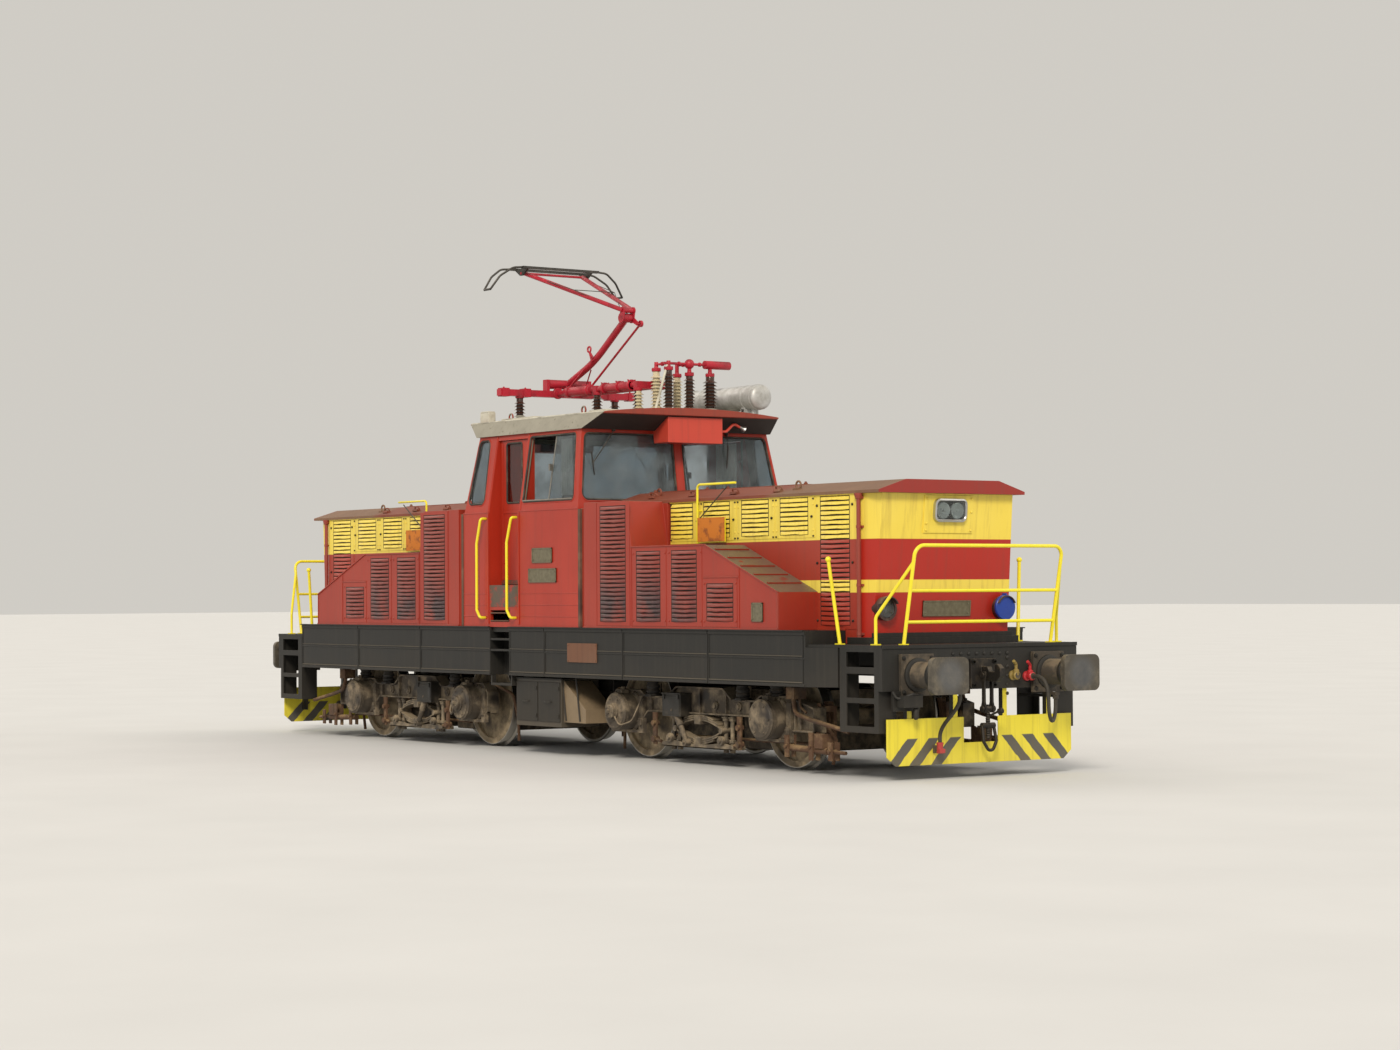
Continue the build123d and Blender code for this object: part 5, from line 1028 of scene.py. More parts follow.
on_body("hood_roof_fittings", OTHER_CORNERS, build_roof_fittings, roof_tin, 0.002)


# Twin headlight: a yellow cover plate on the hood end with a polished rim, two plated reflectors in a black
# housing and a clear front glass. Screws hold the plate at its corners.
front_x, front_lean = 6.0, 0.093
deck_z = 1.36
lamp_middle = Vector((0, 0.01, 2.735))


def front_at(y, z, proud=0.0):
    """A point of the leaning hood end, or as far in front of it as given."""
    return Vector((front_x + front_lean * (z - deck_z) + proud, y, z))


def rounded_loop(corners, bend, steps):
    """A closed outline with its corners rounded."""
    return rounded([corners[-1]] + corners + [corners[0]], bend, steps)[1:-1]


def round_box(half_y, half_z, corner, proud):
    """The outline of a rounded box on the hood end, about the headlight's middle."""
    signs = [(-1, -1), (1, -1), (1, 1), (-1, 1)]
    flat = [Vector((0, y * half_y, z * half_z)) for y, z in signs]
    return [front_at(lamp_middle.y + p.y, lamp_middle.z + p.z, proud) for p in rounded_loop(flat, corner, 6)]


def build_headlight_panel(mesh):
    plate = [(-0.33, 2.50), (0.33, 2.50), (0.33, 2.89), (-0.33, 2.89)]
    add_rings(mesh, [[front_at(lamp_middle.y + y, z, proud) for y, z in plate] for proud in (-0.004, 0.011)])
    for y, z in ((-0.29, 2.86), (0.31, 2.86), (-0.29, 2.53), (0.31, 2.53), (-0.29, 2.60), (0.31, 2.72)):
        add_turned(mesh, [(0.014, 0), (0.013, 0.006), (0.007, 0.012)], front_at(y, z, 0.011),
                   (1, 0, -front_lean), 10)


panel = on_body("headlight_panels", OTHER_END, build_headlight_panel, hood_red, 0.003)
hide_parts("headlights")
plated_steel, _ = dusty_metal("plated_steel", "B9BBBD", "A79E8E", "6F6A62", 0.25, 0.35, 0.9)
mirror_plate, _ = dusty_metal("silvered_reflector", "F4F5F5", "E6E4DE", "C2C0B8", 0.1, 0.3, 0.45)


def build_reflectors(mesh):
    for side in (-1, 1):
        spot = front_at(lamp_middle.y + side * 0.0925, lamp_middle.z, 0.012)
        bowl = [(0.085, 0), (0.085, 0.022), (0.078, 0.022), (0.06, 0.012), (0.03, 0.004), (0.012, 0.002)]
        add_turned(mesh, bowl, spot, (1, 0, -front_lean), 28)
        add_turned(mesh, [(0.008, 0), (0.014, 0.012), (0.014, 0.022), (0.004, 0.03)], spot,
                   (1, 0, -front_lean), 12)


on_body("headlight_reflectors", OTHER_END, build_reflectors, mirror_plate)


def clear_glass(name, tint, roughness, clear):
    """Old window glass: a cold tint, a little dirt that dulls it in patches."""
    material = new_material(name)
    place = add(material, "TexCoord", {})["Object"]
    smear = add(material, "TexNoise", {"Vector": place, "Scale": across(240), "Detail": 5})["Fac"]
    dull = add(material, "MapRange", {**scaled(smear, 0.45, 0.8), "To Min": roughness,
                                      "To Max": roughness + 0.25})[0]
    see = add(material, "MapRange", {**scaled(smear, 0.4, 0.8), "To Min": clear, "To Max": clear - 0.2})[0]
    add(material, "BsdfPrincipled", {"Base Color": blend(material, smear, tint, "8C9698"), "Roughness": dull,
                                     "Transmission Weight": see, "IOR": 1.45})
    return material


lamp_pane = clear_glass("lamp_glass", "DCE4E4", 0.03, 1.0)
# name, slot, material, then half width, half height, corner and distance in front of each of its rings
lamp_shells = [("headlight_rims", "bare_metal", plated_steel,
                [(0.215, 0.12, 0.065, 0.0), (0.215, 0.12, 0.065, 0.05), (0.198, 0.103, 0.052, 0.058),
                 (0.188, 0.093, 0.045, 0.045), (0.188, 0.093, 0.045, 0.0)]),
               ("headlight_housings", "rubber", black_box,
                [(0.187, 0.092, 0.045, -0.03), (0.187, 0.092, 0.045, 0.012)]),
               ("headlight_glasses", "lamp_glass", lamp_pane,
                [(0.19, 0.095, 0.046, 0.042), (0.19, 0.095, 0.046, 0.046)])]
for name, slot, material, rings in lamp_shells:
    shell = bmesh.new()
    add_rings(shell, [round_box(*ring) for ring in rings], closed=name == "headlight_rims")
    repeat(shell, OTHER_END)
    make_piece(shell, name, "locomotive", material)


# Round lamps below: pressed steel cases in dark red with a black rim and a short visor. One shows its ribbed
# glass, the other has the blue cover that is clipped on as a tail signal.
lamp_case, _ = dusty_metal("dark_lamp_case", "3C2A26", "6B5A4A", "221B19", 0.4, 0.5)
dress("lower_lamps", lamp_case, edge=0.003)
lamp_y, lamp_z = 0.79, 1.725
lamp_face = front_at(0, lamp_z, 0.07).x
glass_ribs = [(0.101, 0), (0.101, 0.004)]
glass_ribs += [(0.098 - 0.0122 * step, 0.006 + 0.003 * (step % 2) + 0.0014 * step) for step in range(8)]


def build_lamp_lens(mesh):
    add_turned(mesh, glass_ribs, (lamp_face - 0.012, -lamp_y, lamp_z), AHEAD, 32)
    add_turned(mesh, [(0.03, 0), (0.04, 0.004), (0.05, 0.001)], (lamp_face - 0.0119, -lamp_y, lamp_z), AHEAD,
               16)


def build_blue_cover(mesh):
    profile = [(0.135, 0), (0.135, 0.022), (0.128, 0.03), (0.05, 0.036), (0.01, 0.037)]
    add_turned(mesh, profile, (lamp_face - 0.008, lamp_y, lamp_z), AHEAD, 40)
    add_block(mesh, (lamp_face - 0.03, 0.78, lamp_z + 0.11), (lamp_face + 0.026, 0.80, lamp_z + 0.15))


on_body("lamp_lenses", OTHER_END, build_lamp_lens, lamp_pane)
blue_cover = painted("blue_signal_cover", "1B3F9E", gloss=0.35, dust_top=1.0, dust="5A6A92", streak="16306E",
                     chip="23366A", worn=0.3)
on_body("blue_lamp_covers", OTHER_END, build_blue_cover, blue_cover, 0.002)


# Drain pipes: steel tube down the corners of the hoods, painted red with them and held by clips. Blank plates
# of cast bronze are screwed to the walls, and a black steel ledge runs along the foot of the hood end.
pipe_red = painted("red_pipe_paint", "8E3A2E", gloss=0.5, dust_top=1.7, dust="6E6258", worn=0.5)
dress("drain_pipes", pipe_red, edge=0.0)
drain_x, drain_y, drain_head = 5.87, -0.972, 2.85


def build_pipe_clips(mesh):
    for z in (1.45, 1.95, 2.55, drain_head):
        add_turned(mesh, [(0.027, 0), (0.027, 0.03)], (drain_x, drain_y, z), UP, 16)
        add_block(mesh, (drain_x - 0.008, drain_y + 0.017, z + 0.003),
                  (drain_x + 0.035, drain_y + 0.047, z + 0.027))
    add_turned(mesh, [(0.03, 0), (0.045, 0.04), (0.045, 0.06)], (drain_x, drain_y, drain_head), UP, 16)


on_body("pipe_clips", OTHER_CORNERS, build_pipe_clips, pipe_red, 0.001)
cast_plate = new_material("weathered_cast_bronze")
cast_place = add(cast_plate, "TexCoord", {})["Object"]
cast_cloud = add(cast_plate, "TexNoise", {"Vector": cast_place, "Scale": across(45), "Detail": 6})["Fac"]
cast_bump = add(cast_plate, "Bump", {"Strength": 0.4, "Distance": 0.002, "Height": cast_cloud})[0]
add(cast_plate, "BsdfPrincipled", {"Base Color": blend(cast_plate, cast_cloud, "55503F", "8C8670"),
                                   "Roughness": 0.55, "Metallic": 0.45, "Normal": cast_bump})


def side_at(x, z, proud=0.0):
    """A point of the side wall, or as far outside it as given."""
    return Vector((x, side_y - proud, z))


def framed_plate(mesh, wall, facing, root, low_corner, high_corner):
    """A blank cast plate with a raised border and a screw in each corner, rooted so far off a wall."""
    (start, foot), (end, head) = low_corner, high_corner
    border = 0.014
    strips = [(start, end, foot, foot + border), (start, end, head - border, head),
              (start, start + border, foot, head), (end - border, end, foot, head)]
    plates = [(start, end, foot, head, 0.010)] + [(*strip, 0.015) for strip in strips]
    for a, b, low, high, thick in plates:
        outline = ((a, low), (b, low), (b, high), (a, high))
        add_rings(mesh, [[wall(u, v, proud) for u, v in outline] for proud in (root, thick)])
    for u in (start + 0.035, end - 0.035):
        for v in (foot + 0.035, head - 0.035):
            add_turned(mesh, [(0.009, 0), (0.009, 0.004), (0.004, 0.007)], wall(u, v, 0.010), facing, 8)


def build_blank_plates(mesh):
    framed_plate(mesh, front_at, AHEAD, -0.002, (-0.27, 1.638), (0.37, 1.802))
    framed_plate(mesh, side_at, NEAR, 0.0, (0.30, 2.255), (0.74, 2.43))
    framed_plate(mesh, side_at, NEAR, 0.0, (0.22, 2.025), (0.83, 2.19))
    framed_plate(mesh, side_at, NEAR, 0.0, (4.69, 1.59), (4.885, 1.79))


def build_end_ledge(mesh):
    add_block(mesh, (5.70, -1.0, deck_z), (6.08, 1.0, 1.43))
    add_block(mesh, (6.02, -0.93, 1.43), (6.06, 0.93, 1.475))


on_body("blank_plates", OTHER_END, build_blank_plates, cast_plate, 0.0015)
on_body("end_ledges", OTHER_END, build_end_ledge, black_paint, 0.003)


# Cab shell: folded steel sheet on a welded frame, split at the sill. It is red outside, round the windows
# and in the door recesses, and lined with grey-green board inside.
sill_z, side_lean, end_lean = 2.87, 0.156, 0.1505

# Rows of sums that tell outside from inside: name, operation, then numbers or the names of rows before.
# wall is the inside of the wall across the locomotive. Above the sill the walls lean in.
cab_masks = [
    ("above", "SUBTRACT", "z", sill_z), ("rise", "MAXIMUM", "above", 0.0),
    ("deep", "ABSOLUTE", "y"), ("side", "MULTIPLY_ADD", "rise", side_lean, "deep"),
    ("past_side", "SUBTRACT", "side", "wall"),
    ("along", "ABSOLUTE", "x"), ("end", "MULTIPLY_ADD", "rise", end_lean, "along"),
    ("past_end", "SUBTRACT", "end", 1.268),
    ("sign", "SIGN", "y"), ("door_x", "MULTIPLY", "sign", 0.36),
    ("from_door", "SUBTRACT", "x", "door_x"), ("off_door", "ABSOLUTE", "from_door"),
    ("in_frame", "SUBTRACT", 0.39, "off_door"), ("past_door", "SUBTRACT", "deep", 1.264),
    ("recess", "MINIMUM", "in_frame", "past_door"),
    ("past_wall", "MAXIMUM", "past_side", "past_end"), ("past_all", "MAXIMUM", "past_wall", "recess"),
    ("outside", "GREATER_THAN", "past_all", 0.0),
    ("on_tread", "LESS_THAN", "off_door", 0.33), ("below_knee", "LESS_THAN", "z", 2.06),
    ("over_step", "GREATER_THAN", "z", 1.74), ("kicked", "MULTIPLY", "below_knee", "over_step"),
    ("foot", "MULTIPLY", "on_tread", "kicked"),
]
# The same for the pane of glass in a glazed piece
pane_masks = [
    ("pane_x", "SUBTRACT", "along", 0.375), ("off_x", "ABSOLUTE", "pane_x"),
    ("across_pane", "LESS_THAN", "off_x", 0.174),
    ("pane_z", "SUBTRACT", "z", 3.3425), ("off_z", "ABSOLUTE", "pane_z"),
    ("up_pane", "LESS_THAN", "off_z", 0.3565),
    ("pane_y", "SUBTRACT", "deep", 1.282), ("off_y", "ABSOLUTE", "pane_y"),
    ("in_pane", "LESS_THAN", "off_y", 0.0045),
    ("face", "MULTIPLY", "across_pane", "up_pane"), ("pane", "MULTIPLY", "in_pane", "face"),
]


def cab_paint(name, wall_y, glazed=False):
    """Red where a face is past the inside of the walls, lining elsewhere. A glazed piece has a pane too."""
    material = new_material(name)
    place = add(material, "TexCoord", {})["Object"]
    where = add(material, "SeparateXYZ", {0: place})
    value = {"x": where["X"], "y": where["Y"], "z": where["Z"], "wall": wall_y}
    for row, operation, *inputs in cab_masks + (pane_masks if glazed else []):
        sockets = {i: value.get(given, given) for i, given in enumerate(inputs)}
        value[row] = add(material, "Math", sockets, operation=operation)[0]
    cloud = add(material, "TexNoise", {"Vector": place, "Scale": across(800), "Detail": 5})["Fac"]
    faded = blend(material, cloud, "96200F", "B53620")
    scuffs = add(material, "TexNoise", {"Vector": place, "Scale": across(130), "Detail": 7,
                                        "Roughness": 0.7})["Fac"]
    scuffed = add(material, "MapRange", scaled(scuffs, 0.36, 0.5))[0]
    trodden = add(material, "Math", {0: value["foot"], 1: scuffed}, operation="MULTIPLY")[0]
    red = blend(material, trodden, faded, "55483C")
    red, matt = weathered(material, red, dust_top=1.35, dust="7E5A4A", streak="64241A", worn=0.36)
    colour = blend(material, value["outside"], blend(material, cloud, "6C7264", "7E8374"), red)
    dull = add(material, "MapRange", {"Value": matt, "To Min": 0.38, "To Max": 0.8})[0]
    buckles = add(material, "TexNoise", {"Vector": place, "Scale": across(480), "Detail": 2})["Fac"]
    waves = add(material, "Bump", {"Strength": 1.0, "Distance": 0.005, "Height": buckles})[0]
    inputs = {"Base Color": colour, "Roughness": dull, "Normal": waves}
    if glazed:
        pane = value["pane"]
        smoother = add(material, "Math", {0: 0.04, 1: dull}, operation="SUBTRACT")[0]
        inputs["Base Color"] = blend(material, pane, colour, "8E9A9A")
        inputs["Roughness"] = add(material, "Math", {0: pane, 1: smoother, 2: dull},
                                  operation="MULTIPLY_ADD")[0]
        inputs["Transmission Weight"] = pane
    add(material, "BsdfPrincipled", inputs)
    return material


cab_red = cab_paint("cab_red_outside_and_green_lining_inside", 1.443)
dress("cab_lower", cab_red, edge=0.006)
dress("cab_upper", cab_red, edge=0.006)


# Windows: toughened panes clamped in black rubber, in a rounded opening with a pressed bead round it.
# The second window of each side slides, in a slim frame of bare steel.
def side_wall(x, z, out=0.0):
    """A point of the leaning side wall, or as far outside it as given."""
    return Vector((x, -(1.465 - side_lean * max(z - sill_z, 0) + out), z))


def end_wall(y, z, out=0.0):
    """A point of the leaning front wall, or as far outside it as given."""
    return Vector((1.29 - end_lean * max(z - sill_z, 0) + out, y, z))


def window_loop(wall, corners, grow, out, bend):
    """The rounded outline of a window on a leaning wall, grown by so much beyond its edge."""
    middle = sum((Vector(c) for c in corners), Vector((0, 0))) / 4
    path = []
    for u, z in corners:
        path.append(wall(u + math.copysign(grow, u - middle.x), z + math.copysign(grow, z - middle.y), out))
    return rounded_loop(path, bend + grow, 6)


window_foot, window_head = 2.985, 3.745
# wall, where the window starts and ends at its foot and at its head, radius of the corners
windows = [
    (side_wall, (-1.215, -0.85), (-1.12, -0.89), 0.075),
    (side_wall, (0.05, 1.16), (0.05, 1.035), 0.04),
    (end_wall, (0.075, 1.39), (0.075, 1.275), 0.075),
    (end_wall, (-1.39, -0.075), (-1.275, -0.075), 0.075),
]
aged_rubber, _ = dusty_metal("aged_window_rubber", "2E2B28", "5C5448", "1E1C1A", 0.45, 0.75)
# name, how far the bar lies outside the opening's edge, outside the wall, its radius, slot, material
window_bars = [
    ("window_rubber", -0.006, -0.004, 0.013, "rubber", aged_rubber),
    ("window_beads", 0.026, -0.001, 0.008, "body_paint", cab_red),
]
for name, grow, out, radius, slot, material in window_bars:
    bars = bmesh.new()
    for wall, foot, head, bend in windows:
        corners = [(foot[0], window_foot), (foot[1], window_foot), (head[1], window_head),
                   (head[0], window_head)]
        add_tube(bars, window_loop(wall, corners, grow, out, bend), radius, 6, closed=True)
    repeat(bars, OTHER_END)
    make_piece(bars, name, "locomotive", material)
cab_panes = clear_glass("cold_blue_window_glass", "B4C2CC", 0.02, 0.95)
dress("cab_glass", cab_panes, edge=0)


def build_sliding_frame(mesh):
    low, high = side_wall(0.60, 3.0, -0.02), side_wall(0.60, 3.735, -0.02)
    add_tube(mesh, [low, high], 0.012, 8)
    add_tube(mesh, [side_wall(0.05, 2.992, 0.004), side_wall(1.14, 2.992, 0.004)], 0.009, 8)
    add_block(mesh, (0.585, -1.42, 3.33), (0.612, -1.385, 3.41))


sash_steel, _ = dusty_metal("worn_sash_steel", "8D8A84", "6E675B", "4A4640", 0.35, 0.45, 0.8)
on_body("sliding_window_frame", OTHER_END, build_sliding_frame, sash_steel, 0.001)


# Curtains: unlined cotton on a wire, bleached by the sun and drawn to the side of the driver's windows.
# One layer, in soft pleats that open towards the foot.
def add_curtain(mesh, start, along, width, top, foot, pleat):
    """Cloth in pleats that open towards the foot. It hangs along x or y from its start on the wire."""
    columns, rows, pleats = 44, 10, 4.5
    steps = [(width * i / columns, pleat * math.sin(2 * math.pi * pleats * i / columns))
             for i in range(columns + 1)]
    grid = []
    for row in range(rows + 1):
        level = top + (foot - top) * row / rows
        ease = 0.6 + 0.4 * row / rows
        shifts = [(s, w * ease) if along == "x" else (w * ease, s) for s, w in steps]
        grid.append([mesh.verts.new((start[0] + u, start[1] + v, level)) for u, v in shifts])
    for upper, lower in zip(grid, grid[1:]):
        for a, b, c, d in zip(upper, upper[1:], lower[1:], lower):
            mesh.faces.new((a, b, c, d))


cotton = new_material("sun_bleached_cotton")
cotton_place = add(cotton, "TexCoord", {})["Object"]
cotton_cloud = add(cotton, "TexNoise", {"Vector": cotton_place, "Scale": across(140), "Detail": 4})["Fac"]
weave = add(cotton, "TexNoise", {"Vector": cotton_place, "Scale": across(2), "Detail": 1})["Fac"]
weave_bump = add(cotton, "Bump", {"Strength": 0.4, "Distance": 0.0006, "Height": weave})[0]
add(cotton, "BsdfPrincipled", {"Base Color": blend(cotton, cotton_cloud, "D9D2BC", "F4F1E6"),
                               "Roughness": 0.95, "Normal": weave_bump, "Sheen Weight": 0.3})
# name, start, direction, width as hung, top, foot, half depth of a pleat
curtains = [
    ("front_curtain", (1.085, 0.62), "y", 0.30, 3.68, 3.06, 0.018),
    ("side_curtain", (0.66, -1.285), "x", 0.24, 3.70, 3.04, 0.014),
]
both_halves = (("a", HERE), ("b", TURN))
curtain_wires = bmesh.new()
for name, start, along, width, top, foot, pleat in curtains:
    for half, turn in both_halves:
        cloth = bmesh.new()
        add_curtain(cloth, start, along, width, top, foot, pleat)
        area = sum(face.calc_area() for face in cloth.faces)
        curtain = make_piece(cloth, f"{name}_{half}", "locomotive", cotton, smooth=60,
                             place=turn)
    end = (start[0] + width, start[1]) if along == "x" else (start[0], start[1] + width)
    add_tube(curtain_wires, [(*start, top + 0.004), (*end, top + 0.004)], 0.004, 8)
repeat(curtain_wires, OTHER_END)
make_piece(curtain_wires, "curtain_wires", "locomotive", sash_steel)


# Side doors: hung in a recess, flush steel with a bead round the window and a pull handle. The pane is in
# the same piece as the steel.
door_red = cab_paint("door_red_with_glass", 1.272, glazed=True)
door_out, door_pane_y = -1.299, -1.301
pane_start, pane_end, pane_head = -0.55, -0.20, 3.70
for node, body, turn in (("cab_door_near", "door_near", HERE), ("cab_door_far", "door_far", TURN)):
    dress(node, door_red, edge=0.003)
    pane = [(pane_start, window_foot), (pane_end, window_foot), (pane_end, pane_head),
            (pane_start, pane_head)]
    trim = bmesh.new()
    add_tube(trim, rounded_loop([Vector((x, door_pane_y, z)) for x, z in pane], 0.03, 5), 0.012, 6,
             closed=True)
    make_piece(trim, f"{node}_rubber", body, aged_rubber, place=turn)
    ribs = bmesh.new()
    for x in (-0.645, -0.075):
        add_block(ribs, (x - 0.012, -1.308, 2.06), (x + 0.012, door_out, pane_head))
    add_block(ribs, (-0.64, -1.308, 2.86), (-0.08, door_out, 2.89))
    add_block(ribs, (-0.115, -1.306, 2.62), (-0.065, door_out, 2.83))
    make_piece(ribs, f"{node}_ribs", body, cab_red, 0.002, place=turn)


# Trim of the cab side: pressed lines along the foot, a drip rail at the sill, brown filler strips at the
# joints to the tall boxes and the two treads in the foot hole.
def build_cab_beads(mesh):
    for z in (2.872, 1.90, 1.765, 1.63):
        for start, end in ((-1.30, -0.715), (-0.005, 1.30)):
            add_block(mesh, (start, -1.4765 if z > 2 else -1.4745, z - 0.006), (end, -1.469, z + 0.006))
    add_block(mesh, (-0.70, -1.4745, 1.74), (-0.02, -1.469, 1.752))
    for x in (-0.712, -0.008):
        add_block(mesh, (x - 0.010, -1.480, 1.53), (x + 0.010, -1.469, 2.86))
    for x, radius in ((-0.725, 0.014), (0.012, 0.012)):
        add_tube(mesh, [side_wall(x, 2.88, -0.002), side_wall(x, 3.79, -0.002)], radius, 8)


def build_joint_strips(mesh):
    for x in (1.325, -1.325):
        add_block(mesh, (x - 0.022, -1.478, 1.51), (x + 0.022, -1.440, 2.865))
    for low in (1.566, 1.66):
        add_block(mesh, (-0.66, -1.476, low), (-0.24, -1.44, low + 0.014))


on_body("cab_side_beads", OTHER_END, build_cab_beads, cab_red, 0.002)
joint_brown, _ = dusty_metal("brown_joint_filler", "5F4437", "7C5F4C", "3E2C24", 0.4, 0.8)
on_body("cab_joint_strips", OTHER_END, build_joint_strips, joint_brown, 0.002)


# Wipers: a spindle below the eave, a bent steel arm and a rubber blade lying on the pane. Arm and blade
# have the same dusty black.
def build_wipers(mesh):
    for y0, z0, y1, z1 in ((-0.891, 3.795, -1.216, 3.398), (0.714, 3.785, 0.703, 3.507)):
        hub, tip = end_wall(y0, z0, 0.03), end_wall(y1, z1, 0.008)
        add_turned(mesh, [(0.02, -0.04), (0.02, 0.0), (0.012, 0.012)], hub, AHEAD, 10)
        add_tube(mesh, [hub, hub.lerp(tip, 0.6) + Vector((0.012, 0, 0)), tip], 0.006, 6)
        lean = Vector((0, 0.03 if abs(y1 - y0) > 0.1 else 0, 0))
        blade = [tip + Vector((0.024, 0, 0.15)) * 0.9 - lean, tip + Vector((-0.012, 0, -0.15)) * 0.9 + lean]
        add_tube(mesh, blade, 0.008, 6)


on_body("wipers", OTHER_END, build_wipers, aged_rubber)


# Driver's place: a steel desk in grey hammer finish, with a sloping dial panel and two levers, and a swivel
# seat with two padded cushions.
hammer_grey, _ = dusty_metal("grey_hammer_enamel", "5D655F", "77796E", "3C423E", 0.3, 0.5)
dress("control_desks", hammer_grey, edge=0.012)


def build_desk_fittings(mesh):
    for y in (-1.02, -0.86, -0.70, -0.54, -0.38):
        add_turned(mesh, [(0.062, -0.004), (0.062, 0.012), (0.052, 0.012), (0.052, 0.004)], (0.82, y, 2.90),
                   (-1, 0, 0), 16)
    for y, reach in ((-1.05, 0.16), (-0.30, 0.12)):
        add_tube(mesh, [(0.79, y, 2.82), (0.79, y, 2.82 + reach)], 0.009, 8)
        knob = [(0.004, -0.03), (0.022, -0.02), (0.024, 0.0), (0.014, 0.02), (0.003, 0.026)]
        add_turned(mesh, knob, (0.79, y, 2.82 + reach), UP, 10)


on_body("desk_fittings", OTHER_END, build_desk_fittings, sash_steel)
green_vinyl = new_material("green_seat_vinyl")
vinyl_place = add(green_vinyl, "TexCoord", {})["Object"]
vinyl_cloud = add(green_vinyl, "TexNoise", {"Vector": vinyl_place, "Scale": across(90), "Detail": 5})["Fac"]
pores = add(green_vinyl, "TexVoronoi", {"Vector": vinyl_place, "Scale": across(3)})["Distance"]
vinyl_bump = add(green_vinyl, "Bump", {"Strength": 0.4, "Distance": 0.0006, "Height": pores})[0]
add(green_vinyl, "BsdfPrincipled", {"Base Color": blend(green_vinyl, vinyl_cloud, "14402F", "27604A"),
                                    "Roughness": 0.5, "Normal": vinyl_bump})


def add_cushion(mesh, low, high, crown, axis):
    """A stuffed pad: rounded edges and a crowned face along the axis."""
    middle = [(a + b) / 2 for a, b in zip(low, high)]
    half = [(b - a) / 2 for a, b in zip(low, high)]
    one, other = (k for k in range(3) if k != axis)
    rows = []
    for step in range(9):
        level = step / 4 - 1
        bulge = max((1 - abs(level) ** 5) ** 0.2, 0.72)
        ring = []
        for turn in range(32):
            angle = 2 * math.pi * turn / 32
            u, w = math.cos(angle), math.sin(angle)
            squarer = bulge / max(abs(u), abs(w)) ** 0.82
            point = list(middle)
            point[axis] += half[axis] * level
            point[one] += half[one] * u * squarer
            point[other] += half[other] * w * squarer
            ring.append(point)
        rows.append(ring)
    top = rows[-1]
    for shrink, lift in ((0.7, 0.6), (0.35, 0.9)):
        ring = [[m + (value - m) * shrink for m, value in zip(middle, point)] for point in top]
        for inner, outer in zip(ring, top):
            inner[axis] = outer[axis] + crown * lift
        rows.append(ring)
    add_rings(mesh, rows)


def build_seat_post(mesh):
    profile = [(0.16, 0), (0.16, 0.02), (0.06, 0.05), (0.045, 0.38), (0.12, 0.385), (0.12, 0.40)]
    add_turned(mesh, profile, (0.48, -0.70, 2.0), UP, 20)
    add_tube(mesh, rounded([(0.40, -0.70, 2.395), (0.235, -0.70, 2.395), (0.225, -0.70, 2.80)], 0.05), 0.016,
             8)


# name, its two corners, height of the crown, axis that the crowned face looks along
seat_pads = [
    ("cushion", (0.26, -0.92, 2.405), (0.70, -0.48, 2.475), 0.022, 2),
    ("back", (0.200, -0.90, 2.53), (0.262, -0.50, 2.97), 0.015, 0),
]
post = on_body("seat_posts", OTHER_END, build_seat_post, black_box, 0.002)
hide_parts("driver_seats")
for half, turn in both_halves:
    for part, low, high, crown, axis in seat_pads:
        pad = bmesh.new()
        add_cushion(pad, low, high, crown, axis)
        piece = make_piece(pad, f"seat_{part}_{half}", "locomotive", green_vinyl, smooth=60,
                           place=turn)


# Whistle box: a steel cover under each visor in a red that the sun has faded, with a bent air pipe that ends
# in a turned and plated trumpet.
box_cover_red = painted("sun_faded_red_cover", "C24434", gloss=0.4, wave=0.003, dust_top=1.0, worn=0.3)
dress("whistle_boxes", box_cover_red, edge=0.008)


def build_whistle_pipe(mesh):
    bend = rounded([(1.40, 0.44, 3.80), (1.40, 0.55, 3.80), (1.40, 0.66, 3.90), (1.40, 0.745, 3.86)], 0.06)
    add_tube(mesh, bend, 0.017, 10)
    add_turned(mesh, [(0.026, -0.012), (0.026, 0.012), (0.018, 0.014)], (1.40, 0.46, 3.80), FAR, 14)


def build_trumpet(mesh):
    profile = [(0.014, 0), (0.016, 0.02), (0.024, 0.05), (0.040, 0.07), (0.040, 0.074), (0.03, 0.06)]
    add_turned(mesh, profile, (1.40, 0.745, 3.862), (0.1, 0.9, -0.4), 16)


on_body("whistle_pipes", OTHER_END, build_whistle_pipe, box_cover_red)
on_body("whistle_trumpets", OTHER_END, build_trumpet, plated_steel)


# Cab roof: welded sheet painted light grey, with a red-brown edge on the visors. The faces that look down or
# towards the ends, under the visors, are painted near-black as painted shade. Lichen and collector dust have
# settled on it.
roof_grey = new_material("light_grey_roof_paint")
roof_place = add(roof_grey, "TexCoord", {})["Object"]
roof_where = add(roof_grey, "SeparateXYZ", {0: roof_place})
roof_facing = add(roof_grey, "SeparateXYZ", {0: add(roof_grey, "NewGeometry", {})["Normal"]})
roof_cloud = add(roof_grey, "TexNoise", {"Vector": roof_place, "Scale": across(260), "Detail": 7,
                                         "Roughness": 0.6})["Fac"]
roof_grit = add(roof_grey, "TexNoise", {"Vector": roof_place, "Scale": across(12), "Detail": 4})["Fac"]
lichen_spots = add(roof_grey, "TexNoise", {"Vector": roof_place, "Scale": across(45), "Detail": 5})["Fac"]
lichen = add(roof_grey, "MapRange", scaled(lichen_spots, 0.62, 0.70))[0]
pale = blend(roof_grey, lichen, blend(roof_grey, roof_cloud, "77746A", "A5A193"), "6E6B5C")
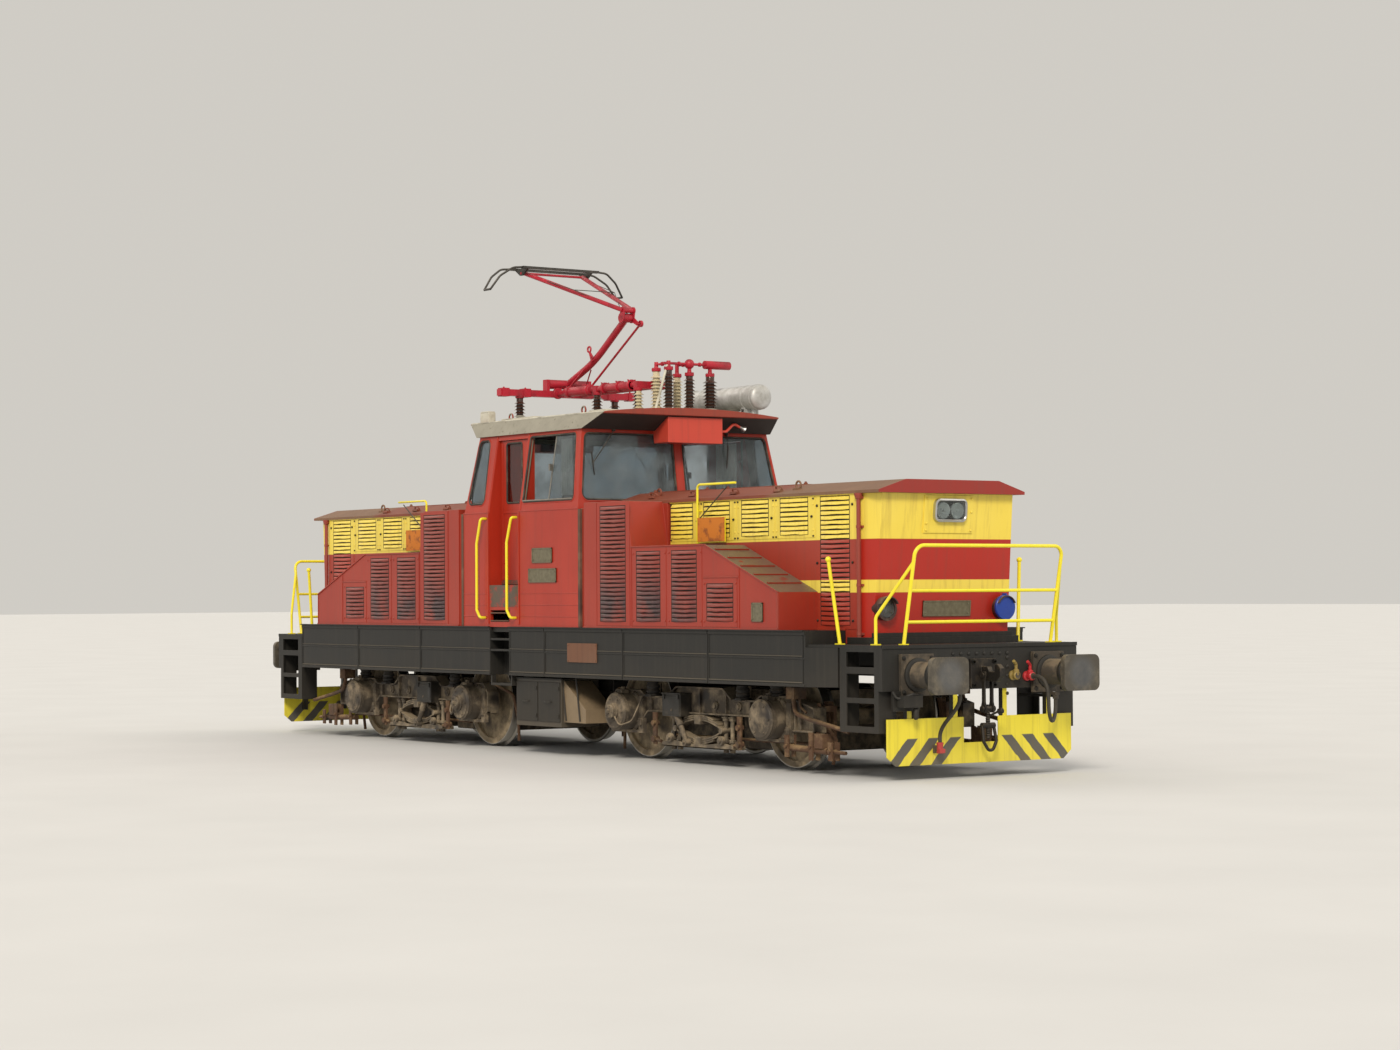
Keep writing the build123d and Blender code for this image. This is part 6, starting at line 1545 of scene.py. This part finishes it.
# Faces that look down or towards the ends, below the red lip, are painted near-black as painted shade under
# the visors.
endwise = add(roof_grey, "Math", {0: roof_facing["X"]}, operation="ABSOLUTE")[0]
past_front = add(roof_grey, "Math", {0: endwise, 1: 0.45}, operation="GREATER_THAN")[0]
hanging = add(roof_grey, "Math", {0: roof_facing["Z"], 1: -0.5}, operation="LESS_THAN")[0]
shaded_faces = add(roof_grey, "Math", {0: past_front, 1: hanging}, operation="MAXIMUM")[0]
painted_shade_black = blend(roof_grey, roof_cloud, "241F1D", "3A302C")
roof_lip = add(roof_grey, "Math", {0: roof_where["Z"], 1: 3.962}, operation="GREATER_THAN")[0]
red_lip = add(roof_grey, "Math", {0: past_front, 1: roof_lip}, operation="MULTIPLY")[0]
roof_colour = blend(roof_grey, red_lip, blend(roof_grey, shaded_faces, pale, painted_shade_black), "8A3326")
roof_bump = add(roof_grey, "Bump", {"Strength": 0.5, "Distance": 0.002, "Height": roof_grit})[0]
add(roof_grey, "BsdfPrincipled", {"Base Color": roof_colour, "Roughness": 0.75, "Normal": roof_bump})
dress("cab_roof", roof_grey, edge=0.004)


roof_half, roof_edge_z, roof_crown = 1.24, 3.98, 0.07


def roof_top(y):
    """The height of the curved roof so far from its middle line."""
    return roof_edge_z + roof_crown * (1 - (y / roof_half) ** 2)


# Edges of the roof: a red-brown angle along each visor, a lip along the side fascia, and sheet joints.
# Small hatches and boxes in old white enamel stand between them.
def build_visor_edges(mesh):
    curve = [(y / 10, roof_top(y / 10) + 0.006) for y in range(12, -13, -2)]
    outline = [(-roof_half, 3.968), (roof_half, 3.968), (roof_half, 3.984)] + curve + [(-roof_half, 3.984)]
    add_plate(mesh, outline, "yz", 1.497, 0.016)


def build_roof_sheets(mesh):
    for x in (-1.1, -0.45, 0.2, 0.85):
        add_tube(mesh, [(x, y / 10, roof_top(y / 10) + 0.002) for y in range(-12, 13, 2)], 0.006, 6)
    for side in (-1, 1):
        add_tube(mesh, [(-1.49, side * 1.236, 3.985), (1.49, side * 1.236, 3.985)], 0.010, 8)
        low, high = sorted((side * 1.02, side * 1.14))
        add_block(mesh, (-0.95, low, 3.99), (-0.20, high, 4.022))
    add_block(mesh, (-1.42, -1.16, 3.99), (-1.22, -1.06, 4.12))
    add_block(mesh, (-1.40, -1.165, 4.12), (-1.24, -1.055, 4.135))
    for x, y in ((-0.60, -0.30), (-0.60, 0.30), (0.35, 0.45)):
        add_block(mesh, (x - 0.16, y - 0.11, roof_top(y) - 0.01), (x + 0.16, y + 0.11, roof_top(y) + 0.045))
    add_block(mesh, (0.62, -0.88, roof_top(0.88) - 0.01), (0.98, -0.70, roof_top(0.8) + 0.03))


visor_red = painted("brown_red_visor_edge", "8E3828", gloss=0.5, wave=0.002, dust_top=1.0, worn=0.5)
on_body("visor_edges", OTHER_END, build_visor_edges, visor_red, 0.002)
white_enamel, _ = dusty_metal("aged_white_enamel", "C9C6B8", "A49E8C", "7B7568", 0.3, 0.6)
on_body("cab_roof_fittings", (), build_roof_sheets, white_enamel, 0.003)


# Roof insulators: glazed porcelain, turned with sheds and fired dark brown. Two stand-offs of the
# switch are cream, and each has a grey cast foot bolted to the roof.
porcelain = new_material("glazed_porcelain_and_grey_feet")
glaze_place = add(porcelain, "TexCoord", {})["Object"]
glaze_where = add(porcelain, "SeparateXYZ", {0: glaze_place})
glaze_cloud = add(porcelain, "TexNoise", {"Vector": glaze_place, "Scale": across(70), "Detail": 6})["Fac"]
foot_share = add(porcelain, "MapRange", scaled(glaze_where["Z"], 4.098, 4.094))[0]
past_posts = add(porcelain, "Math", {0: glaze_where["X"], 1: 0.74}, operation="SUBTRACT")[0]
off_posts = add(porcelain, "Math", {0: past_posts}, operation="ABSOLUTE")[0]
cream_share = add(porcelain, "MapRange", scaled(off_posts, 0.121, 0.12))[0]
brown_glaze = blend(porcelain, glaze_cloud, "2A1A15", "4A3228")
cream_glaze = blend(porcelain, glaze_cloud, "B3A684", "DCD2B6")
body_glaze = blend(porcelain, cream_share, brown_glaze, cream_glaze)
glaze_colour = blend(porcelain, foot_share, body_glaze, blend(porcelain, glaze_cloud, "85857C", "AEAC9F"))
glaze_dull = add(porcelain, "MapRange", {"Value": foot_share, "To Min": 0.16, "To Max": 0.7})[0]
add(porcelain, "BsdfPrincipled", {"Base Color": glaze_colour, "Roughness": glaze_dull, "Coat Weight": 0.3})
dress("roof_insulators", porcelain, edge=0.003)


# Current collector and roof wiring: steel tube painted crimson and dulled by the carbon dust that settles
# on what faces up. The head is bare steel, black with carbon.
def collector_paint(name, colour, dark, gloss=0.42):
    material = new_material(name)
    place = add(material, "TexCoord", {})["Object"]
    cloud = add(material, "TexNoise", {"Vector": place, "Scale": across(220), "Detail": 6,
                                       "Roughness": 0.65})["Fac"]
    flakes = add(material, "TexNoise", {"Vector": place, "Scale": across(26), "Detail": 7,
                                        "Roughness": 0.7})["Fac"]
    up = add(material, "SeparateXYZ", {0: add(material, "NewGeometry", {})["Normal"]})["Z"]
    upward = add(material, "Math", {0: up, 1: 0.16}, operation="MULTIPLY")[0]
    settled = add(material, "Math", {0: cloud, 1: upward})[0]
    sooted = add(material, "MapRange", {**scaled(settled, 0.48, 0.74), "To Max": 0.75})[0]
    chipped = add(material, "MapRange", scaled(flakes, 0.68, 0.70))[0]
    shade = blend(material, chipped, blend(material, sooted, colour, dark), "7A6A60")
    dull = add(material, "MapRange", {"Value": sooted, "To Min": gloss, "To Max": 0.8})[0]
    bump = add(material, "Bump", {"Strength": 0.3, "Distance": 0.001, "Height": flakes})[0]
    add(material, "BsdfPrincipled", {"Base Color": shade, "Roughness": dull, "Normal": bump})
    return material


crimson = collector_paint("crimson_collector_paint", "AE1B30", "5E1C24")
for node in ("pantograph_base", "pantograph_lower_arm", "pantograph_upper_arm", "pantograph_control_rod",
             "roof_conductors"):
    dress(node, crimson, edge=0.003)
carbon_steel, _ = dusty_metal("carbon_black_strip_steel", "4A4845", "66625A", "232220", 0.3, 0.5, 0.6)
dress("collector_head", carbon_steel, edge=0.002)


# x, y and z of each insulator's head
insulator_heads = [(-1.24, -0.70, 4.318), (-1.24, 0.70, 4.318), (-0.30, -0.17, 4.318), (0.60, -0.17, 4.318),
                   (0.74, 0, 4.545), (0.74, 0.30, 4.485), (1.0, 0, 4.545), (1.0, 0.30, 4.485),
                   (1.0, 0.60, 4.485)]


def build_insulator_caps(mesh):
    for x, y, z in insulator_heads:
        add_turned(mesh, [(0.052, -0.008), (0.056, 0.0), (0.056, 0.028), (0.03, 0.036), (0.026, 0.05)],
                   (x, y, z), UP, 14)
        for turn in range(4):
            a = math.pi / 4 + turn * math.pi / 2
            spot = (x + 0.044 * math.cos(a), y + 0.044 * math.sin(a), z + 0.026)
            add_turned(mesh, [(0.009, 0), (0.009, 0.010), (0.004, 0.012)], spot, UP, 6)


on_body("insulator_caps", (), build_insulator_caps, crimson, 0.001)


# Small parts of the roof gear: copper links between the switch posts, bolted clamps on the beams, thin
# lifting rods beside the arm, and a grey insulated rod that throws the switch.
def build_clamps(mesh):
    for x in (-1.20, -0.92, -0.48, -0.12, 0.20, 0.46):
        add_turned(mesh, [(0.066, -0.02), (0.070, -0.015), (0.070, 0.015), (0.066, 0.02)], (x, -0.17, 4.385),
                   AHEAD, 16)
        for side in (-1, 1):
            add_turned(mesh, [(0.011, 0), (0.011, 0.012), (0.005, 0.015)], (x, -0.17 + side * 0.05, 4.44), UP,
                       6)
    for y in (-0.93, -0.62, 0.62, 0.93):
        add_block(mesh, (-1.30, y - 0.05, 4.325), (-1.18, y + 0.05, 4.43))
        add_turned(mesh, [(0.012, 0), (0.012, 0.014), (0.005, 0.017)], (-1.24, y, 4.43), UP, 6)
    for y in (-0.13, 0.13):
        add_tube(mesh, [(-1.05, y, 4.42), (-0.78, y * 0.4, 4.66)], 0.009, 6)
    for x, y in ((1.0, 0.15), (1.0, 0.45), (0.87, 0.0), (0.87, 0.30)):
        add_turned(mesh, [(0.026, -0.012), (0.026, 0.012)], (x, y, 4.62), FAR if x == 1.0 else AHEAD, 12)


def build_throw_rod(mesh):
    add_tube(mesh, [(1.02, -0.20, 4.07), (1.0, -0.02, 4.60)], 0.016, 10)
    add_turned(mesh, [(0.03, 0), (0.03, 0.02), (0.02, 0.03)], (1.022, -0.21, 4.04), UP, 12)


on_body("roof_gear_clamps", (), build_clamps, crimson, 0.0015)
on_body("switch_rod", (), build_throw_rod, white_enamel, 0.001)


# Fittings of the arms: a forged lever with an eye halfway up the lower arm, painted crimson with it, and
# thin steel wires that stay the upper arm.
lower_eye = bmesh.new()
eye_angles = [i * math.pi / 6 for i in range(12)]
eye = [Vector((-0.66 + 0.035 * math.cos(a), -0.05, 4.90 + 0.035 * math.sin(a))) for a in eye_angles]
add_tube(lower_eye, eye, 0.012, 6, closed=True)
add_tube(lower_eye, [(-0.65, -0.05, 4.87), (-0.60, -0.05, 4.75), (-0.52, -0.02, 4.80)], 0.016, 8)
add_tube(lower_eye, [(-0.65, -0.05, 4.87), (-0.56, -0.05, 4.78)], 0.012, 8)
make_piece(lower_eye, "lower_arm_eye", "lower_arm", crimson)
stay_wires = bmesh.new()
wire_radius = 0.005
for side in (-1, 1):
    spreader = (-0.62, -side * 0.30, 5.62)
    add_tube(stay_wires, [(0.08, side * 0.05, 5.28), spreader, (-1.46, -side * 0.40, 5.86)], wire_radius, 5)
    add_tube(stay_wires, [spreader, (-0.62, side * 0.30, 5.62)], wire_radius, 5)
make_piece(stay_wires, "upper_arm_stays", "upper_arm", carbon_steel)


# Air tank: rolled aluminium sheet with dished ends, on two saddles with strap bands. The metal has gone dull
# in patches and is slightly dented.
tank_metal = new_material("weathered_aluminium_tank")
tank_place = add(tank_metal, "TexCoord", {})["Object"]
tank_cloud = add(tank_metal, "TexNoise", {"Vector": tank_place, "Scale": across(150), "Detail": 7,
                                          "Roughness": 0.65})["Fac"]
tank_wipe = add(tank_metal, "MapRange", scaled(tank_cloud, 0.35, 0.72))[0]
tank_dull = add(tank_metal, "MapRange", {"Value": tank_wipe, "To Min": 0.38, "To Max": 0.62})[0]
tank_dents = add(tank_metal, "Bump", {"Strength": 0.5, "Distance": 0.003, "Height": tank_cloud})[0]
add(tank_metal, "BsdfPrincipled", {"Base Color": blend(tank_metal, tank_wipe, "C9CBCC", "959590"),
                                   "Roughness": tank_dull, "Metallic": 0.35, "Normal": tank_dents})
dress("air_tank", tank_metal, edge=0.003)
tank_bands = bmesh.new()
for x in (0.17, 0.35, 1.25, 1.43):
    add_turned(tank_bands, [(0.149, -0.018), (0.154, -0.016), (0.154, 0.016), (0.149, 0.018)],
               (x, 1.0, 4.225), AHEAD, 36)
for x in (0.35, 1.25):
    add_block(tank_bands, (x - 0.045, 0.90, 4.0), (x + 0.045, 1.10, 4.09))
add_tube(tank_bands, [(1.36, 0.98, 4.11), (1.36, 0.98, 3.99)], 0.028, 10)
make_piece(tank_bands, "tank_bands", "locomotive", tank_metal, 0.001)


# Underfloor: a battery and valve box on each side, folded sheet in black with a tan dusty chute beside it,
# and the transformer tank between the bogies.
chute_tan = new_material("black_box_and_tan_chute")
chute_place = add(chute_tan, "TexCoord", {})["Object"]
chute_where = add(chute_tan, "SeparateXYZ", {0: chute_place})
chute_cloud = add(chute_tan, "TexNoise", {"Vector": chute_place, "Scale": across(240), "Detail": 7,
                                          "Roughness": 0.65})["Fac"]
chute_side = add(chute_tan, "Math", {0: chute_where["Y"]}, operation="SIGN")[0]
chute_sign = add(chute_tan, "Math", {0: chute_side, 1: -1.0}, operation="MULTIPLY")[0]
chute_along = add(chute_tan, "Math", {0: chute_where["X"], 1: chute_sign}, operation="MULTIPLY")[0]
chute_x = add(chute_tan, "Math", {0: chute_along, 1: 0.815}, operation="GREATER_THAN")[0]
box_black = blend(chute_tan, chute_cloud, "2B2A27", "4A453B")
chute_colour = blend(chute_tan, chute_x, box_black, blend(chute_tan, chute_cloud, "6E5E49", "9A876B"))
coat(chute_tan, chute_colour, gloss=0.5, wave=0.003, dust_top=0.9, dust="6B5E4C", streak="4E4436", worn=0.45)
dress("underfloor_boxes", chute_tan, edge=0.005)
dress("transformer", black_paint, edge=0.01)


def build_underfloor_trim(mesh):
    for start, end in ((-0.17, 0.30), (0.32, 0.79)):
        add_block(mesh, (start, -1.412, 0.40), (end, -1.40, 0.86))
        for z in (0.47, 0.79):
            add_block(mesh, (end - 0.05, -1.422, z - 0.02), (end - 0.01, -1.412, z + 0.02))
        one, other = (start + end) / 2 - 0.06, (start + end) / 2 + 0.06
        handle = [(one, -1.412, 0.63), (one, -1.44, 0.63), (other, -1.44, 0.63), (other, -1.412, 0.63)]
        add_tube(mesh, rounded(handle, 0.01), 0.006, 6)
    for x in (0.86, 1.16):
        add_tube(mesh, [(x, -1.365, 0.42), (x - 0.10, -1.365, 1.02)], 0.012, 8)
    add_block(mesh, (-0.20, -1.405, 0.885), (0.82, -1.30, 0.905))
    for x in (-0.62, 0.62):
        for z in (0.55, 0.75, 0.95):
            add_block(mesh, (x - 0.34, -0.822, z - 0.012), (x + 0.34, -0.79, z + 0.012))


on_body("underfloor_covers", OTHER_END, build_underfloor_trim, black_paint, 0.002)


# Signal frames: bent yellow tube on the hood doors that carries a blank board on each side. The board is
# orange and rusts through in patches.
dress("signal_frames", rail_yellow, edge=0.002)
board_orange = new_material("rusty_orange_board")
board_place = add(board_orange, "TexCoord", {})["Object"]
board_cloud = add(board_orange, "TexNoise",
                  {"Vector": board_place, "Scale": across(110), "Detail": 7, "Roughness": 0.65})["Fac"]
board_rust = add(board_orange, "MapRange", scaled(board_cloud, 0.50, 0.62))[0]
board_bump = add(board_orange, "Bump", {"Strength": 0.5, "Distance": 0.001, "Height": board_cloud})[0]
add(board_orange, "BsdfPrincipled", {"Base Color": blend(board_orange, board_rust, "C9761F", "8A4A1E"),
                                     "Roughness": 0.7, "Normal": board_bump})


def build_signal_board(mesh):
    add_block(mesh, (3.045, -1.0195, 2.462), (3.56, -1.003, 2.718))
    for z in (2.458, 2.710):
        add_block(mesh, (3.042, -1.021, z), (3.563, -1.0195, z + 0.012))


on_body("signal_boards", [TURN @ MIRROR], build_signal_board, board_orange, 0.001)
stays = bmesh.new()
for place in (HERE, TURN @ MIRROR):
    add_tube(stays, [place @ Vector((3.10, -1.02, 2.72)), place @ Vector((3.62, -1.02, 3.055))], 0.007, 6)
make_piece(stays, "signal_frame_stays", "locomotive", carbon_steel)


# Free brake hoses: black rubber over canvas, one hung in a loop behind each buffer and one led down
# to a hook on the plough. Each is a cord of the length that its route gives.
far_route = [
    (6.76, 0.6, 1.02), (6.85, 0.6, 1.02), (6.932, 0.6, 0.978), (6.98, 0.6, 0.898),
    (6.99, 0.602, 0.79), (6.988, 0.606, 0.69), (6.96, 0.644, 0.608), (6.911, 0.71, 0.56),
    (6.854, 0.786, 0.56), (6.805, 0.851, 0.608), (6.776, 0.889, 0.69), (6.776, 0.889, 0.78),
]
near_route = [
    (6.76, -0.56, 1.02), (6.85, -0.56, 1.02), (6.932, -0.56, 0.978), (6.978, -0.562, 0.895),
    (6.976, -0.567, 0.795), (6.925, -0.585, 0.705), (6.852, -0.605, 0.627), (6.776, -0.62, 0.548),
    (6.73, -0.626, 0.465), (6.73, -0.626, 0.378),
]


def bent_hose(points, steps=7):
    """The hose's centre line. Each corner takes an arc that starts at 0.45 of the shorter run beside it."""
    points = [Vector(p) for p in points]
    line = [points[0]]
    for before, corner, after in zip(points, points[1:], points[2:]):
        reach = 0.45 * min((before - corner).length, (after - corner).length)
        half = (before - corner).angle(after - corner) / 2
        bend = reach * math.tan(half)
        start = corner + (before - corner).normalized() * reach
        end = corner + (after - corner).normalized() * reach
        centre = corner + ((start + end) / 2 - corner).normalized() * math.hypot(bend, reach)
        for step in range(steps + 1):
            share = step / steps
            line.append(centre + (start - centre).lerp(end - centre, share).normalized() * bend)
    return line + [points[-1]]


hose_rubber = new_material("dusty_hose_rubber")
hose_place = add(hose_rubber, "TexCoord", {})["Object"]
hose_dust = add(hose_rubber, "TexNoise", {"Vector": hose_place, "Scale": across(90), "Detail": 6})["Fac"]
hose_ribs = add(hose_rubber, "TexNoise", {"Vector": hose_place, "Scale": across(5), "Detail": 2})["Fac"]
hose_bump = add(hose_rubber, "Bump", {"Strength": 0.5, "Distance": 0.001, "Height": hose_ribs})[0]
add(hose_rubber, "BsdfPrincipled", {"Base Color": blend(hose_rubber, hose_dust, "1C1B1A", "4C473E"),
                                    "Roughness": 0.7, "Normal": hose_bump})
for end, turn in (("front", HERE), ("rear", TURN)):
    for side, route in (("far", far_route), ("near", near_route)):
        line = [turn @ point for point in bent_hose(route)]
        tube = bmesh.new()
        add_tube(tube, line, 0.02, 14)
        kept_side = side if end == "front" else {"near": "far", "far": "near"}[side]
        hose = make_piece(tube, f"free_hose_{end}_{kept_side}", "locomotive", hose_rubber,
                          smooth=60)
        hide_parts(f"brake_hose_{end}_{kept_side}")
